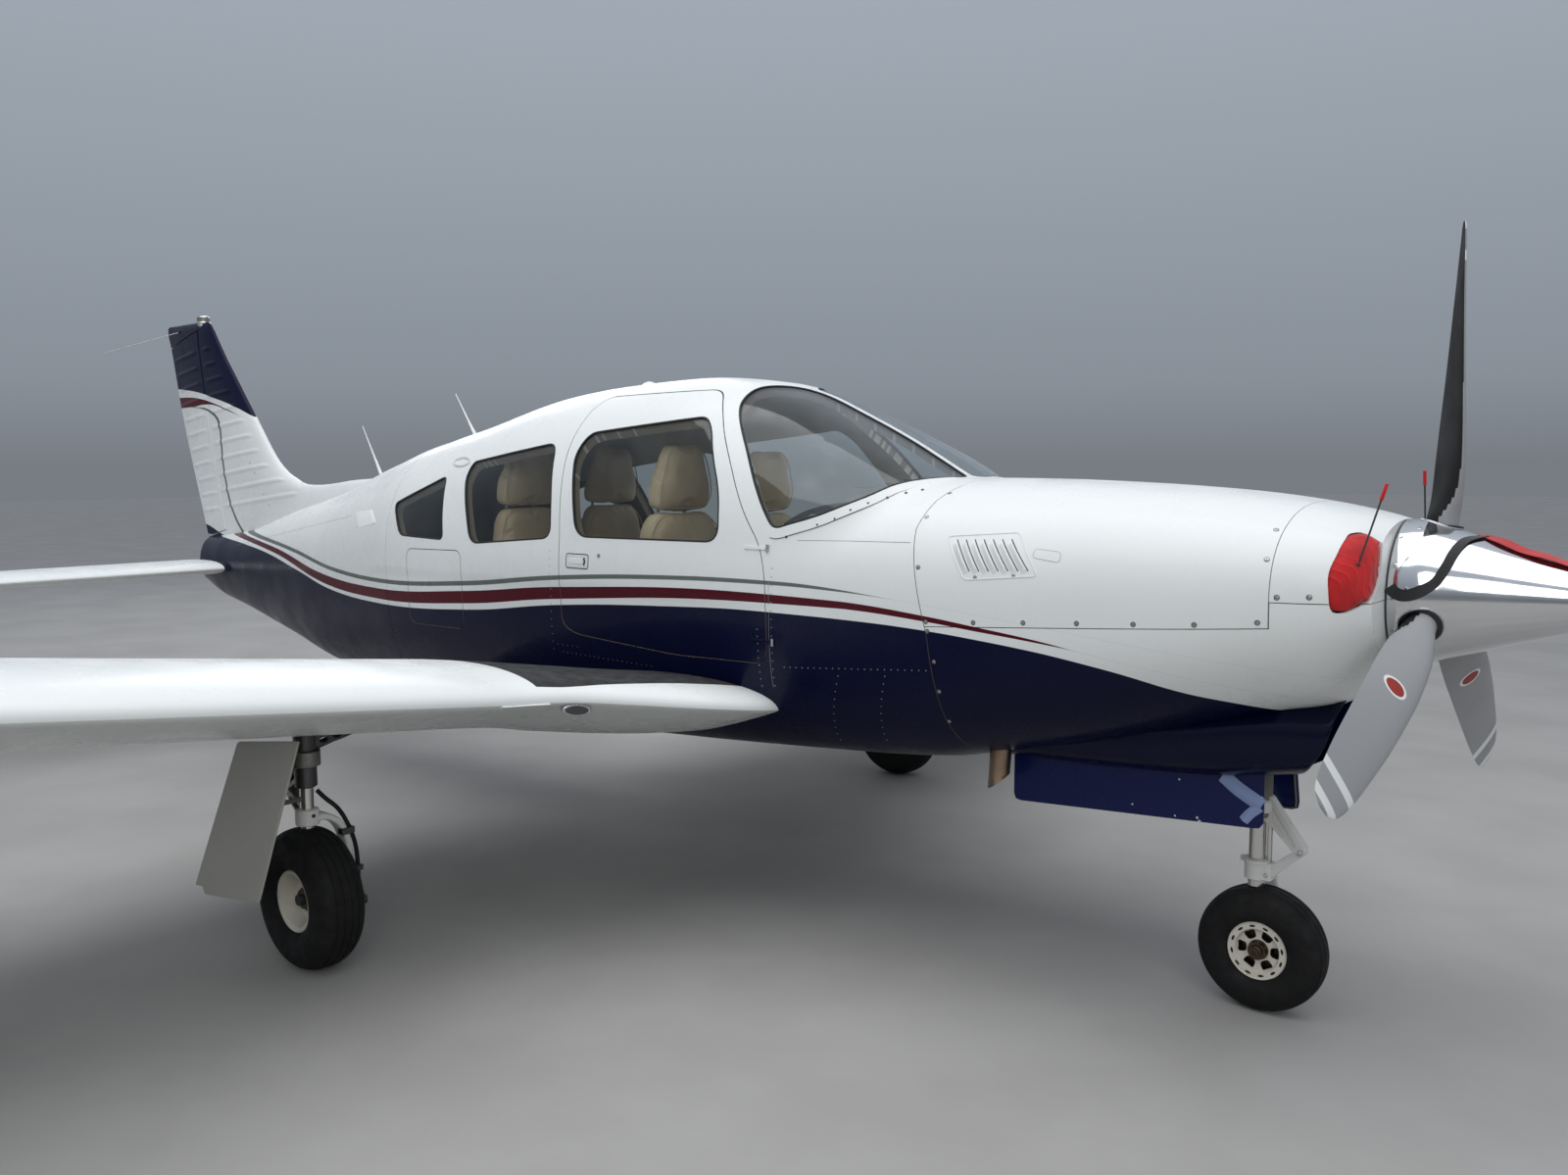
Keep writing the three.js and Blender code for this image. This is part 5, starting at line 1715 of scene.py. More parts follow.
    def leaf(self, name: str, corners: tuple, radius: float, body: str, node: str) -> None:
        """Door that fills its opening in the shell, as thick as the wall.

        Args:
            name: name of the piece.
            corners: outline in side view.
            radius: rounding of its corners.
            body: body that it rides on.
            node: node that it stands for.
        """
        outline = offset(rounded(corners, radius, 260), -self.door_gap * 0.5)
        x = outline[:, 0]
        panel = HULL.loft(x.min() - 0.05, x.max() + 0.05).build(name)
        cut(panel, HULL.loft(x.min() - 0.1, x.max() + 0.1, -self.wall, 0.04))
        cut(panel, Opening.from_side(outline, Side.RIGHT).cutter(), Cut.KEEP)
        if name == "cabin_door_panel":
            cut(panel, self.openings["side_right"].cutter())
        mark_faces(panel, self.lined(panel, self.wall))
        finish(panel, Finishes.of(FINISH_HULL, FINISH_TRIM, FINISH_LINING, FINISH_CARPET), body,
               (node,))

    def tail(self) -> None:
        """Tail cone behind the bulkhead, its end rounded off."""
        turn = np.linspace(0, np.pi / 2, 7)[1:]
        angle = np.linspace(0, 2 * np.pi, HULL.around, endpoint=False)
        start = self.tail_end + 0.04
        x = np.append(np.arange(start, self.bulkhead - self.seam, HULL.station),
                      self.bulkhead - self.seam)
        skin = HULL.point(x[:, None], angle[None])
        centre = np.array([0, 0, HULL.middle(start)])
        tip = (skin[0] - centre)[None] * np.cos(turn)[:, None, None] ** 0.7 + centre
        tip[..., 0] = (start - 0.045 * np.sin(turn))[:, None]
        cone = Shape().grid(np.concatenate([tip[::-1], skin])).build("tail_skin")
        cut(cone, HULL.loft(-2.850, self.bulkhead + 0.02, -0.02, 0.04))
        bore = Shape().bar((-3.170, -0.4, 0.985), (-3.170, 0.4, 0.985), 0.0305, 32)
        cut(cone, bore)
        finish(cone, Finishes.of(FINISH_HULL), "root", ("tail_cone",))

    def cowls(self) -> None:
        """Upper cowl, lower cowl and nose bowl, as thin panels with fine seams."""
        shell = HULL.loft(1.960, self.nose).build("cowl")
        cut(shell, HULL.loft(1.940, self.nose - 0.022, -self.cowl_wall, 0.04))
        cut(shell, self.behind(self.firewall, self.seam))
        shaft = Shape().bar((2.9, 0, 1.232), (3.4, 0, 1.232), 0.120, 48)
        cut(shell, shaft)
        for side in Side:
            cut(shell, INTAKE.bar(side, 0.0))
        upper = cut(copy_of(shell, "upper_half"), self.above(self.seam), Cut.KEEP)
        lower = cut(shell, self.above(-self.seam))
        lower.name = "cowl_lower_skin"
        ahead = prism(np.array([(self.bowl_seam, 0.5), (3.4, 0.5), (3.4, 2.0),
                                (self.bowl_seam, 2.0)]), -0.9, 0.9)
        bowl = cut(copy_of(upper, "nose_bowl_skin"), ahead, Cut.KEEP)
        rear = prism(np.array([(1.8, 0.5), (self.bowl_seam - 2 * self.seam, 0.5),
                               (self.bowl_seam - 2 * self.seam, 2.0), (1.8, 2.0)]), -0.9, 0.9)
        upper = cut(upper, rear, Cut.KEEP)
        upper.name = "cowl_upper_skin"
        finish(bowl, Finishes.of(FINISH_HULL), "root", ("nose_bowl",))
        finish(upper, Finishes.of(FINISH_HULL), "root", ("cowl_upper",))
        finish(lower, Finishes.of(FINISH_HULL), "root", ("cowl_lower",))

    def scoop(self) -> None:
        """Air scoop under the cowl, with its mouth open to the front."""
        # Place, top, bottom, half width, height of the widest point, power
        rows = np.array([
            (3.140, 0.962, 0.716, 0.226, 0.850, 2.4), (3.000, 0.955, 0.700, 0.238, 0.840, 2.6),
            (2.700, 0.900, 0.674, 0.245, 0.800, 2.6), (2.400, 0.860, 0.656, 0.240, 0.770, 2.6),
            (2.100, 0.800, 0.645, 0.215, 0.730, 2.6),
        ])
        # Height and place of the mouth's edge, which slants back to its foot
        mouth = np.array([(0.714, 2.985), (0.732, 3.030), (0.773, 3.076), (0.852, 3.122),
                          (0.923, 3.136), (0.965, 3.140)])
        angle = np.linspace(0, 2 * np.pi, 120, endpoint=False)[None]
        up = np.sin(angle) > 0

        def rings(x: Array, grow: Array) -> Array:
            """Rings of the scoop's section, as a superellipse about its widest height."""
            top, bottom, half, wide, power = (
                column[:, None] for column in smooth_rows(rows, x).T
            )
            rise = np.where(up, top - wide, wide - bottom) + grow
            radius = Hull.oval(angle, half + grow, rise, power)
            height = wide + radius * np.sin(angle)
            back = (3.140 - smooth_rows(mouth, height)[..., 0]) * np.clip((x - 2.75) / 0.38, 0, 1)[
                :, None] ** 1.5
            return np.stack([x[:, None] - back, radius * np.cos(angle), height], -1)

        x = np.linspace(2.100, 3.130, 62)
        lip = np.linspace(0, np.pi, 9)[1:-1]
        lip_x = 3.130 + 0.010 * np.sin(lip)
        lip_grow = -0.004 * (1 - np.cos(lip))[:, None]
        inside = np.linspace(3.130, 2.75, 16)
        grid = np.concatenate([
            rings(x, np.zeros((len(x), 1))), rings(lip_x, lip_grow),
            rings(inside, np.full((len(inside), 1), -0.008)),
        ])
        shape = Shape().grid(grid)
        scoop = shape.build("air_scoop_skin")
        side_faces = len(grid) - 1
        marks = np.where(np.arange(len(scoop.data.polygons)) < side_faces * angle.size, 0, 1)
        mark_faces(scoop, marks)
        finish(scoop, Finishes.of(FINISH_NAVY, FINISH_DARK), "root",
               ("cowl_lower",))

    def panes(self) -> None:
        """Panes a little below the skin, and black seals around them."""
        nodes = {
            "side_right": ("door_window_right", "door"), "side_left": ("front_window_left", "root"),
        }
        seal = slab_section(0.0035, -0.0095, 0.0008) + (-0.0025, 0)
        seals = {"root": Shape(), "door": Shape()}
        for name, opening in self.openings.items():
            kind, side = name.split("_")
            default = f"windshield_{side}" if kind == "windshield" else f"{kind}_window_{side}"
            node, body = nodes.get(name, (default, "root"))
            pane = opening.plug(-0.0085, -0.0035, 16).build(f"{node}_pane")
            finish(pane, Finishes.of(FINISH_PANE), body, (node,))
            seals[body].join(opening.band(seal))
        for body, shape in seals.items():
            finish(shape.build(f"window_seals_{body}"), Finishes.of(FINISH_BLACK), body)

    def build(self) -> None:
        """Makes the whole fuselage."""
        self.openings = self.windows()
        self.cabin()
        self.leaf("cabin_door_panel", self.door, 0.06, "door", "cabin_door")
        self.leaf("baggage_door_panel", self.baggage, 0.045, "baggage_hatch", "baggage_door")
        self.tail()
        self.cowls()
        self.scoop()
        self.panes()


@dataclass(frozen=True)
class Intake:
    """Cooling inlet on each side of the spinner, leaning outwards to its foot."""

    # Distance from the centreline and height, round the inlet
    outline: tuple = (
        (0.233, 1.390), (0.224, 1.345), (0.236, 1.285), (0.264, 1.250), (0.307, 1.226),
        (0.350, 1.203), (0.371, 1.210), (0.374, 1.270), (0.359, 1.314), (0.320, 1.357),
        (0.276, 1.386), (0.252, 1.394),
    )

    def bar(self, side: Side, shrink: float, rear: float = 3.080, front: float = 3.400) -> Shape:
        """Bar along X through the inlet."""
        flat = offset(curve_through(self.outline, 72, closed=True), -shrink)
        ring = np.insert(flat * (side.value, 1), 0, 0.0, axis=1)
        return Shape().grid(np.stack([ring + (rear, 0, 0), ring + (front, 0, 0)]))


INTAKE = Intake()


# Wings and tail


def half_thickness(share: Array) -> Array:
    """Half thickness of a wing section at a share of its chord, for a thickness of one."""
    c = np.asarray(share, float)
    return 5 * (0.2969 * np.sqrt(c) - 0.126 * c - 0.3516 * c ** 2 + 0.2843 * c ** 3
                - 0.1036 * c ** 4)


def wing_section(thickness: Array, camber: Array, count: int = 72,
                 edge: float = 0.0012) -> tuple[Array, Array, Array]:
    """Points round wing sections, from the trailing edge over the top and back below.

    Share of chord = (1 + cos t) / 2. Offset = camber * 4 c (1 - c), plus or minus the half
    thickness and a thin edge that grows to the rear.

    Args:
        thickness: thickness of each section.
        camber: height of each section's middle line at half chord.
        count: points round a section.
        edge: half thickness of the trailing edge.

    Returns:
        Share of chord, offset from the chord, and the side of each point, one above and minus one
        below.
    """
    turn = np.linspace(0.03, 2 * np.pi - 0.03, count)[None]
    share = (1 + np.cos(turn)) / 2
    side = np.sign(np.sin(turn))
    half = np.reshape(thickness, (-1, 1)) * half_thickness(share) + edge * share
    return share, np.reshape(camber, (-1, 1)) * 4 * share * (1 - share) + side * half, side


def bead(place: Array, pitch: float, width: float, height: float) -> Array:
    """Rounded ribs side by side: height * (1 - (2 d / width) ** 2) ** 2 at a distance d from one."""
    away = np.abs((place / pitch + 0.5) % 1 - 0.5) * pitch
    return height * np.clip(1 - (2 * away / width) ** 2, 0, 1) ** 2


def between(value: Array, low: float | Array, high: float | Array, soft: float) -> Array:
    """One inside a range, falling smoothly to nought at its ends over a soft distance."""
    share = np.clip(np.minimum(value - low, high - value) / soft, 0, 1)
    return share * share * (3 - 2 * share)


@dataclass
class Hinge:
    """Hinge line of a control surface, with the radii of its round nose along it."""

    start: Array
    end: Array
    radii: Array
    gap: float = 0.006

    def placed(self, shape: Shape) -> Shape:
        """Shape moved from the hinge's own frame: along it, to the rear, and square to both.

        Args:
            shape: shape in the hinge's frame.

        Returns:
            A new shape.
        """
        along = unit(self.end - self.start)
        aft = unit(np.array([-1.0, 0, 0]) + along[0] * along)
        frame = np.eye(4)
        frame[:3, :4] = np.stack([along, aft, np.cross(along, aft), self.start], -1)
        return shape.moved(Matrix(frame.tolist()))

    def nose(self, extra: float, ends: float) -> Shape:
        """Round bar along the hinge, wider than the nose by a distance.

        Args:
            extra: distance that it is wider by.
            ends: distance that it is longer by at each end.

        Returns:
            The bar.
        """
        length = np.linalg.norm(self.end - self.start)
        stations = np.linspace(0, length, len(self.radii))
        stations[0], stations[-1] = -ends, length + ends
        profile = np.stack([stations, self.radii + extra], -1)
        return self.placed(Shape().turned(profile, (0, 0, 0), (1, 0, 0), 48))

    def block(self, ends: float, front: float, reach: float) -> Shape:
        """Everything behind the hinge."""
        length = np.linalg.norm(self.end - self.start)
        return self.placed(Shape().block((-ends, front, -0.3), (length + ends, reach, 0.3)))

    def split(self, whole: Object, name: str, reach: float) -> Object:
        """Cuts the control surface out of a wing, which keeps its recess; returns the surface.

        Args:
            whole: closed wing or fin.
            name: name of the control surface.
            reach: how far behind the hinge the surface goes.

        Returns:
            The control surface.
        """
        moving = cut(copy_of(whole, name), self.block(0, 0, reach), Cut.KEEP)
        nose = cut(copy_of(whole, "nose"), self.nose(0, 0), Cut.KEEP)
        cut(moving, nose, Cut.JOIN)
        cut(whole, self.block(self.gap, -self.gap, reach))
        cut(whole, self.nose(self.gap, self.gap))
        return moving


@dataclass
class Wing:
    """Low wing with its flap, aileron and wheel well, built on the right and mirrored."""

    # Distance from the centreline, leading edge place, chord, thickness, camber, twist in degrees
    rows: tuple = (
        (0.300, 1.500, 2.000, 0.236, 0.034, 4.7), (0.540, 1.495, 1.995, 0.236, 0.034, 4.7),
        (0.700, 1.430, 1.930, 0.237, 0.034, 4.7), (0.900, 1.280, 1.780, 0.238, 0.034, 4.7),
        (1.100, 1.140, 1.640, 0.239, 0.034, 4.7), (1.250, 1.100, 1.600, 0.240, 0.034, 4.7),
        (2.850, 1.100, 1.600, 0.240, 0.034, 4.22), (2.950, 1.094, 1.589, 0.238, 0.0337, 4.16),
        (5.100, 0.839, 1.127, 0.163, 0.0224, 2.47), (5.180, 0.830, 1.110, 0.160, 0.022, 2.4),
        (5.330, 0.760, 1.010, 0.118, 0.012, 2.2), (5.388, 0.680, 0.880, 0.064, 0.003, 2.2),
        (5.404, 0.630, 0.800, 0.016, 0.0, 2.2),
    )
    root_y: float = 0.600
    root_z: float = 0.740
    dihedral: float = 7.0
    flap: tuple[float, float, float] = (0.625, 2.890, -0.175)
    aileron: tuple = ((2.930, -0.180), (5.080, -0.050))
    well: tuple[float, float, float, float] = (0.500, 1.022, 0.235, 0.830)
    slot: tuple[float, float, float, float] = (0.060, 1.022, 1.560, 0.845)
    tie_down: tuple[float, float] = (0.640, 3.250)

    def point(self, span: Array, share: Array, offset: Array) -> Array:
        """Point of the right wing at a share of the chord and an offset from it.

        Args:
            span: distances from the centreline.
            share: shares of the chord.
            offset: distances square to the chord.

        Returns:
            Points on a last axis of three.
        """
        lead, chord, _, _, twist = np.moveaxis(smooth_rows(np.array(self.rows), span), -1, 0)
        twist = np.radians(twist)
        height = self.root_z + np.tan(np.radians(self.dihedral)) * (span - self.root_y)
        return np.stack([
            lead - chord * share * np.cos(twist) + offset * np.sin(twist),
            np.broadcast_to(-np.asarray(span, float), np.shape(share * offset)),
            height - chord * share * np.sin(twist) + offset * np.cos(twist),
        ], -1)

    def middle(self, span: float, x: float) -> tuple[Array, float]:
        """Point on the section's middle line at a place, and half the thickness there.

        Args:
            span: distance from the centreline.
            x: place along the aircraft.

        Returns:
            The point and the half thickness.
        """
        lead, chord, thickness, camber, _ = smooth_rows(np.array(self.rows), span)
        share = (lead - x) / chord
        offset = camber * 4 * share * (1 - share)
        return self.point(np.array(span), np.array(share), np.array(offset)), \
            float(thickness * half_thickness(share))

    def sharpen(self, spans: Array, share: Array, side: Array) -> Array:
        """Change of a section's offset towards a fine, raised front.

        Ahead of 0.42 of the chord it takes a share of the half thickness away, more of it below
        than above, and lifts the nose. Both grow towards the root. The whole section ahead of the
        flap is lifted a little, which fades out between 0.45 and 0.72 of the chord.

        Args:
            spans: distances from the centreline.
            share: shares of the chord.
            side: one above and minus one below.

        Returns:
            Distances to add to the offsets.
        """
        thickness = smooth_rows(np.array(self.rows), spans)[..., 2]
        near = np.clip((1.3 - spans) / 0.3, 0, 1)
        near = near * near * (3 - 2 * near)
        front = np.clip(1 - share / 0.42, 0, 1) ** 2
        taken = np.where(side < 0, 0.62 + 0.13 * near, 0.12)
        half = thickness * half_thickness(share)
        whole = np.clip((0.72 - share) / 0.27, 0, 1)
        rise = (0.016 * whole * whole * (3 - 2 * whole) + (0.020 + 0.012 * near) * front)
        return rise * thickness / 0.24 - front * side * half * taken

    def surface(self, span: Array, share: Array, side: float, lift: float = 0.0) -> Array:
        """Points of the right wing's upper (1) or lower (-1) skin, lifted off it by a distance."""
        span, share = np.broadcast_arrays(np.asarray(span, float), np.asarray(share, float))
        _, _, thickness, camber, _ = np.moveaxis(smooth_rows(np.array(self.rows), span), -1, 0)
        offset_ = camber * 4 * share * (1 - share) + side * (thickness * half_thickness(share) + lift)
        return self.point(span, share, offset_ + self.sharpen(span, share, np.full(span.shape, side)))

    def skin(self) -> Shape:
        """Closed skin of the right wing, with pressed ribs across the flap and the aileron.

        Returns:
            The skin from the centre to the tip.
        """
        spans = np.concatenate([
            np.arange(0.38, 1.30, 0.02), np.arange(1.30, 5.10, 0.0125), np.linspace(5.10, 5.30, 12),
            np.linspace(5.31, 5.404, 16),
        ])
        lead, chord, thickness, camber, _ = smooth_rows(np.array(self.rows), spans).T
        share, offset, side = wing_section(thickness, camber, 88)
        x = lead[:, None] - chord[:, None] * share
        rear = np.where(spans < 2.91, -0.175, np.interp(spans, [2.93, 5.08], [-0.18, -0.05]))
        last = lead - chord
        rib = bead(spans - 0.06, 0.118, 0.030, 0.0035)[:, None]
        rib = rib * between(x, last[:, None] + 0.03, rear[:, None] - 0.05, 0.05)
        rib = rib * between(spans, 0.70, 5.05, 0.02)[:, None] * (np.abs(spans - 2.91) > 0.05)[:, None]
        offset = offset + side * rib + self.sharpen(spans[:, None], share, side)
        return Shape().grid(self.point(spans[:, None], share, offset))

    def hinge(self, ends: tuple) -> Hinge:
        """Hinge through two stations, given as distance from the centreline and place."""
        (start, first), (end, last) = (self.middle(*row) for row in ends)
        return Hinge(start, end, np.array([first, last]) * 0.98)

    def build(self) -> None:
        """Makes both wings with their flaps and ailerons."""
        whole = self.skin().build("wing_right_skin")
        cut(whole, HULL.loft(-0.80, 2.0, -0.004, 0.05))
        inner, outer, flap_x = self.flap
        flap_hinge = self.hinge(((inner, flap_x), (outer, flap_x)))
        flap = flap_hinge.split(whole, "flap_right_skin", 0.6)
        aileron = self.hinge(self.aileron).split(whole, "aileron_right_skin", 0.5)
        x, y, radius, high = self.well
        cut(whole, Shape().bar((x, -y, 0.3), (x, -y, high), radius, 72))
        half, slot_in, slot_out, slot_high = self.slot
        cut(whole, Shape().block((x - half, -slot_out, 0.3), (x + half, -slot_in, slot_high)))
        cut(whole, Shape().block((-1.2, -inner + 0.008, 0.0), (flap_hinge.start[0] - 0.04, 0, 2.6)))
        for obj, kind, body in ((whole, "wing", "root"), (flap, "flap", "right_flap"),
                                (aileron, "aileron", "right_aileron")):
            other = copy_of(obj, f"{kind}_left_skin")
            flip(other)
            for part, side in ((obj, "right"), (other, "left")):
                rides = body.replace("right", side)
                finish(part, Finishes.of(FINISH_WING), rides, (f"{kind}_{side}",))


@dataclass
class Tail:
    """Fin, rudder and one-piece tailplane with its tab."""

    # Height, leading and trailing edge place, thickness
    fin_rows: tuple = (
        (1.080, -2.150, -3.480, 0.096), (1.300, -2.215, -3.560, 0.096),
        (1.440, -2.290, -3.612, 0.096), (1.487, -2.391, -3.629, 0.095),
        (1.526, -2.497, -3.643, 0.094), (1.582, -2.594, -3.664, 0.093),
        (1.655, -2.678, -3.690, 0.091), (1.746, -2.762, -3.722, 0.089),
        (1.837, -2.843, -3.752, 0.086), (1.972, -2.966, -3.793, 0.081),
        (2.110, -3.090, -3.828, 0.076), (2.197, -3.170, -3.850, 0.072),
        (2.310, -3.262, -3.882, 0.066), (2.385, -3.322, -3.908, 0.057),
        (2.412, -3.350, -3.908, 0.042), (2.424, -3.385, -3.898, 0.024),
        (2.427, -3.410, -3.885, 0.006),
    )
    # Place, height and half width of the ridge that runs forward from the fin's foot
    ridge: tuple = (
        (-1.420, 1.520, 0.020), (-1.600, 1.507, 0.034), (-1.854, 1.493, 0.042),
        (-2.048, 1.475, 0.045), (-2.196, 1.467, 0.046), (-2.286, 1.468, 0.046),
        (-2.391, 1.487, 0.045), (-2.497, 1.526, 0.042), (-2.560, 1.556, 0.036),
    )
    hinge_foot: tuple[float, float] = (-3.239, 1.169)
    hinge_head: tuple[float, float] = (-3.458, 2.333)
    rudder_low: float = 1.195
    rudder_high: float = 2.370
    height: float = 0.985
    lead: float = -2.960
    chord: float = 0.760
    thickness: float = 0.078
    root: float = 0.172
    tab_hinge: float = -3.600
    tab_half: float = 1.250
    tube: float = 0.028
    beads: tuple[float, float] = (1.235, 2.30)

    def hinge_x(self, z: Array) -> Array:
        """Place of the rudder's hinge at a height."""
        (foot_x, foot_z), (head_x, head_z) = self.hinge_foot, self.hinge_head
        return foot_x + (z - foot_z) * (head_x - foot_x) / (head_z - foot_z)

    def fin(self) -> Shape:
        """Closed skin of the fin and rudder, with pressed ribs across both.

        Returns:
            The skin from the tail cone to the tip.
        """
        z = np.concatenate([np.arange(1.08, 2.37, 0.005), np.linspace(2.37, 2.427, 14)])
        lead, trail, thickness = smooth_rows(np.array(self.fin_rows), z).T
        share, offset, side = wing_section(thickness, np.zeros(len(z)), 96, 0.001)
        x = lead[:, None] + (trail - lead)[:, None] * share
        hinge = self.hinge_x(z)[:, None]
        level = z[:, None] - 0.10 * (x - hinge)
        ribs = bead(level - self.beads[0], 0.0925, 0.034, 0.0045) * between(level, *self.beads, 0.03)
        on_fin = between(x, hinge + 0.035, lead[:, None] - 0.075, 0.045)
        on_rudder = between(x, trail[:, None] + 0.02, hinge - 0.035, 0.035)
        y = offset + side * ribs * (on_fin + on_rudder)
        return Shape().grid(np.stack([x, y, np.broadcast_to(z[:, None], x.shape)], -1))

    def fin_ridge(self) -> None:
        """Makes the ridge: ellipses that stand in the tail cone, their tops on a smooth line."""
        x = np.linspace(-1.420, -2.560, 70)
        top, half = smooth_rows(np.array(self.ridge), x).T
        angle = np.linspace(0, 2 * np.pi, 48, endpoint=False)
        low = HULL.point(x, np.full(len(x), np.pi / 2))[:, 2] - 0.040
        rings = np.stack([
            np.broadcast_to(x[:, None], (len(x), 48)), half[:, None] * np.cos(angle),
            low[:, None] + np.where(np.sin(angle) > 0, (top - low)[:, None], 0.02) * np.sin(angle),
        ], -1)
        finish(Shape().grid(rings).build("fin_ridge"), Finishes.of(FINISH_WHITE), "root")

    def rudder_hinge(self) -> Hinge:
        """Hinge of the rudder, whose nose fills the fin's thickness.

        Returns:
            The hinge from its foot to its head.
        """
        z = np.linspace(self.rudder_low, self.rudder_high, 9)
        lead, trail, thickness = smooth_rows(np.array(self.fin_rows), z).T
        x = self.hinge_x(z)
        radii = thickness * half_thickness((x - lead) / (trail - lead)) * 0.98
        return Hinge(np.array([x[0], 0, z[0]]), np.array([x[-1], 0, z[-1]]), radii)

    def build_fin(self) -> None:
        """Makes the fin and the rudder."""
        self.fin_ridge()
        whole = self.fin().build("fin_skin")
        cut(whole, HULL.loft(-3.49, -1.6, -0.003, 0.04))
        rudder = self.rudder_hinge().split(whole, "rudder_skin", 0.7)
        cut(rudder, Shape().block((-4.1, -0.2, 0), (-2.6, 0.2, 1.160)))
        finish(whole, Finishes.of(FINISH_FIN), "root", ("fin",))
        finish(rudder, Finishes.of(FINISH_FIN), "rudder_surface", ("rudder",))

    def half_plane(self) -> Shape:
        """Closed skin of the tailplane's right half.

        Returns:
            The skin from the root to the tip.
        """
        rows = np.array([
            (self.root, self.lead, self.chord, 1.0), (1.84, self.lead, self.chord, 1.0),
            (1.89, self.lead, self.chord, 1.0), (1.938, self.lead - 0.022, self.chord - 0.036, 0.86),
            (1.958, self.lead - 0.065, self.chord - 0.100, 0.48),
            (1.964, self.lead - 0.100, self.chord - 0.150, 0.12),
        ])
        spans = np.concatenate([np.linspace(self.root, 1.85, 48), np.linspace(1.87, 1.964, 14)])
        lead, chord, thick = smooth_rows(rows, spans).T
        share, offset, _ = wing_section(thick * self.thickness, np.zeros(len(spans)), 72, 0.001)
        x = lead[:, None] - chord[:, None] * share
        y = np.broadcast_to(-spans[:, None], x.shape)
        return Shape().grid(np.stack([x, y, self.height + offset], -1))

    def build_plane(self) -> None:
        """Makes the tailplane, its tube and its tab."""
        half = self.half_plane().build("tailplane_half")
        share = (self.lead - self.tab_hinge) / self.chord
        radius = float(self.thickness * half_thickness(share) * 0.98)
        ends = [np.array([self.tab_hinge, -y, self.height]) for y in (self.root + 0.006, self.tab_half)]
        tab = Hinge(*ends, np.array([radius, radius])).split(half, "tailplane_tab_skin", 0.3)
        cut(half, Shape().block((-3.8, -self.root - 0.006, 0), (self.tab_hinge + 0.04, 0, 2.6)))
        edge = self.lead - self.chord
        link = Shape().block(
            (edge + 0.004, -self.root - 0.06, self.height - 0.003),
            (edge + 0.060, self.root + 0.06, self.height + 0.003),
        )
        for obj, name, node, body in (
            (half, "tailplane_skin", "stabilator", "tailplane"),
            (tab, "tailplane_tab_skin", "stabilator_tab", "tailplane_tab"),
        ):
            other = copy_of(obj, "other_half")
            flip(other)
            cut(obj, other, Cut.JOIN)
            if node == "stabilator":
                reach = self.root + 0.03
                bar = Shape().bar((-3.170, -reach, self.height), (-3.170, reach, self.height),
                                  self.tube, 32)
                cut(obj, bar, Cut.JOIN)
            else:
                cut(obj, link, Cut.JOIN)
            obj.name = name
            finish(obj, Finishes.of(FINISH_WHITE), body, (node,))

    def build(self) -> None:
        """Makes the whole tail."""
        self.build_fin()
        self.build_plane()


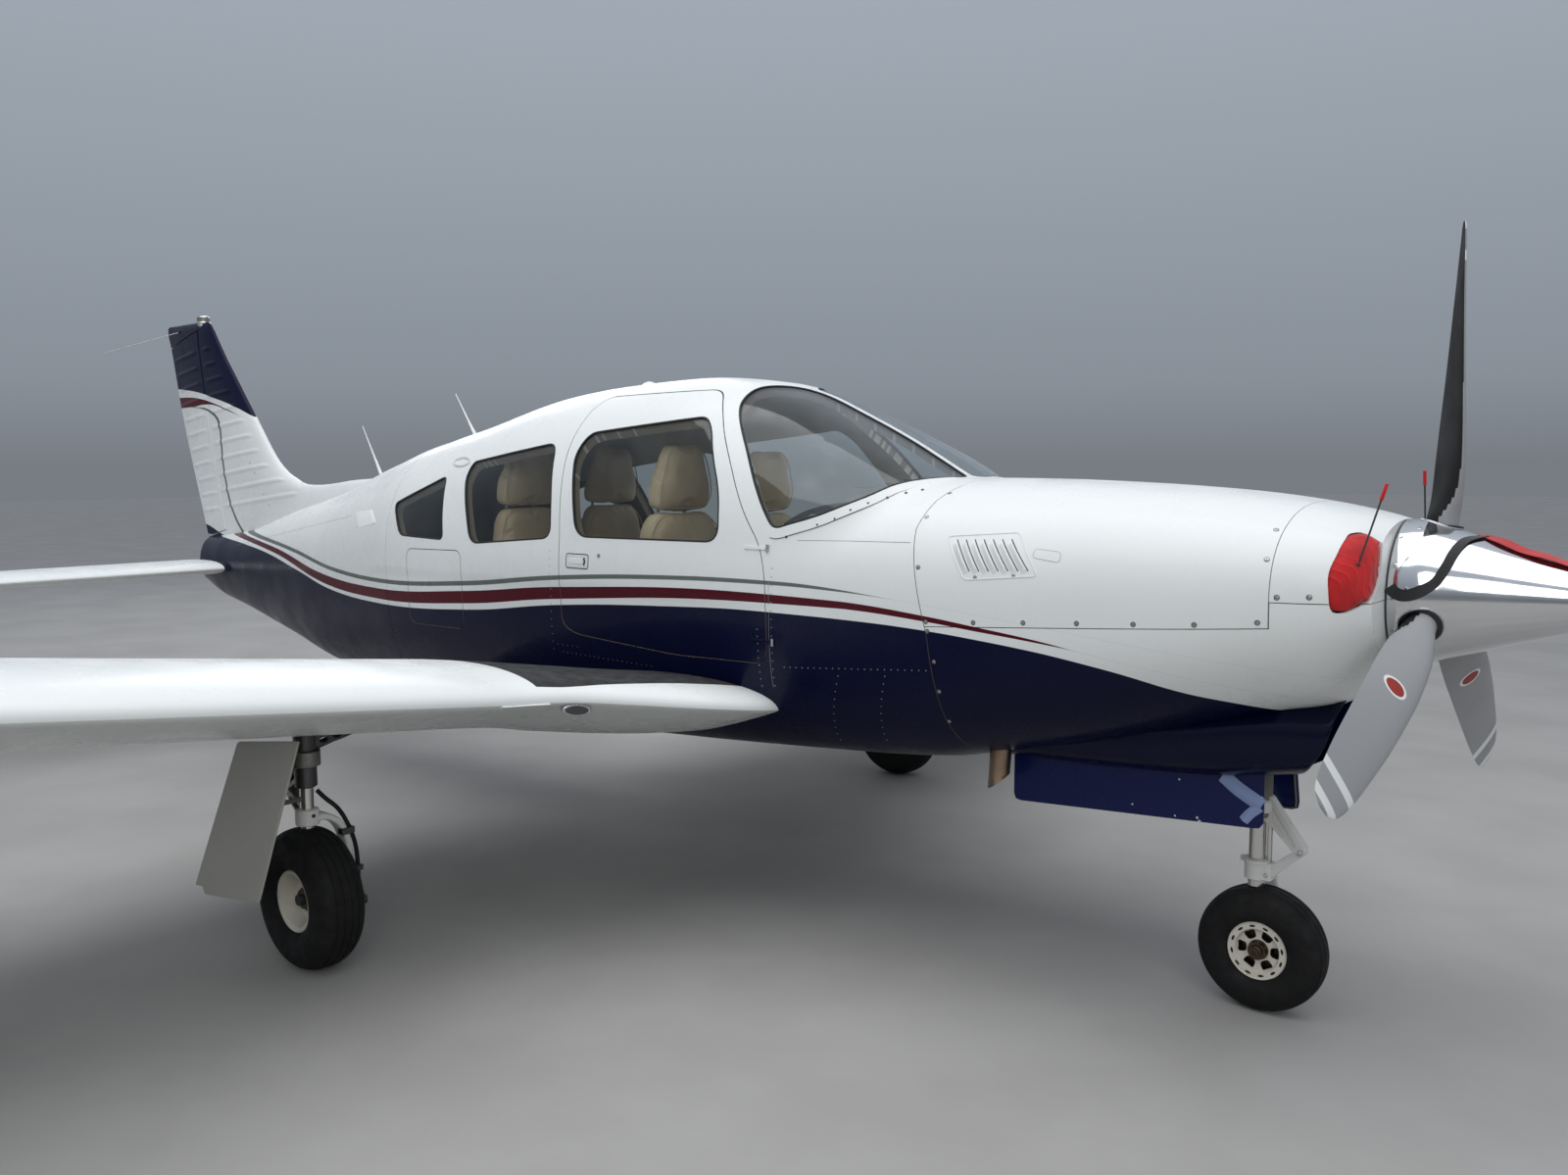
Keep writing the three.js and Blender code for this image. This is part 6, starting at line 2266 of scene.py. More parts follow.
@dataclass
class Propeller:
    """Polished spinner and three painted blades."""

    x: float = 3.314
    z: float = 1.232
    shank: float = 0.038
    # Place and radius of the spinner
    spinner: tuple = (
        (3.241, 0.1890), (3.265, 0.1900), (3.290, 0.1890), (3.350, 0.1690), (3.400, 0.1525),
        (3.500, 0.1180), (3.600, 0.0860), (3.700, 0.0560), (3.790, 0.0280), (3.830, 0.0140),
        (3.845, 0.0065), (3.849, 0.0),
    )
    # Distance from the axis, chord, thickness, pitch in degrees, sweep
    rows: tuple = (
        (0.060, 0.076, 0.076, 60, 0.000), (0.185, 0.076, 0.076, 60, 0.000),
        (0.240, 0.098, 0.050, 52, 0.004), (0.320, 0.128, 0.030, 42, 0.008),
        (0.450, 0.148, 0.022, 33, 0.010), (0.600, 0.154, 0.017, 26, 0.008),
        (0.760, 0.146, 0.013, 21, 0.000), (0.880, 0.126, 0.010, 18, -0.008),
        (0.935, 0.098, 0.008, 17, -0.015), (0.956, 0.062, 0.006, 17, -0.021),
        (0.9625, 0.020, 0.003, 17, -0.025),
    )
    angles: tuple[float, ...] = (-6.0, 114.0, 234.0)

    def turn(self, degrees: float) -> Matrix:
        """Turn about the axis, at its place."""
        return Matrix.Translation((self.x, 0, self.z)) @ Matrix.Rotation(np.radians(degrees), 4, "X")

    def blade(self) -> Shape:
        """Blade that stands on the axis: round at its shank, then a thin cambered section.

        At a turn t round the section the point lies at chord / 2 * cos t + sweep along the chord
        and at the half thickness across it, more of it in front than behind.

        Returns:
            The blade along z, from its shank to its tip.
        """
        radius = np.concatenate([np.linspace(0.06, 0.93, 110), np.linspace(0.935, 0.9625, 12)])
        chord, thick, pitch, sweep = (c[:, None] for c in smooth_rows(np.array(self.rows), radius).T)
        t = np.linspace(0, 2 * np.pi, 40, endpoint=False)[None]
        share = (1 - np.cos(t)) / 2
        side = np.where(np.sin(t) >= 0, 1.25, -0.75)
        wing = side * thick * half_thickness(share)
        blend = np.clip((radius[:, None] - 0.19) / 0.12, 0, 1)
        across = (1 - blend) * thick / 2 * np.sin(t) + blend * wing
        along = chord / 2 * np.cos(t) + sweep
        pitch = np.radians(pitch)
        x = np.sin(pitch) * along + np.cos(pitch) * across
        y = -np.cos(pitch) * along + np.sin(pitch) * across
        return Shape().grid(np.stack([x, y, np.broadcast_to(radius[:, None], x.shape)], -1))

    def build_spinner(self) -> None:
        """Makes the spinner with the holes that its blades pass through."""
        profile = np.array(self.spinner)
        x = np.concatenate([np.linspace(3.241, 3.83, 90), [3.838, 3.845, 3.849]])
        radius = smooth_rows(profile, x)[:, 0]
        rows = np.stack([x, np.maximum(radius, 0.0005)], -1)
        spinner = Shape().turned(rows, (0, 0, self.z), (1, 0, 0), 128).build("spinner_shell")
        hollow = np.stack([x[2:-6], radius[2:-6] - 0.004], -1)
        hollow = np.vstack([[(3.20, 0.184)], hollow])
        cut(spinner, Shape().turned(hollow, (0, 0, self.z), (1, 0, 0), 96))
        for degrees in self.angles:
            hole = Shape().bar((0, 0, 0.05), (0, 0, 0.30), self.shank + 0.013, 48)
            cut(spinner, hole.moved(self.turn(degrees)))
        finish(spinner, Finishes.of(FINISH_SPINNER), "propeller", ("spinner",), 25)
        trim = Shape()
        turn = np.linspace(0, 2 * np.pi, 97)
        hole = self.shank + 0.0125
        at, side = hole * np.cos(turn), hole * np.sin(turn)
        high = np.sqrt(smooth_rows(profile, self.x + at)[:, 0] ** 2 - side ** 2)
        lip = np.stack([at, side, high], -1)
        for degrees in self.angles:
            one = Shape().grid(swept(lip, ring_section(0.0028, 8), (0, 0, 1.0)))
            one.turned([(0.145, hole - 0.001), (0.172, hole - 0.001), (0.174, self.shank + 0.002),
                        (0.145, self.shank + 0.002)], (0, 0, 0), (0, 0, 1), 48, ring=True, mark=1)
            trim.join(one.moved(self.turn(degrees)))
        spots = [(3.253, 14 + 360 / 14 * step) for step in range(14)]
        spots += [(3.284, degrees + off) for degrees in self.angles for off in (-31, 32)]
        for x_at, degrees in spots:
            place, out = Covers().over_spinner(np.array([x_at]), np.array([degrees]), 0.0)
            trim.turned([(-0.001, 0.0062), (0.0006, 0.0060), (0.0012, 0.0042)], place[0], out[0], 12)
            trim.turned([(0, 0.0022), (0.0014, 0.0020)], place[0], out[0], 6, mark=1)
        finish(trim.build("spinner_trim"), Finishes.of(FINISH_STEEL, FINISH_DARK), "propeller")
        back = Shape().turned([(3.237, 0.050), (3.237, 0.1885), (3.2435, 0.1885), (3.2435, 0.050)],
                              (0, 0, self.z), (1, 0, 0), 96, ring=True)
        hub = Shape().turned([(3.16, 0.044), (3.25, 0.044), (3.26, 0.085), (3.37, 0.085),
                              (3.39, 0.060)], (0, 0, self.z), (1, 0, 0), 48)
        back.join(hub)
        finish(back.build("spinner_backplate"), Finishes.of(FINISH_DARK_METAL), "propeller")

    def build_blades(self) -> None:
        """Makes the blades, grey in front and dark behind."""
        for i, degrees in enumerate(self.angles, 1):
            obj = self.blade().moved(self.turn(degrees)).build(f"blade_{i}")
            mark_faces(obj, np.where(face_normals(obj)[:, 0] < -0.02, 1, 0))
            finish(obj, Finishes.of(FINISH_BLADE, FINISH_BLADE_BACK), "propeller",
                   (f"propeller_blade_{i}",), 50)

    def build(self) -> None:
        """Makes the propeller."""
        self.build_spinner()
        self.build_blades()


# Landing gear


def plate(outline: Array, low: float, high: float, edge: float = 0.0015) -> Shape:
    """Flat plate in x and z, from low to high along y, with its rims rounded off."""
    rows = [(low, offset(outline, -edge)), (low + edge, outline), (high - edge, outline),
            (high, offset(outline, -edge))]
    return Shape().grid(np.stack([np.insert(flat, 1, y, axis=1) for y, flat in rows]))


def around(centre: tuple[float, float], outline: Array, radius: float, count: int,
           low: float, high: float, phase: float = 0.0) -> Shape:
    """Copies of an outline set round a centre in x and z, each carried along y.

    The outline's first number runs outwards from the centre and its second one around it.

    Args:
        centre: place and height of the middle.
        outline: points of one copy.
        radius: distance of the copies from the middle.
        count: number of copies.
        low: y at which they start.
        high: y at which they end.
        phase: angle of the first copy.

    Returns:
        All copies as one shape.
    """
    shape = Shape()
    for turn in np.arange(count) * 2 * np.pi / count + phase:
        out, along = np.array([np.cos(turn), np.sin(turn)]), np.array([-np.sin(turn), np.cos(turn)])
        flat = (radius + outline[:, :1]) * out + outline[:, 1:] * along + centre
        shape.join(prism(flat, low, high))
    return shape


def ellipse(first: float, second: float, count: int = 24) -> Array:
    """Points round an ellipse."""
    turn = np.linspace(0, 2 * np.pi, count, endpoint=False)
    return np.stack([first * np.cos(turn), second * np.sin(turn)], -1)


def bolts(centre: Array, axis: Array, radius: float, count: int, size: float = 0.0045,
          high: float = 0.004, phase: float = 0.0, mark: int = 0) -> Shape:
    """Ring of six-sided bolt heads on a face that is square to an axis.

    Args:
        centre: middle of the ring.
        axis: direction that the heads point in.
        radius: radius of the ring.
        count: number of heads.
        size: radius of a head.
        high: height of a head.
        phase: angle of the first head.
        mark: number of their finish.

    Returns:
        All heads as one shape.
    """
    along, first, second = axes_of(axis)
    shape = Shape()
    for turn in np.arange(count) * 2 * np.pi / count + phase:
        place = np.asarray(centre) + radius * (np.cos(turn) * first + np.sin(turn) * second)
        shape.turned([(0, size), (high * 0.8, size), (high, size * 0.8)], place, along, 6, mark=mark)
    return shape


@dataclass(frozen=True)
class Wheel:
    """Tyre on a rim that turns about an axle along y."""

    name: str
    body: str
    centre: tuple[float, float, float]
    outer: float
    width: float
    bead: float
    # Distance outboard of the middle and radius, round the rim's section
    section: tuple
    # Number of windows, middle radius, half sizes outwards and around, depth of the outer face
    windows: tuple[int, float, float, float, float]
    # Number of slots in the flange and their radius
    slots: tuple[int, float]
    # Radius inside which the rim is dark: the hub's own colour, and painted shade in the dish round it
    dark: float
    outboard: int
    grooves: tuple[float, ...]
    groove: tuple[float, float] = (0.006, 0.0035)
    power: float = 2.5
    # Half sizes of a slot outwards and around, and its depth below the flange's lip
    slot: tuple[float, float, float] = (0.0036, 0.0085, 0.0080)

    def tyre(self) -> Shape:
        """Closed section turned about the axle, with grooves in its crown.

        At a turn t the section is half the width * cos(t) ** (2 / p) across, and its radius is the
        middle radius + half the height * sin(t) ** (2 / p), with signs kept. A groove takes its
        depth * (1 - (2 d / width) ** 4) away at a distance d from its middle.

        Returns:
            The tyre.
        """
        half, middle = self.width / 2, (self.outer + self.bead) / 2
        wide, deep = self.groove
        near = np.array([-0.55, -0.45, -0.3, 0, 0.3, 0.45, 0.55]) * wide
        at = (np.array(self.grooves)[:, None] + near).ravel()
        extra = np.arccos(np.sign(at) * np.abs(at / half) ** (self.power / 2))
        t = np.sort(np.concatenate([np.linspace(-np.pi / 3, 4 * np.pi / 3, 80), extra]))
        across = half * np.sign(np.cos(t)) * np.abs(np.cos(t)) ** (2 / self.power)
        rise = np.sign(np.sin(t)) * np.abs(np.sin(t)) ** (2 / self.power)
        radius = middle + (self.outer - middle) * rise
        away = np.abs(across[:, None] - np.array(self.grooves)).min(axis=1)
        cut_in = deep * np.clip(1 - (2 * away / wide) ** 4, 0, 1)
        radius = radius - np.where(radius > middle, cut_in, 0)
        profile = np.stack([across, radius], -1)
        return Shape().turned(profile, self.centre, (0, 1, 0), 120, ring=True)

    def rim(self) -> Object:
        """Rim with its web's windows and its flange's slots.

        Returns:
            The rim's object.
        """
        section = np.array(self.section) * (self.outboard, 1)
        rim = Shape().turned(section, self.centre, (0, 1, 0), 96, ring=True).build(self.name + "_wheel")
        x, y, z = self.centre
        count, radius, out, side, face = self.windows
        low, high = sorted([y + self.outboard * (face - 0.030), y + self.outboard * (face + 0.040)])
        cut(rim, around((x, z), rounded([(-out, -side * 0.7), (out, -side), (out, side),
                                         (-out, side * 0.7)], 0.008, 28), radius, count, low, high))
        count, radius = self.slots
        if count:
            lip = self.outboard * max(row[0] for row in self.section)
            out, side, deep = self.slot
            low, high = sorted([y + lip - self.outboard * deep, y + lip + self.outboard * 0.01])
            cut(rim, around((x, z), ellipse(out, side), radius, count, low, high, 0.2))
        return rim

    def build(self) -> None:
        """Makes the tyre and the rim."""
        finish(self.tyre().build(self.name + "_tread"), Finishes.of(FINISH_TYRE), self.body,
               (self.name + "_tyre",), 40)
        rim = self.rim()
        centres = face_centres(rim) - self.centre
        radius = np.hypot(centres[:, 0], centres[:, 2])
        # Dark faces: the hub, plus painted shade on the windows and deep web and on the slots' walls.
        deep = centres[:, 1] * self.outboard < self.windows[4] - 0.002
        marks = np.where((radius < self.dark) | (deep & (radius < self.windows[1] + 0.02)), 1, 0)
        lip = max(row[0] for row in self.section)
        out = centres[:, 1] * self.outboard
        walls = (np.abs(radius - self.slots[1]) < 0.006) & (out > 0.036) & (out < lip - 0.0045)
        marks = np.where(walls & (self.slots[0] > 0), 1, marks)
        mark_faces(rim, marks)
        finish(rim, Finishes.of(FINISH_CREAM, FINISH_BRONZE_AND_SHADE), self.body,
               (self.name + "_rim",))


NOSE_RIM = (
    (-0.033, 0.076), (-0.039, 0.079), (-0.041, 0.082), (-0.044, 0.084), (-0.047, 0.081),
    (-0.045, 0.066), (-0.038, 0.060), (-0.028, 0.056), (-0.028, 0.030), (-0.046, 0.028),
    (-0.046, 0.017), (0.048, 0.017), (0.048, 0.025), (0.030, 0.029), (0.030, 0.058),
    (0.041, 0.062), (0.0445, 0.064), (0.0445, 0.080), (0.047, 0.082), (0.0445, 0.084),
    (0.041, 0.082), (0.039, 0.079), (0.033, 0.076),
)
MAIN_RIM = (
    (-0.044, 0.084), (-0.050, 0.087), (-0.053, 0.095), (-0.057, 0.098), (-0.061, 0.095),
    (-0.056, 0.082), (-0.050, 0.074), (-0.030, 0.070), (-0.026, 0.036), (-0.055, 0.034),
    (-0.055, 0.019), (0.030, 0.019), (0.030, 0.030), (0.024, 0.034), (0.002, 0.038),
    (0.000, 0.062), (0.008, 0.071), (0.042, 0.077), (0.054, 0.081), (0.060, 0.088),
    (0.061, 0.094), (0.057, 0.098), (0.053, 0.095), (0.050, 0.087), (0.044, 0.084),
)


def wheels() -> list[Wheel]:
    """The nose wheel and the two main wheels.

    Returns:
        The nose wheel first.
    """
    made = [Wheel("nose", "nose_wheel", (2.9, 0, 0.1805), 0.1805, 0.126, 0.076, NOSE_RIM,
                  (6, 0.0455, 0.0120, 0.0180, 0.030), (12, 0.072), 0.0292, -1,
                  (-0.034, -0.012, 0.012, 0.034))]
    for side in Side:
        made.append(Wheel(
            f"main_{side.label}", f"main_wheel_{side.label}", (0.5, side.value * 1.6, 0.2225),
            0.2225, 0.160, 0.084, MAIN_RIM, (6, 0.050, 0.010, 0.0145, 0.001), (0, 0.0), 0.0450,
            side.value, (-0.036, -0.012, 0.012, 0.036),
        ))
    return made


@dataclass
class NoseGear:
    """Steered nose leg with its torque link, doors and well."""

    x: float = 2.900
    barrel: tuple[float, float, float] = (0.036, 0.560, 0.835)
    piston: float = 0.0240
    collar: tuple[float, float, float] = (0.0340, 0.378, 0.438)
    # Way from the axle forwards to the middle of the strut
    trail: float = -0.022
    axle_z: float = 0.1805
    arm_y: float = 0.087
    # Upper pin, apex and lower pin of the torque link
    pins: tuple = ((2.904, 0.610), (3.002, 0.482), (2.912, 0.400))
    eye: tuple[float, float] = (2.965, 0.545)

    def leg(self) -> None:
        """Barrel, chromed piston, collar, one-sided fork and axle."""
        x = self.x + self.trail
        radius, low, high = self.barrel
        shape = Shape()
        # The barrel, mark 3, takes the dark grey of painted shade in the nose well.
        shape.turned([(low, radius - 0.012), (low + 0.004, radius - 0.003), (low + 0.012, radius),
                      (high - 0.01, radius), (high, radius - 0.006)], (x, 0, 0), (0, 0, 1), 48,
                     mark=3)
        shape.turned([(0, radius + 0.004), (0.006, radius + 0.007), (0.030, radius + 0.007),
                      (0.036, radius + 0.002)], (x, 0, low + 0.02), (0, 0, 1), 48)
        shape.bar((x, 0, 0.36), (x, 0, low + 0.02), self.piston, 40, 1)
        shape.bar((x + 0.034, 0, 0.42), (x + 0.034, 0, low + 0.06), 0.0075, 20, 1)
        radius, low, high = self.collar
        shape.turned([(low, radius - 0.008), (low + 0.004, radius), (high - 0.010, radius + 0.001),
                      (high - 0.008, radius + 0.005), (high, radius + 0.005),
                      (high + 0.002, radius - 0.004)], (x, 0, 0), (0, 0, 1), 48)
        shape.block((x + 0.010, -0.024, low + 0.002), (x + 0.046, 0.024, high - 0.006), 0.006)
        shape.block((x - 0.047, -0.010, high - 0.012), (x - 0.020, 0.010, high + 0.001), 0.003)
        path = curve_through([(x, 0.005, 0.405), (x, 0.045, 0.401), (x + 0.003, 0.076, 0.372),
                              (x + 0.010, self.arm_y, 0.320), (self.x - 0.004, self.arm_y, 0.250),
                              (self.x, self.arm_y, self.axle_z)], 44)
        x = self.x
        half = np.interp(path[:, 2], [self.axle_z, 0.30, 0.40], [0.021, 0.026, 0.030])
        shape.grid(self.arm_rings(path, half))
        shape.bar((x, -0.052, self.axle_z), (x, 0.098, self.axle_z), 0.0145, 28, 1, 0.002)
        shape.bar((x, 0.074, self.axle_z), (x, 0.0975, self.axle_z), 0.028, 32, 0, 0.003)
        shape.turned([(0, 0.0165), (0.005, 0.0165), (0.007, 0.0145), (0.007, 0.0110),
                      (0.011, 0.0105), (0.012, 0.0060), (0.009, 0.0050), (0.009, 0.0005)],
                     (x, -0.050, self.axle_z), (0, -1, 0), 32, mark=2)
        leg = shape.build("nose_leg_strut")
        finish(leg, Finishes.of(FINISH_GEAR, FINISH_CHROME, FINISH_BRONZE_AND_SHADE, FINISH_WELL_SHADE), "nose_gear",
               ("nose_leg",))

    @staticmethod
    def arm_rings(path: Array, half: Array, thick: float = 0.010) -> Array:
        """Rings of a flat arm that lies along x, square to its path in y and z.

        Args:
            path: middle line of the arm.
            half: half width at each point.
            thick: half the thickness.

        Returns:
            A grid of path points by section points.
        """
        ahead = unit(np.gradient(path, axis=0))
        out = np.cross(ahead, (1.0, 0, 0))
        turn = np.linspace(0, 2 * np.pi, 24, endpoint=False)
        wide = np.sign(np.cos(turn)) * np.abs(np.cos(turn)) ** 0.5
        deep = np.sign(np.sin(turn)) * np.abs(np.sin(turn)) ** 0.5
        return (
            path[:, None] + half[:, None, None] * wide[:, None] * np.array([1.0, 0, 0])
            + thick * deep[:, None] * out[:, None]
        )

    def link(self) -> None:
        """Torque link of two tapered arms on three pins, with the towing eye ahead of it."""
        (ux, uz), (ax, az), (lx, lz) = self.pins
        upper = rounded([(ux - 0.012, uz + 0.014), (ux + 0.010, uz + 0.020), (ax + 0.016, az + 0.006),
                         (ax + 0.006, az - 0.016), (ax - 0.020, az - 0.006),
                         (ux + 0.020, uz - 0.075), (ux - 0.012, uz - 0.052)], 0.012, 72)
        lower = rounded([(ax - 0.004, az + 0.010), (ax + 0.012, az - 0.004), (lx + 0.006, lz - 0.014),
                         (lx - 0.012, lz - 0.004), (lx - 0.008, lz + 0.014)], 0.008, 60)
        arm = plate(upper, -0.015, 0.015).build("nose_link_arms")
        pocket = rounded([(ux + 0.016, uz - 0.010), (ax - 0.012, az + 0.012),
                          (ax - 0.022, az + 0.008), (ux + 0.018, uz - 0.052)], 0.008, 40)
        cut(arm, prism(pocket, -0.020, -0.0105).join(prism(pocket, 0.0105, 0.020)))
        shape = plate(lower, -0.011, 0.011)
        for (x, z), reach, radius in (((ux, uz - 0.016), 0.026, 0.009), ((ax, az), 0.021, 0.008),
                                      ((lx, lz), 0.024, 0.007)):
            shape.bar((x, -reach, z), (x, reach, z), radius, 24, 1, 0.0015)
            shape.join(bolts((x, -reach, z), (0, -1, 0), 0.0, 1, 0.006, 0.004), 1)
        ex, ez = self.eye
        shape.turned([(-0.004, 0.006), (0.004, 0.006), (0.006, 0.008), (0.006, 0.012),
                      (0.004, 0.0135), (-0.004, 0.0135), (-0.006, 0.012), (-0.006, 0.008)],
                     (ex, 0, ez), (0, 1, 0), 32, ring=True)
        shape.join(plate(rounded([(ex - 0.010, ez + 0.010), (ex - 0.010, ez - 0.010),
                                  (ux + 0.015, uz - 0.055), (ux + 0.015, uz - 0.015)], 0.004, 36),
                         -0.004, 0.004))
        cut(arm, shape.build("nose_link_rest"), Cut.JOIN)
        radius = np.abs(face_centres(arm)[:, 1])
        mark_faces(arm, np.where(radius > 0.0155, 1, 0))
        finish(arm, Finishes.of(FINISH_GEAR, FINISH_CHROME), "nose_gear",
               ("nose_torque_link",))

    def door(self, side: Side, corners: list, replaced: str) -> None:
        """Thin door beside the leg, with a folded rim and a stiffening fold, the fold's pale blue a
        painted reflection.

        Args:
            side: side of the aircraft.
            corners: outline in side view.
            replaced: node that it stands for.
        """
        y = side.value * 0.140
        outline = rounded(corners, 0.022, 96)
        shape = plate(outline, y - 0.004, y + 0.004, 0.0015)
        inner = side.value * -1
        rim = looped(np.insert(offset(outline, -0.006), 1, y + inner * 0.008, axis=1))
        # The inner rim, mark 2, takes the dark grey of painted shade on the door's inner side.
        shape.grid(swept(rim, slab_section(0.0015, -0.006, 0.004), (0, 1.0, 0)), mark=2)
        if side is Side.RIGHT:
            # The fold's pale blue, mark 1, is a painted reflection.
            fold = curve_through([(2.826, y - 0.0042, 0.700), (2.870, y - 0.0042, 0.668),
                                  (2.936, y - 0.0042, 0.632)], 20)
            section = [(-0.021, 0.0), (-0.003, 0.0085), (0.003, 0.0085), (0.021, 0.0)]
            shape.grid(swept(fold, section, (0, -1.0, 0)), mark=1)
            fold = curve_through([(2.930, y - 0.0042, 0.628), (2.905, y - 0.0042, 0.606),
                                  (2.886, y - 0.0042, 0.582)], 16)
            section = [(-0.014, 0.0), (-0.003, 0.006), (0.003, 0.006), (0.014, 0.0)]
            shape.grid(swept(fold, section, (0, -1.0, 0)), mark=1)
            for x, z, size in ((2.755, 0.566, 0.004), (2.762, 0.556, 0.005), (2.700, 0.668, 0.003),
                               (2.690, 0.560, 0.003), (2.935, 0.655, 0.003), (2.560, 0.571, 0.003)):
                shape.bar((x, y - 0.0046, z), (x, y - 0.003, z), size, 7, 3)
        obj = shape.build(f"nose_bay_door_{side.label}")
        finish(obj, Finishes.of(FINISH_DOOR, FINISH_FOLD_SHEEN, FINISH_WELL_SHADE, FINISH_CHIP), "root",
               (replaced,))

    def mount(self) -> None:
        """Trunnion, drag brace and hinge arms of the doors, in the well."""
        x = self.x
        shape = Shape()
        shape.bar((x, 0, 0.775), (x, 0, 0.825), 0.060, 48, 0, 0.004)
        shape.block((2.000, -0.028, 0.778), (2.880, 0.028, 0.822), 0.005)
        for side in Side:
            y = side.value
            shape.bar((x, 0, 0.800), (x, y * 0.112, 0.800), 0.020, 28, 0, 0.003)
            shape.tube([(2.10, y * 0.10, 0.80), (2.45, y * 0.105, 0.79), (2.84, y * 0.050, 0.785)],
                       0.011, 14, 24, 0)
            for arm_x in (2.30, 2.78):
                shape.tube([(arm_x, y * 0.108, 0.775), (arm_x, y * 0.126, 0.735),
                            (arm_x, y * 0.134, 0.690)], 0.006, 10, 12, 1)
        # The trunnion and brace take the dark grey of painted shade in the well.
        finish(shape.build("nose_gear_trunnion"), Finishes.of(FINISH_WELL_SHADE, FINISH_STEEL), "root",
               ("nose_gear_mount",))

    def build(self) -> None:
        """Makes the nose gear."""
        self.leg()
        self.link()
        self.mount()
        self.door(Side.RIGHT, [(2.165, 0.516), (2.940, 0.566), (2.940, 0.740), (2.165, 0.690)],
                  "nose_door_right")
        self.door(Side.LEFT, [(2.165, 0.530), (2.948, 0.560), (2.930, 0.740), (2.165, 0.690)],
                  "nose_door_left")


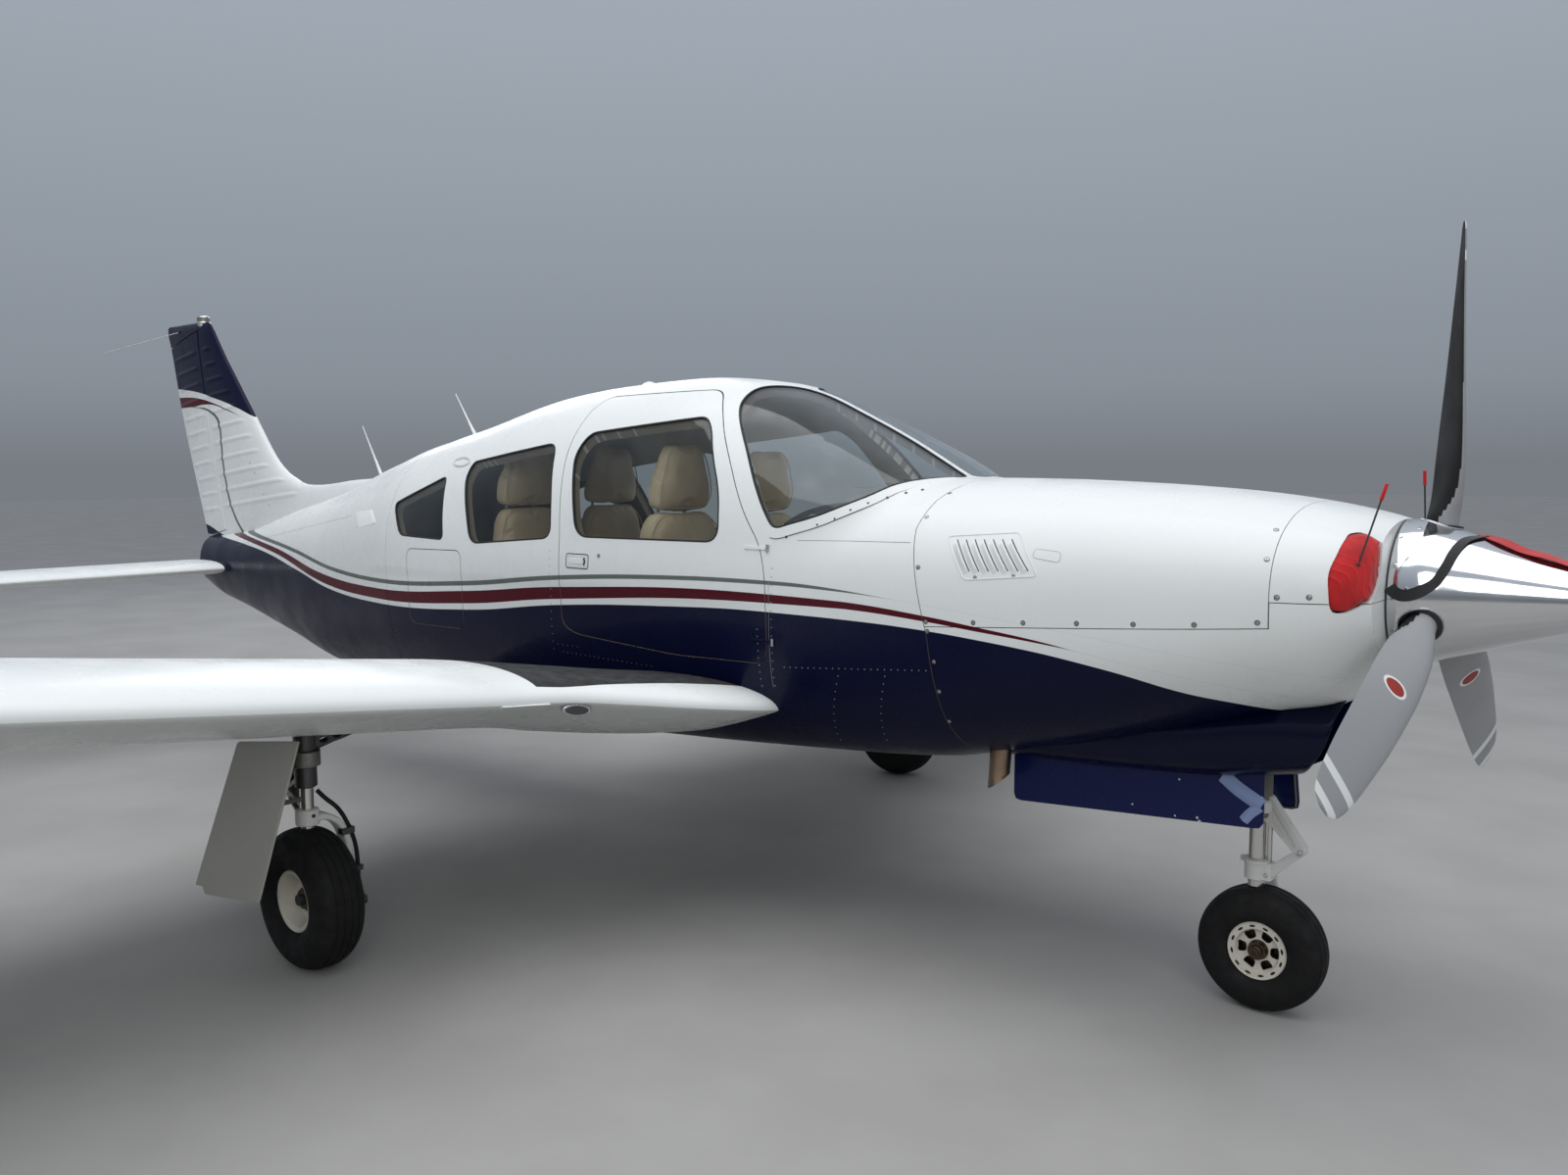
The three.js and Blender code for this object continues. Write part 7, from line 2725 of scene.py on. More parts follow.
@dataclass
class MainGear:
    """Main leg in the wing with its one-sided fork, brake, links and door, on one side."""

    side: Side
    x: float = 0.500
    y: float = 1.600
    axle_z: float = 0.2225
    piston: float = 0.021
    # Corners of the door as place and height
    door: tuple = (
        (0.380, 0.728), (0.728, 0.776), (0.640, 0.300), (0.318, 0.257), (0.300, 0.278),
        (0.250, 0.270),
    )

    def leg(self) -> None:
        """Barrel, piston, collar and curved fork arm on the inner side."""
        x, y = self.x, self.y
        shape = Shape()
        # The barrel and its cross bar, mark 4, take dark metal: painted shade under the wing.
        shape.turned([(0.575, 0.026), (0.580, 0.034), (0.900, 0.034), (0.900, 0.020)],
                     (x, -y, 0), (0, 0, 1), 40, mark=4)
        shape.turned([(0.640, 0.034), (0.645, 0.046), (0.690, 0.046), (0.695, 0.034)],
                     (x, -y, 0), (0, 0, 1), 40, mark=2)
        shape.bar((x - 0.10, -y, 0.780), (x + 0.10, -y, 0.780), 0.030, 32, 4, 0.004)
        shape.bar((x, -y, 0.44), (x, -y, 0.60), self.piston, 40, 1)
        shape.turned([(0.455, 0.030), (0.458, 0.036), (0.496, 0.037), (0.505, 0.034),
                      (0.507, 0.024)], (x, -y, 0), (0, 0, 1), 48)
        shape.bar((x + 0.030, -y, 0.489), (x + 0.0385, -y, 0.489), 0.006, 20, 3)
        path = curve_through([(x, -y, 0.474), (x, -y + 0.050, 0.474), (x, -y + 0.098, 0.440),
                              (x, -y + 0.122, 0.380), (x, -y + 0.128, 0.300),
                              (x, -y + 0.122, self.axle_z)], 48)
        half = np.interp(path[:, 2], [0.22, 0.32, 0.42, 0.474], [0.024, 0.024, 0.029, 0.032])
        shape.grid(NoseGear.arm_rings(path, half, 0.0115))
        shape.bar((x, -y - 0.045, self.axle_z), (x, -y + 0.128, self.axle_z), 0.0175, 32, 3, 0.002)
        shape.bar((x, -y + 0.078, self.axle_z), (x, -y + 0.134, self.axle_z), 0.031, 36, 0, 0.004)
        self.put(shape, "strut",
                 (FINISH_GEAR, FINISH_CHROME, FINISH_CAST, FINISH_DARK, FINISH_DARK_METAL),
                 (f"main_leg_{self.side.label}",))

    def brake(self) -> None:
        """Caliper on the disc, and the thick hose along the fork arm with its two clamps."""
        x, y = self.x, self.y
        shape = Shape()
        inner = -y + 0.148
        shape.block((x - 0.034, inner - 0.012, 0.142), (x + 0.034, inner + 0.020, 0.205), 0.006)
        shape.turned([(0, 0.016), (0.010, 0.016), (0.014, 0.012)], (x - 0.016, inner + 0.019, 0.172),
                     (0, 1, 0), 24)
        shape.turned([(0, 0.016), (0.010, 0.016), (0.014, 0.012)], (x + 0.016, inner + 0.019, 0.172),
                     (0, 1, 0), 24)
        shape.block((x - 0.030, -y + 0.100, 0.150), (x + 0.030, inner, 0.178), 0.004)
        shape.join(bolts((x, inner + 0.020, 0.196), (0, 1, 0), 0.022, 2, 0.005, 0.005), 1)
        for clamp_y, clamp_z, tilt in ((-y + 0.117, 0.413, 0.03), (-y + 0.142, 0.285, 0.0)):
            shape.block((x + 0.006, clamp_y - 0.022, clamp_z - 0.009),
                        (x + 0.036, clamp_y + 0.024, clamp_z + 0.009 + tilt * 0.1), 0.003)
        hose = [(x + 0.010, -y + 0.030, 0.560), (x + 0.018, -y + 0.052, 0.532),
                (x + 0.022, -y + 0.092, 0.490), (x + 0.022, -y + 0.124, 0.432),
                (x + 0.022, -y + 0.147, 0.360), (x + 0.022, -y + 0.153, 0.285),
                (x + 0.018, -y + 0.154, 0.235), (x + 0.010, -y + 0.156, 0.205)]
        shape.tube(hose, 0.0070, 14, 60, 2)
        self.put(shape, "brake", (FINISH_DARK_METAL, FINISH_STEEL, FINISH_HOSE))

    def links(self) -> None:
        """Torque links with triangular holes behind the leg, and the side brace above it."""
        x, y = self.x, self.y
        for name, corners, hole in (
            ("upper", [(x - 0.006, 0.672), (x - 0.006, 0.600), (x - 0.092, 0.552), (x - 0.104, 0.566)],
             [(x - 0.015, 0.655), (x - 0.015, 0.611), (x - 0.083, 0.573)]),
            ("lower", [(x - 0.006, 0.522), (x - 0.006, 0.462), (x - 0.104, 0.546), (x - 0.092, 0.566)],
             [(x - 0.015, 0.515), (x - 0.015, 0.479), (x - 0.080, 0.542)]),
        ):
            link = plate(rounded(corners, 0.010, 64), -y - 0.018, -y + 0.018).build("link")
            cut(link, prism(rounded(hole, 0.006, 36), -y - 0.03, -y + 0.03))
            if self.side is Side.LEFT:
                flip(link)
            link.name = f"main_{self.side.label}_{name}_link"
            finish(link, Finishes.of(FINISH_CAST), "root")
        shape = Shape()
        for px, pz in ((x - 0.012, 0.650), (x - 0.098, 0.558), (x - 0.014, 0.486)):
            shape.bar((px, -y - 0.024, pz), (px, -y + 0.024, pz), 0.007, 20, 1, 0.001)
        shape.bar((x, -y, 0.690), (x, -y + 0.300, 0.765), 0.012, 24, 0, 0.001)
        self.put(shape, "brace", (FINISH_DARK_METAL, FINISH_STEEL))
        brace = plate(rounded([(-y + 0.020, 0.742), (-y + 0.020, 0.700), (-y + 0.110, 0.712),
                               (-y + 0.290, 0.756), (-y + 0.290, 0.774)], 0.006, 64),
                      x + 0.020, x + 0.028).build("brace_plate")
        holes = Shape()
        for share in (0.050, 0.095, 0.140, 0.185, 0.225):
            middle = (-y + share, 0.719 + (share - 0.050) * 0.195)
            holes.join(prism(ellipse(0.015, 0.0095, 20) + middle, x, x + 0.05))
        cut(brace, holes)
        points = vertices_of(brace)[:, [1, 0, 2]]
        brace.data.vertices.foreach_set("co", points.ravel())
        brace.data.flip_normals()
        if self.side is Side.LEFT:
            flip(brace)
        brace.name = f"main_{self.side.label}_brace_plate"
        finish(brace, Finishes.of(FINISH_DARK_METAL), "root")

    def leg_door(self) -> None:
        """Leg door: a flat plate that leans out to its foot, with a notch and two stays; its grey is
        painted shade.
        """
        flat = rounded(self.door, 0.006, 120)
        out = -1.748 - (0.714 - flat[:, 1]) * 0.2036
        rows = [(0.0, -0.0015), (0.0015, 0.0), (0.0065, 0.0), (0.008, -0.0015)]
        rings = []
        for depth, grow in rows:
            edge = offset(flat, grow)
            rings.append(np.stack([edge[:, 0], out - depth, edge[:, 1]], -1))
        shape = Shape().grid(np.stack(rings))
        # The stays, mark 1, take the dark grey of painted shade under the wing.
        for z, y in ((0.540, -1.784), (0.640, -1.764)):
            shape.bar((self.x, -self.y - 0.020, z), (self.x, y, z), 0.008, 16, 1)
        self.put(shape, "leg_door", (FINISH_LEG_DOOR_SHADED, FINISH_WELL_SHADE),
                 (f"main_door_{self.side.label}",))

    def put(self, shape: Shape, name: str, looks: tuple,
            replaces: tuple[str, ...] = ()) -> None:
        """Makes a piece on this gear's side."""
        shape = shape.mirrored() if self.side is Side.LEFT else shape
        finish(shape.build(f"main_{self.side.label}_{name}"), Finishes.of(*looks), "root",
               replaces)

    def build(self) -> None:
        """Makes one main gear."""
        self.leg()
        self.brake()
        self.links()
        self.leg_door()


# Soft pieces


def plumped(obj: Object, voxel: float, cap: float, pressure: float = 4.0) -> Object:
    """Swells a closed form as its stuffing does: a short cloth simulation with inner pressure.

    Args:
        obj: the closed form, which is made anew from small cubes first.
        voxel: size of the cubes.
        cap: furthest that a point may move.
        pressure: pressure inside the cover.

    Returns:
        The same object, with the result in its mesh.
    """
    cubes = obj.modifiers.new("cubes", "REMESH")
    cubes.mode = "VOXEL"
    cubes.voxel_size = voxel
    keep_result(obj)
    before = vertices_of(obj)
    cloth = obj.modifiers.new("cloth", "CLOTH").settings
    cloth.use_pressure = True
    cloth.uniform_pressure_force = pressure
    cloth.effector_weights.gravity = 0
    for frame in range(1, 21):
        bpy.context.scene.frame_set(frame)
    keep_result(obj)
    bpy.context.scene.frame_set(1)
    move = vertices_of(obj) - before
    far = np.linalg.norm(move, axis=1, keepdims=True)
    after = before + move * np.minimum(1, cap / np.maximum(far, 1e-9))
    obj.data.vertices.foreach_set("co", after.ravel())
    return obj


def keep_result(obj: Object) -> None:
    """Puts the result of an object's modifiers in its mesh.

    Args:
        obj: object whose modifiers are used up.
    """
    view = bpy.context.evaluated_depsgraph_get()
    mesh = bpy.data.meshes.new_from_object(obj.evaluated_get(view))
    obj.modifiers.clear()
    old = obj.data
    obj.data = mesh
    bpy.data.meshes.remove(old)


def smoothed(obj: Object) -> None:
    """Adds one level of subdivision."""
    rounder = obj.modifiers.new("rounder", "SUBSURF")
    rounder.levels = rounder.render_levels = 1


@dataclass(frozen=True)
class Pad:
    """Cushion whose section changes from its foot to its head.

    At a height h from -1 to 1 the section is a superellipse, half the thickness by half the width,
    both drawn in by (1 - |h| ** p) ** (1 / p) at the ends.
    """

    foot: tuple[float, float, float]
    head: tuple[float, float, float]
    # Share of the way up, half the thickness and half the width
    rows: tuple
    power: float = 3.6
    ends: float = 5.0

    def shape(self) -> Shape:
        """Closed form of the pad; its width runs along y.

        Returns:
            The pad's form before it swells.
        """
        foot, head = np.array(self.foot), np.array(self.head)
        axis = head - foot
        across = unit(np.cross(axis, (0, 1.0, 0)))
        h = np.sin(np.linspace(-np.pi / 2, np.pi / 2, 44))[1:-1]
        share = (h + 1) / 2
        thick, wide = smooth_rows(np.array(self.rows), share).T
        drawn = (1 - np.abs(h) ** self.ends) ** (1 / self.ends)
        turn = np.linspace(0, 2 * np.pi, 64, endpoint=False)
        radius = Hull.oval(turn[None], (thick * drawn)[:, None], (wide * drawn)[:, None], self.power)
        ring = (radius * np.cos(turn))[..., None] * across + (radius * np.sin(turn))[..., None] * (
            np.array([0, 1.0, 0]))
        return Shape().grid(foot + share[:, None, None] * axis + ring)

    def seam(self, radius: float = 0.0024) -> Shape:
        """Piping round the front of the pad, where its face meets its sides.

        Args:
            radius: radius of the piping.

        Returns:
            The piping.
        """
        foot, head = np.array(self.foot), np.array(self.head)
        axis = head - foot
        across = unit(np.cross(axis, (0, 1.0, 0)))
        across = across * np.sign(across[0] + across[2])
        turn = np.linspace(0, 2 * np.pi, 72, endpoint=False)
        up = np.sign(np.sin(turn)) * np.abs(np.sin(turn)) ** 0.45
        side = np.sign(np.cos(turn)) * np.abs(np.cos(turn)) ** 0.45
        share = 0.5 + up * 0.47
        thick, wide = smooth_rows(np.array(self.rows), share).T
        out = side * wide * 0.955
        path = (foot + share[:, None] * axis + out[:, None] * np.array([0, 1.0, 0])
                + (thick * 0.80)[:, None] * across)
        return Shape().grid(swept(looped(path), ring_section(radius, 8), across))


@dataclass
class Seat:
    """Leather seat with a cushion, a reclined back and a separate head rest."""

    name: str
    x: float
    y: float
    width: float
    row: str
    drop: float = 0.0

    def pads(self) -> list[Pad]:
        """The cushion, the back and the head rest.

        Returns:
            The pads from the lowest up.
        """
        x, y, half = self.x, self.y, self.width / 2
        top = half - (0.055 if self.row == "front" else 0.045)
        z = -self.drop
        return [
            Pad((x + 0.010, y, z + 1.003), (x + 0.440, y, z + 1.012),
                ((0, 0.046, half - 0.020), (0.5, 0.050, half), (1, 0.044, half - 0.008)), 4.0, 7.0),
            Pad((x + 0.010, y, z + 0.985), (x - 0.015, y, z + 1.400),
                ((0, 0.048, half), (0.5, 0.052, half - 0.002), (0.8, 0.049, half - 0.020),
                 (1, 0.042, top)), 4.2, 9.0),
            Pad((x - 0.012, y, z + 1.404), (x + 0.012, y, z + 1.645),
                ((0, 0.043, 0.140), (0.3, 0.047, 0.137), (0.75, 0.038, 0.110), (1, 0.030, 0.088)),
                4.2, 9.0),
        ]

    def build(self, like: list[Object] | None = None) -> list[Object]:
        """Makes the seat, from another one's pads if there is one.

        Args:
            like: pads of the seat on the other side.

        Returns:
            The seat's pads.
        """
        made = []
        for i, (pad, part) in enumerate(zip(self.pads(), ("cushion", "back", "head"), strict=True)):
            name = f"{self.name}_{part}"
            if like is None:
                obj = plumped(pad.shape().build(name), 0.006, 0.010)
            else:
                obj = copy_of(like[i], name)
                flip(obj)
                points = vertices_of(obj) - (0, 0, self.drop)
                obj.data.vertices.foreach_set("co", points.ravel())
            replaced = (self.name,) if part == "back" else ()
            finish(obj, Finishes.of(FINISH_LEATHER), "root", replaced, 180)
            smoothed(obj)
            made.append(obj)
        seams = Shape()
        for pad in self.pads():
            seams.join(pad.seam())
        finish(seams.build(f"{self.name}_piping"), Finishes.of(FINISH_LEATHER), "root")
        self.base()
        return made

    def base(self) -> None:
        """Rails, pedestal, back shell and the head rest's posts."""
        x, y = self.x, self.y
        floor = np.interp(x, [-0.760, 2.100], [0.600, 0.735]) + 0.004
        shape = Shape()
        shape.block((x + 0.030, y - 0.145, floor), (x + 0.350, y + 0.145, 0.955), 0.012)
        for off in (-0.120, 0.120):
            shape.block((x - 0.02, y + off - 0.014, floor), (x + 0.42, y + off + 0.014,
                                                            floor + 0.020), 0.003, 1)
        for off in (-0.070, 0.070):
            shape.bar((x - 0.062, y + off, 1.34), (x - 0.038, y + off, 1.46), 0.006, 14, 1)
        back = self.pads()[1]
        foot, head = np.array(back.foot), np.array(back.head)
        middle = (foot + head) / 2 + (-0.046, 0, -0.02)
        shell = self.width / 2 - 0.040
        shape.block(middle - (0.007, shell, 0.160), middle + (0.007, shell, 0.160), 0.006)
        finish(shape.build(f"{self.name}_base"), Finishes.of(FINISH_TRIM, FINISH_STEEL), "root")


@dataclass
class Cabin:
    """What shows through the windows: seats, panel, yokes, trim and the bulkhead."""

    panel_x: float = 1.560
    panel_half: float = 0.470
    # Dials as distance from the centreline, height and radius
    dials: tuple = tuple(
        (0.245 + column * 0.092, height, 0.040)
        for height in (1.365, 1.270) for column in (-1, 0, 1)
    )
    yoke_y: float = 0.245

    def seats(self) -> None:
        """Four seats, the left ones mirrored from the right ones."""
        for row, x, y, width, drop in (("front", 0.800, 0.240, 0.420, 0.020),
                                       ("rear", -0.110, 0.235, 0.360, 0.0)):
            right = Seat(f"seat_{row}_right", x, -y, width, row).build()
            Seat(f"seat_{row}_left", x, y, width, row, drop).build(right)

    def panel(self) -> None:
        """Instrument panel with generic dials, a plain stack of boxes and a padded glare shield."""
        x, half = self.panel_x, self.panel_half
        outline = rounded([(-half + 0.015, 1.045), (half - 0.015, 1.045), (half + 0.010, 1.300),
                           (half - 0.030, 1.405), (0.200, 1.440), (-0.200, 1.440),
                           (-half + 0.030, 1.405), (-half - 0.010, 1.300)], 0.030, 120)
        face = np.stack([np.insert(flat, 0, at, axis=1) for at, flat in (
            (x, offset(outline, -0.004)), (x + 0.004, outline), (x + 0.075, outline))])
        shape = Shape().grid(face)
        for y, z, radius in self.dials:
            shape.turned([(0, radius + 0.004), (0.006, radius + 0.004), (0.008, radius),
                          (0.003, radius - 0.004), (0.003, 0.001)], (x + 0.001, y, z), (-1, 0, 0),
                         36, mark=1)
            for turn in np.radians(np.arange(30, 331, 30)):
                out = np.array([0, np.sin(turn), -np.cos(turn)])
                place = np.array([x - 0.0025, y, z])
                shape.bar(place + out * (radius - 0.010), place + out * (radius - 0.005), 0.0009, 5,
                          2)
            shape.bar((x - 0.0028, y, z), (x - 0.0028, y + radius * 0.45, z + radius * 0.45),
                      0.0012, 6, 2)
        for low, high in ((1.350, 1.400), (1.290, 1.342), (1.245, 1.283), (1.205, 1.238)):
            shape.block((x - 0.010, -0.085, low), (x + 0.004, 0.085, high), 0.003, 1)
            for y in (-0.068, 0.068):
                shape.bar((x - 0.022, y, (low + high) / 2), (x - 0.008, y, (low + high) / 2), 0.009,
                          18, 2, 0.001)
        for y in np.linspace(-0.060, 0.060, 6):
            shape.block((x - 0.012, y - 0.005, 1.160), (x + 0.002, y + 0.005, 1.180), 0.002, 2)
        for y, z in ((-0.030, 1.110), (0.0, 1.115), (0.030, 1.110)):
            shape.tube([(x, y, z), (x - 0.045, y, z + 0.006), (x - 0.075, y, z + 0.022)], 0.0045,
                       10, 12, 1)
            shape.bar((x - 0.085, y, z + 0.024), (x - 0.070, y, z + 0.022), 0.012, 18, 1, 0.003)
        finish(shape.build("instrument_panel_face"),
               Finishes.of(FINISH_TRIM, FINISH_DARK, FINISH_LINING), "root",
               ("instrument_panel",))
        self.shield()

    def shield(self) -> None:
        """Black glare shield: a thin padded deck from the panel to the windshield's foot.

        Its height is the panel's edge plus a slow arch across and a fall to the front.
        """
        y = np.linspace(-1, 1, 61)
        x = np.linspace(self.panel_x - 0.055, 2.000, 34)
        reach = np.interp(x, [1.50, 1.70, 1.90, 2.00], [0.478, 0.462, 0.390, 0.300])
        top = np.interp(x, [1.50, 1.60, 1.80, 2.00], [1.440, 1.448, 1.440, 1.425])
        across = reach[:, None] * y[None]
        height = top[:, None] - 0.060 * np.abs(y[None]) ** 3.5 * np.ones_like(across)
        edge = np.broadcast_to(x[:, None], across.shape)
        upper = np.stack([edge, across, height], -1)
        lower = upper[:, ::-1] - (0, 0, 0.016)
        ring = np.concatenate([upper, lower], axis=1)
        finish(Shape().grid(ring).build("glare_shield"), Finishes.of(FINISH_DARK), "root",
               (), 50)

    def yokes(self) -> None:
        """Control wheels on their shafts."""
        for side in Side:
            y = side.value * self.yoke_y
            x, z = 1.345, 1.235
            shape = Shape()
            shape.bar((x, y, z), (self.panel_x + 0.01, y, z), 0.011, 20, 1)
            shape.turned([(0, 0.030), (0.010, 0.034), (0.020, 0.034), (0.026, 0.020)],
                         (self.panel_x + 0.002, y, z), (-1, 0, 0), 28)
            shape.block((x - 0.014, y - 0.052, z - 0.026), (x + 0.012, y + 0.052, z + 0.026), 0.008)
            rim = [(x, y - 0.040, z), (x - 0.002, y - 0.095, z + 0.004),
                   (x - 0.004, y - 0.124, z + 0.045), (x - 0.004, y - 0.108, z + 0.095)]
            for mirror in (1, -1):
                path = np.array([(px, y + (py - y) * mirror, pz) for px, py, pz in rim])
                shape.tube(path, 0.0125, 16, 24)
            finish(shape.build(f"yoke_{side.label}"), Finishes.of(FINISH_DARK, FINISH_CHROME),
                   "root", (f"control_yoke_{side.label}",))

    def bulkhead(self) -> None:
        """Carpeted bulkhead behind the baggage space."""
        angle = np.linspace(0, 2 * np.pi, HULL.around, endpoint=False)
        rings = [HULL.point(np.array(x), angle, -0.042) for x in (-0.795, -0.783)]
        for ring in rings:
            ring[:, 2] = np.maximum(ring[:, 2], 0.600)
        shape = Shape().grid(np.stack(rings))
        finish(shape.build("bulkhead_panel"), Finishes.of(FINISH_CARPET), "root",
               ("rear_bulkhead",))

    def build(self) -> None:
        """Makes the cabin's fittings."""
        self.seats()
        self.panel()
        self.yokes()
        self.bulkhead()


@dataclass
class Covers:
    """Red intake plugs with their rods, the strap over the spinner and its streamer."""

    axis_z: float = 1.232
    strap_half: float = 0.015
    strap_thick: float = 0.0018
    streamer: tuple[float, float] = (0.050, 0.400)

    def plug(self) -> Object:
        """Stuffed plug that fills the right intake and stands a little proud of the cowl.

        Returns:
            The plug's object.
        """
        plug = INTAKE.bar(Side.RIGHT, 0.003, 3.110, 3.300).build("intake_plug_right_cover")
        cut(plug, HULL.loft(3.050, 3.232, 0.006, 0.014), Cut.KEEP)
        plumped(plug, 0.004, 0.006, 3.0)
        points = vertices_of(plug)
        normals = np.zeros(len(points) * 3)
        plug.data.vertices.foreach_get("normal", normals)
        wave = np.sin(points @ (70, 90, 55) + 2.2 * np.sin(points @ (10, 34, -46)))
        ridge = (1 - np.abs(wave)) ** 3 * (0.5 + 0.5 * np.sin(points @ (31, -25, 40)))
        points = points + normals.reshape(-1, 3) * (ridge * 0.0032 - 0.001)[:, None]
        plug.data.vertices.foreach_set("co", points.ravel())
        return plug

    def plugs(self) -> None:
        """Both plugs, the left one mirrored, and the rod that stands on each."""
        right = self.plug()
        left = copy_of(right, "intake_plug_left_cover")
        flip(left)
        for obj, side in ((right, "right"), (left, "left")):
            finish(obj, Finishes.of(FINISH_RED_CLOTH), "root",
                   (f"intake_plug_{side}",), 180)
            smoothed(obj)
        rods = Shape()
        for foot, head in (((3.206, -0.319, 1.318), (3.250, -0.267, 1.516)),
                           ((3.215, 0.290, 1.310), (3.205, 0.280, 1.545))):
            foot, head = np.array(foot), np.array(head)
            neck = head - unit(head - foot) * 0.042
            rods.bar(foot, neck, 0.0024, 10)
            rods.bar(neck, head, 0.0048, 12, 1, 0.001)
            rods.turned([(0, 0.009), (0.003, 0.009), (0.006, 0.004)], foot - (0.004, 0, 0),
                        head - foot, 16)
        finish(rods.build("intake_plug_rods"), Finishes.of(FINISH_DARK, FINISH_RED_CLOTH), "root")

    def over_spinner(self, x: Array, degrees: Array, lift: float) -> tuple[Array, Array]:
        """Points on the spinner at places and degrees from its top, and the way outwards there.

        Args:
            x: places along the aircraft.
            degrees: degrees from the top to the right.
            lift: distance off the spinner.

        Returns:
            Points and outward directions.
        """
        radius = smooth_rows(np.array(Propeller.spinner), x)[:, 0] + lift
        turn = np.radians(degrees)
        out = np.stack([np.zeros_like(turn), -np.sin(turn), np.cos(turn)], -1)
        return np.array([0, 0, self.axis_z]) + radius[:, None] * out + np.stack(
            [x, np.zeros_like(x), np.zeros_like(x)], -1), out

    def strap(self) -> None:
        """Black strap that joins the plugs, laid over the spinner in front of the blades."""
        half = np.array([(3.246, 82), (3.258, 86), (3.276, 88), (3.298, 87), (3.321, 83),
                         (3.345, 74.6), (3.361, 61), (3.370, 47), (3.384, 28), (3.412, 0)])
        scale = np.array([1.0, 0.0032])
        table = np.vstack([half, half[-2::-1] * (1, -1)]) * scale
        x, degrees = (curve_through(table, 150) / scale).T
        path, out = self.over_spinner(x, degrees, 0.0022)
        section = slab_section(self.strap_half, -self.strap_thick / 2, self.strap_thick / 2)
        strap = Shape().grid(swept(path, section, out)).build("plug_strap")
        finish(strap, Finishes.of(FINISH_STRAP), "propeller")

    def tag(self) -> None:
        """Red streamer that hangs on the strap and lies along the top of the spinner.

        Its middle line follows the spinner at a slowly changing angle, with low ripples.
        """
        width, length = self.streamer
        share = np.linspace(0, 1, 120)
        x = 3.412 + share * length * 0.935
        degrees = -3 + 26 * share + 6 * np.sin(share * 7)
        path, out = self.over_spinner(x, degrees, 0.0048)
        path = path + out * (0.0016 * (1 - np.cos(share * 24)))[:, None]
        half = np.minimum(width / 2, smooth_rows(np.array(Propeller.spinner), x)[:, 0] * 0.42)
        section = np.stack([slab_section(wide, -0.0006, 0.0006) for wide in half])
        sheet = Shape().grid(swept(path, section, out)).build("plug_streamer")
        finish(sheet, Finishes.of(FINISH_RED_CLOTH), "propeller")

    def build(self) -> None:
        """Makes the covers."""
        self.plugs()
        self.strap()
        self.tag()


@dataclass
class Engine:
    """What shows round the engine: the block, the firewall and the exhaust."""

    exhaust: tuple[float, float, float, float] = (2.168, -0.225, 0.0335, 0.0305)

    def pipe(self) -> None:
        """Exhaust pipe, leaning back a little and cut off at a slant."""
        x, y, outer, inner = self.exhaust
        turn = np.linspace(0, 2 * np.pi, 48, endpoint=False)
        circle = np.stack([np.cos(turn), np.sin(turn), np.zeros_like(turn)], -1)
        rings = []
        for radius, level in ((outer, np.linspace(0.740, 0.592, 12)),
                              (inner, np.linspace(0.592, 0.740, 12))):
            for z in level:
                slant = (0.740 - z) / 0.148
                centre = np.array([x - 0.010 * slant, y, z])
                ring = centre + radius * circle
                ring[:, 2] += 0.028 * slant * circle[:, 0]
                rings.append(ring)
        shape = Shape().grid(np.stack(rings), along=True)
        finish(shape.build("exhaust_tailpipe"), Finishes.of(FINISH_EXHAUST), "root",
               ("exhaust_pipe",))

    def build(self) -> None:
        """Makes the pipe and gives the block and the firewall their finishes."""
        self.pipe()
        # The firewall takes the dark grey of painted shade behind the cowl.
        for node, look in (("engine", FINISH_ENGINE), ("firewall", FINISH_WELL_SHADE)):
            for slot in bpy.data.objects[node].material_slots:
                slot.material = Finishes.of(look)[0]


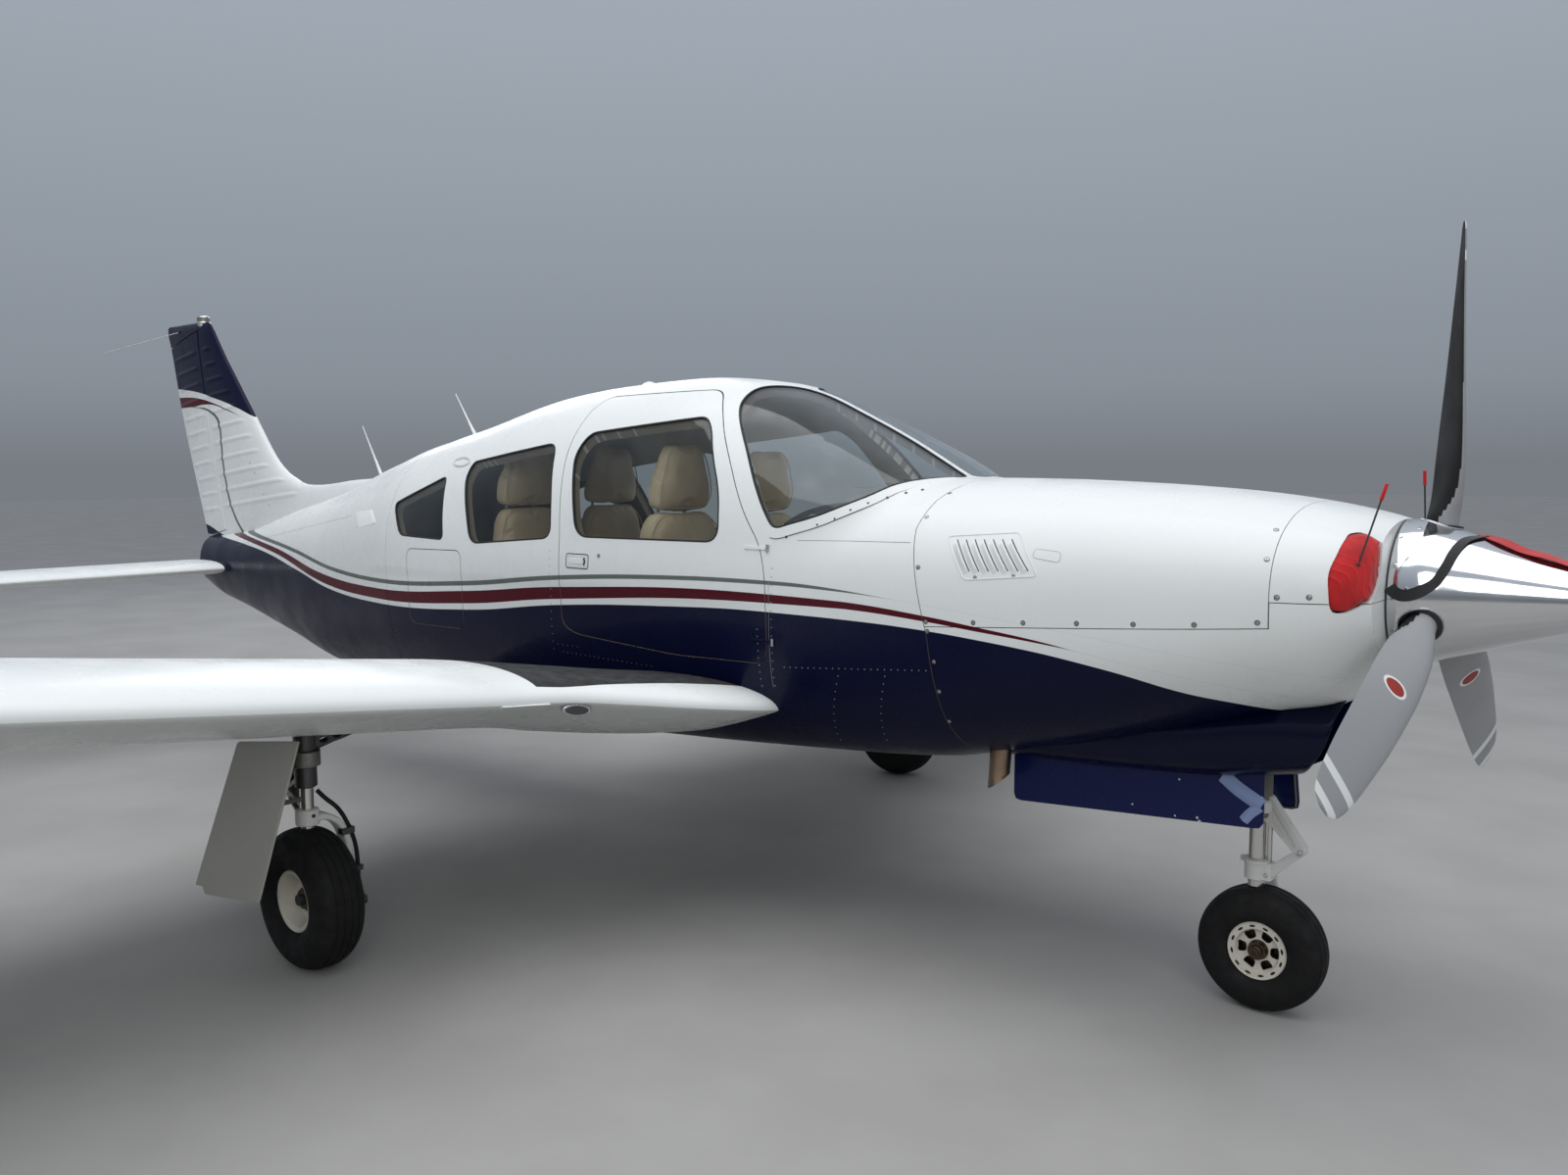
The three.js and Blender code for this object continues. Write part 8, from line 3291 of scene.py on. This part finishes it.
@dataclass
class Details:
    """Small fittings on the skin: screws, strips, louvres, handles, aerials and lamps."""

    screw: float = 0.0058

    def on_skin(self, spots: list, side: Side, size: float, high: float = 0.0016,
                count: int = 10, mark: int = 0) -> Shape:
        """Low round heads on one side's skin, at places and heights.

        Args:
            spots: places and heights on the skin.
            side: side of the aircraft.
            size: radius of a head.
            high: height of a head.
            count: points round it.
            mark: number of its finish.

        Returns:
            All heads as one shape.
        """
        spots = np.array(spots)
        points, normals = HULL.on_side(spots[:, 0], spots[:, 1], side)
        shape = Shape()
        for point, normal in zip(points, normals, strict=True):
            shape.turned([(-0.001, size), (high * 0.6, size * 0.95), (high, size * 0.6)], point,
                         normal, count, mark=mark)
        return shape

    def line(self, spots: list, side: Side, width: float, high: float = 0.0006,
             steps: int = 60, mark: int = 0) -> Shape:
        """Thin strip along a line of places and heights on one side's skin."""
        path = curve_through(np.array(spots), steps)
        points, normals = HULL.on_side(path[:, 0], path[:, 1], side)
        return Shape().grid(swept(points, slab_section(width / 2, -0.002, high), normals), mark=mark)

    def ring(self, outline: Array, side: Side, half: float, high: float, mark: int = 0) -> Shape:
        """Thin raised line round an outline of places and heights on one side's skin."""
        path = looped(outline)
        points, normals = HULL.on_side(path[:, 0], path[:, 1], side)
        return Shape().grid(swept(points, slab_section(half, -0.002, high), normals), mark=mark)

    def fasteners(self, spots: list, side: Side) -> Shape:
        """Slotted heads at places and heights on one side's skin; their dark rings and slot bars are
        painted shade.

        Args:
            spots: places and heights on the skin.
            side: side of the aircraft.

        Returns:
            All heads as one shape.
        """
        # The dark ring under each head and the dark bar across it are painted shade of the countersink
        # and the slot.
        shape = self.on_skin(spots, side, self.screw * 1.3, 0.0005, 14, 1)
        shape.join(self.on_skin(spots, side, self.screw, 0.0012, 12))
        spots = np.array(spots)
        points, normals = HULL.on_side(spots[:, 0], spots[:, 1], side, 0.0011)
        for point, normal in zip(points, normals, strict=True):
            half = axes_of(normal)[1] * self.screw * 0.7
            shape.bar(point - half, point + half, 0.0006, 4, 1)
        return shape

    def screws(self) -> None:
        """Fasteners of the cowls, the bowl, the windshield strip and its post."""
        # Place and height of each
        cowl = [(2.092, 1.113), (2.246, 1.122), (2.397, 1.132), (2.550, 1.141), (2.703, 1.149),
                (2.857, 1.158), (3.005, 1.172)]
        wall = [(2.027, 1.412), (2.055, 1.269), (2.097, 1.086), (2.118, 0.998), (2.126, 0.909),
                # The dark dot on each head, mark 1, is painted shade of its recess.
                (2.132, 0.814), (2.034, 1.480)]
        bowl = [(3.047, 1.237), (3.117, 1.240), (3.014, 1.329), (3.011, 1.400)]
        strip = [(1.555, 1.341), (1.663, 1.380), (1.718, 1.400), (1.762, 1.427), (1.806, 1.448),
                 (1.849, 1.465), (1.887, 1.479), (1.922, 1.488)]
        shape = Shape()
        for side in Side:
            for spots in (cowl, wall, bowl):
                shape.join(self.fasteners(spots, side))
            shape.join(self.on_skin(strip, side, 0.0050, 0.0036, 12, 1))
        for x in np.linspace(1.235, 1.830, 7):
            point, normal = HULL.point(x, np.pi / 2), HULL.normal(x, np.pi / 2)
            shape.turned([(-0.001, 0.0048), (0.0018, 0.0045), (0.0024, 0.003)], point, normal, 10)
        finish(shape.build("skin_screws"), Finishes.of(FINISH_SCREW, FINISH_DARK_METAL), "root")

    def rivets(self) -> None:
        """Rows of small rivets and the thin laps between the sheets of the skin."""
        # Where each row starts and ends, as place and height, and its number of rivets
        rows = (
            ((1.560, 0.926), (2.090, 0.969), 23), ((1.771, 0.919), (1.691, 0.688), 10),
            ((1.945, 0.937), (1.879, 0.716), 10), ((1.452, 1.040), (1.455, 0.853), 9),
            ((0.474, 0.873), (0.948, 0.866), 20), ((0.448, 0.900), (0.560, 0.900), 5),
            ((0.420, 1.250), (0.420, 0.880), 14), ((1.512, 1.240), (1.512, 0.860), 15),
            ((-0.820, 1.560), (-0.820, 0.700), 26), ((-1.350, 1.430), (-1.350, 0.640), 22),
            ((-1.860, 1.330), (-1.860, 0.660), 18), ((-2.330, 1.260), (-2.330, 0.720), 14),
        )
        laps = (
            ((1.5020, 1.200), (1.5020, 1.000), (1.5035, 0.853)),
            ((-2.900, 1.120), (-2.231, 1.209), (-1.762, 1.272), (-1.242, 1.337)),
        )
        shape = Shape()
        for side in Side:
            for start, end, count in rows:
                spots = np.linspace(start, end, count)
                shape.join(self.on_skin(list(spots), side, 0.0024, 0.0010, 6, int(start[0] > 0)))
            for lap in laps:
                shape.join(self.line(list(lap), side, 0.0012, 0.0005, mark=1))
        finish(shape.build("skin_rivets"), Finishes.of(FINISH_HULL, FINISH_SCREW), "root")

    def strips(self) -> None:
        """Retaining strip under the windshield with its shadow line, and the strip on its post."""
        shape = Shape()
        for side in Side:
            opening = Opening.from_turns(Fuselage.windshield, side)
            first, last = opening.nearest(1.912, 105.0, side), opening.nearest(1.500, 154.6, side)
            share = tuple(sorted((first, last)))
            shape.join(opening.band(slab_section(0.0155, -0.003, 0.0022) + (0.0185, 0), share))
            shape.join(opening.band(slab_section(0.0008, -0.003, 0.0006) + (0.0350, 0), share, 1), 1)
            shape.join(self.line([(1.60, 1.331), (1.80, 1.335), (2.010, 1.338)], side, 0.0012,
                                 0.0005, mark=1))
        x = np.linspace(1.200, 1.900, 50)
        points, normals = HULL.point(x, np.full(50, np.pi / 2)), HULL.normal(x, np.full(50, np.pi / 2))
        shape.grid(swept(points, slab_section(0.0125, -0.003, 0.0020), normals))
        finish(shape.build("windshield_strips"), Finishes.of(FINISH_WHITE, FINISH_DARK_METAL), "root")

    def louvres(self) -> None:
        """Seven slanted louvres in a pressed panel on each side of the upper cowl."""
        shape = Shape()
        for side in Side:
            for share in np.linspace(0, 1, 7):
                top = np.array([2.155, 1.347]) * (1 - share) + np.array([2.325, 1.353]) * share
                low = np.array([2.216, 1.259]) * (1 - share) + np.array([2.395, 1.268]) * share
                path = curve_through([top, (top + low) / 2, low], 16)
                points, normals = HULL.on_side(path[:, 0], path[:, 1], side)
                arch = np.sin(np.linspace(0, np.pi, 16)) ** 0.5
                section = np.stack([
                    np.array([(-0.010, -0.001), (-0.0085, 0.0070 * k), (-0.006, 0.0085 * k),
                              (0.010, -0.0005)]) for k in arch])
                section[..., 0] *= -side.value
                shape.grid(swept(points, section, normals))
                # A dark strip beside each louvre: painted shade in its opening.
                slot = slab_section(0.0014, -0.002, 0.0008) + (0.0112 * side.value, 0)
                shape.grid(swept(points, slot, normals), mark=1)
            rim = rounded([(2.128, 1.361), (2.352, 1.378), (2.432, 1.262), (2.210, 1.241)], 0.014, 90)
            shape.join(self.ring(rim, side, 0.0020, 0.0016))
            shape.join(self.on_skin([(2.245, 1.250), (2.362, 1.259)], side, 0.0062, 0.0012, 12, 2), 2)
            flap = rounded([(2.408, 1.312), (2.490, 1.300), (2.490, 1.329), (2.412, 1.336)], 0.012, 40)
            shape.join(self.ring(flap, side, 0.0008, 0.0005, 2))
        finish(shape.build("cowl_louvres"), Finishes.of(FINISH_WHITE, FINISH_DARK, FINISH_SCREW),
               "root")

    def door_fittings(self) -> None:
        """Flush handle and lock of the cabin door, and its two hinges' leaves."""
        side = Side.RIGHT
        shape = Shape()
        rim = rounded([(0.516, 1.193), (0.639, 1.193), (0.639, 1.245), (0.516, 1.245)], 0.010, 80)
        for inset, width, high, mark in ((0.0, 0.0035, 0.0010, 1), (-0.008, 0.0022, 0.0016, 0)):
            shape.join(self.ring(offset(rim, inset), side, width / 2, high, mark))
        shape.join(self.line([(0.534, 1.219), (0.580, 1.219), (0.610, 1.219)], side, 0.020, 0.0022,
                             20))
        shape.join(self.line([(0.616, 1.206), (0.620, 1.219), (0.616, 1.232)], side, 0.007, 0.0024,
                             16, 1))
        shape.join(self.on_skin([(0.696, 1.244)], side, 0.0085, 0.0020, 18, 2))
        # The dark disc in the lock is painted shade of its keyhole.
        shape.join(self.on_skin([(0.696, 1.244)], side, 0.0030, 0.0024, 8, 1))
        finish(shape.build("door_handle"), Finishes.of(FINISH_WHITE, FINISH_DARK, FINISH_STEEL),
               "door")
        hinge = Shape()
        for x, z, mark in ((1.440, 1.302, 0), (1.470, 1.003, 2)):
            hinge.join(self.line([(x - 0.048, z), (x, z), (x + 0.040, z)], side, 0.012, 0.0035, 14,
                                 mark))
            point, _ = HULL.on_side(np.array([x + 0.048]), np.array([z]), side, 0.004)
            hinge.bar(point[0] - (0, 0, 0.012), point[0] + (0, 0, 0.012), 0.0055, 14, 1)
        finish(hinge.build("door_hinge_leaves"),
               Finishes.of(FINISH_WHITE, FINISH_STEEL, FINISH_NAVY), "door")

    def roof(self) -> None:
        """Aerials, the cabin air vent, a low dome and a blank plate."""
        shape = Shape()
        for foot, tip in (((-1.556, 0, 1.480), (-1.741, 0, 1.773)),
                          ((-0.746, 0, 1.660), (-0.927, 0, 1.906))):
            foot, tip = np.array(foot), np.array(tip)
            length = np.linalg.norm(tip - foot)
            shape.turned([(0, 0.011), (0.07, 0.0085), (length * 0.5, 0.0042), (length, 0.0018)],
                         foot, tip - foot, 16)
            base = HULL.point(np.array(foot[0] - 0.03), np.pi / 2)
            shape.turned([(-0.004, 0.026), (0.003, 0.024), (0.010, 0.014), (0.014, 0.006)], base,
                         (0, 0, 1), 28)
        dome = HULL.point(np.array(0.392), np.pi / 2)
        shape.turned([(-0.004, 0.034), (0.006, 0.032), (0.014, 0.022), (0.019, 0.008)], dome,
                     (0, 0, 1), 32)
        for side in Side:
            vent = ellipse(0.070, 0.017, 60) + (-0.302, 1.585)
            shape.join(self.ring(vent, side, 0.0045, 0.004, 1))
            if side is Side.RIGHT:
                shape.join(self.blank_plate(side))
        finish(shape.build("roof_fittings"), Finishes.of(FINISH_WHITE, FINISH_GEAR, FINISH_PLATE),
               "root")

    @staticmethod
    def blank_plate(side: Side) -> Shape:
        """Blank plate on the skin behind the quarter window, its rim turned down."""
        outline = rounded([(-1.229, 1.351), (-1.014, 1.370), (-0.926, 1.312), (-1.153, 1.281)],
                          0.010, 60)
        centre = outline.mean(axis=0)
        rings = []
        for share, lift in ((0.1, 0.0012), (0.6, 0.0012), (0.98, 0.0012), (1.0, 0.0006),
                            (1.0, -0.002)):
            flat = centre + (outline - centre) * share
            rings.append(HULL.on_side(flat[:, 0], flat[:, 1], side, lift)[0])
        return Shape().grid(np.stack(rings), mark=2)

    def fin_top(self) -> None:
        """Ribbed silver lamp on the fin and the two swept whiskers of its aerial."""
        shape = Shape()
        rows = [(2.396, 0.024), (2.412, 0.038), (2.421, 0.040), (2.425, 0.037)]
        for z in np.linspace(2.428, 2.452, 7):
            rows += [(z, 0.0370), (z + 0.002, 0.0345)]
        rows += [(2.458, 0.033), (2.462, 0.022), (2.464, 0.004)]
        shape.turned(rows, (-3.436, 0, 0), (0, 0, 1), 36)
        finish(shape.build("fin_beacon"), Finishes.of(FINISH_CHROME), "root",
               ("beacon",))
        aerial = Shape()
        for side in Side:
            aerial.tube([(-3.722, side.value * 0.010, 2.386), (-3.752, side.value * 0.090, 2.358),
                         (-3.925, side.value * 0.379, 2.247)], 0.0022, 8, 20)
        aerial.block((-3.750, -0.024, 2.378), (-3.700, 0.024, 2.394), 0.004, 1)
        spots = np.array([(-2.912, 1.646), (-2.856, 1.588), (-2.805, 1.529), (-2.757, 1.468),
                          (-2.710, 1.411), (-2.656, 1.352)])
        lead, trail, thickness = smooth_rows(np.array(Tail.fin_rows), spots[:, 1]).T
        y = thickness * half_thickness((spots[:, 0] - lead) / (trail - lead))
        for side in Side:
            for (x, z), out in zip(spots, y * side.value, strict=True):
                aerial.turned([(-0.001, 0.0052), (0.0008, 0.0050), (0.0014, 0.003)], (x, out, z),
                              (0, side.value, 0), 10)
        finish(aerial.build("fin_aerial"), Finishes.of(FINISH_SCREW, FINISH_NAVY), "root")

    @staticmethod
    def inlet(wing: Wing, span: float = 1.062) -> Shape:
        """Oval air inlet on the leading edge near the root.

        Args:
            wing: wing that it is on.
            span: its distance from the centreline.

        Returns:
            The collar, and a dark disc in its mouth that is painted shade of the opening.
        """
        here, there = wing.surface(np.array([span, span + 0.02]), 0.0, 1.0) - (0.004, 0, 0.026)
        along = unit(there - here)
        ahead = unit(np.cross(along, (0, 0, 1.0)))
        ahead = ahead * np.sign(ahead[0])
        turn = np.linspace(0, 2 * np.pi, 40, endpoint=False)
        shape = Shape()
        # Mark 1 is the dark disc: painted shade of the opening.
        for mark, rings in ((0, ((1.0, -0.045), (1.0, 0.002), (0.93, 0.004))),
                            (1, ((0.80, 0.0), (0.80, 0.0044)))):
            shape.grid(np.stack([
                here + ahead * depth + scale * (0.046 * np.cos(turn)[:, None] * along
                                                + 0.018 * np.sin(turn)[:, None] * np.array([0, 0, 1.0]))
                for scale, depth in rings]), mark=mark)
        return shape

    def wing_fittings(self) -> None:
        """Tip lamps, fuel caps, tie-down rings, stall strips and the oval inlet."""
        wing = Wing()
        for side in Side:
            shape = Shape()
            lead = wing.point(np.array([5.300]), np.array([0.02]), np.array([0.0]))[0]
            lamp = Shape().turned([(0, 0.026), (0.030, 0.024), (0.050, 0.014), (0.056, 0.003)],
                                  lead + (-0.030, 0, 0), (0.9, -0.35, 0), 28)
            cap = wing.point(np.array([2.350]), np.array([0.28]), np.array([0.128]))[0]
            shape.turned([(-0.006, 0.042), (0.0015, 0.042), (0.0025, 0.036), (0.0025, 0.010),
                          (0.007, 0.008)], cap, (0.0, 0.12, 1.0), 36)
            x, y = wing.tie_down
            ring = np.stack([np.zeros(28), np.cos(np.linspace(0, 2 * np.pi, 28)),
                             np.sin(np.linspace(0, 2 * np.pi, 28))], -1) * 0.014
            place = np.array([x, -y, 0.935])
            shape.grid(swept(place + ring, ring_section(0.0035, 8), (1.0, 0, 0)), mark=1)
            shape.bar(place + (0, 0, 0.012), place + (0, 0, 0.075), 0.007, 16, 1)
            strip = wing.surface(np.linspace(1.14, 1.30, 20), 0.002, -1.0)
            section = [(-0.007, -0.005), (0.0, 0.009), (0.007, -0.005)]
            shape.grid(swept(strip, np.array(section), (1.0, 0, 0)), mark=2)
            shape.join(self.inlet(wing))
            for span in np.arange(1.50, 5.05, 0.045):
                spot = wing.surface(np.array([span]), np.array([0.30]), 1.0)[0]
                shape.turned([(-0.001, 0.0028), (0.0012, 0.0020)], spot, (0, 0.12, 1.0), 6, mark=2)
            name = side.label
            if side is Side.LEFT:
                shape, lamp = shape.mirrored(), lamp.mirrored()
            finish(shape.build(f"wing_{name}_fittings"),
                   Finishes.of(FINISH_STEEL, FINISH_DARK_METAL, FINISH_WHITE), "root")
            look = FINISH_GREEN_LENS if side is Side.RIGHT else FINISH_RED_LENS
            finish(lamp.build(f"tip_lamp_{name}"), Finishes.of(look), "root")

    def build(self) -> None:
        """Makes the small fittings."""
        self.screws()
        self.rivets()
        self.strips()
        self.louvres()
        self.door_fittings()
        self.roof()
        self.fin_top()
        self.wing_fittings()


def main() -> None:
    """Builds the aircraft's looks around its frame, piece by piece."""
    logging.basicConfig(level=logging.INFO, format="%(name)s: %(message)s")
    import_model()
    Studio().build()
    Fuselage().build()
    Wing().build()
    Tail().build()
    Propeller().build()
    for wheel in wheels():
        wheel.build()
    NoseGear().build()
    for side in Side:
        MainGear(side).build()
    Cabin().build()
    Covers().build()
    Engine().build()
    Details().build()


if __name__ == "__main__":
    main()
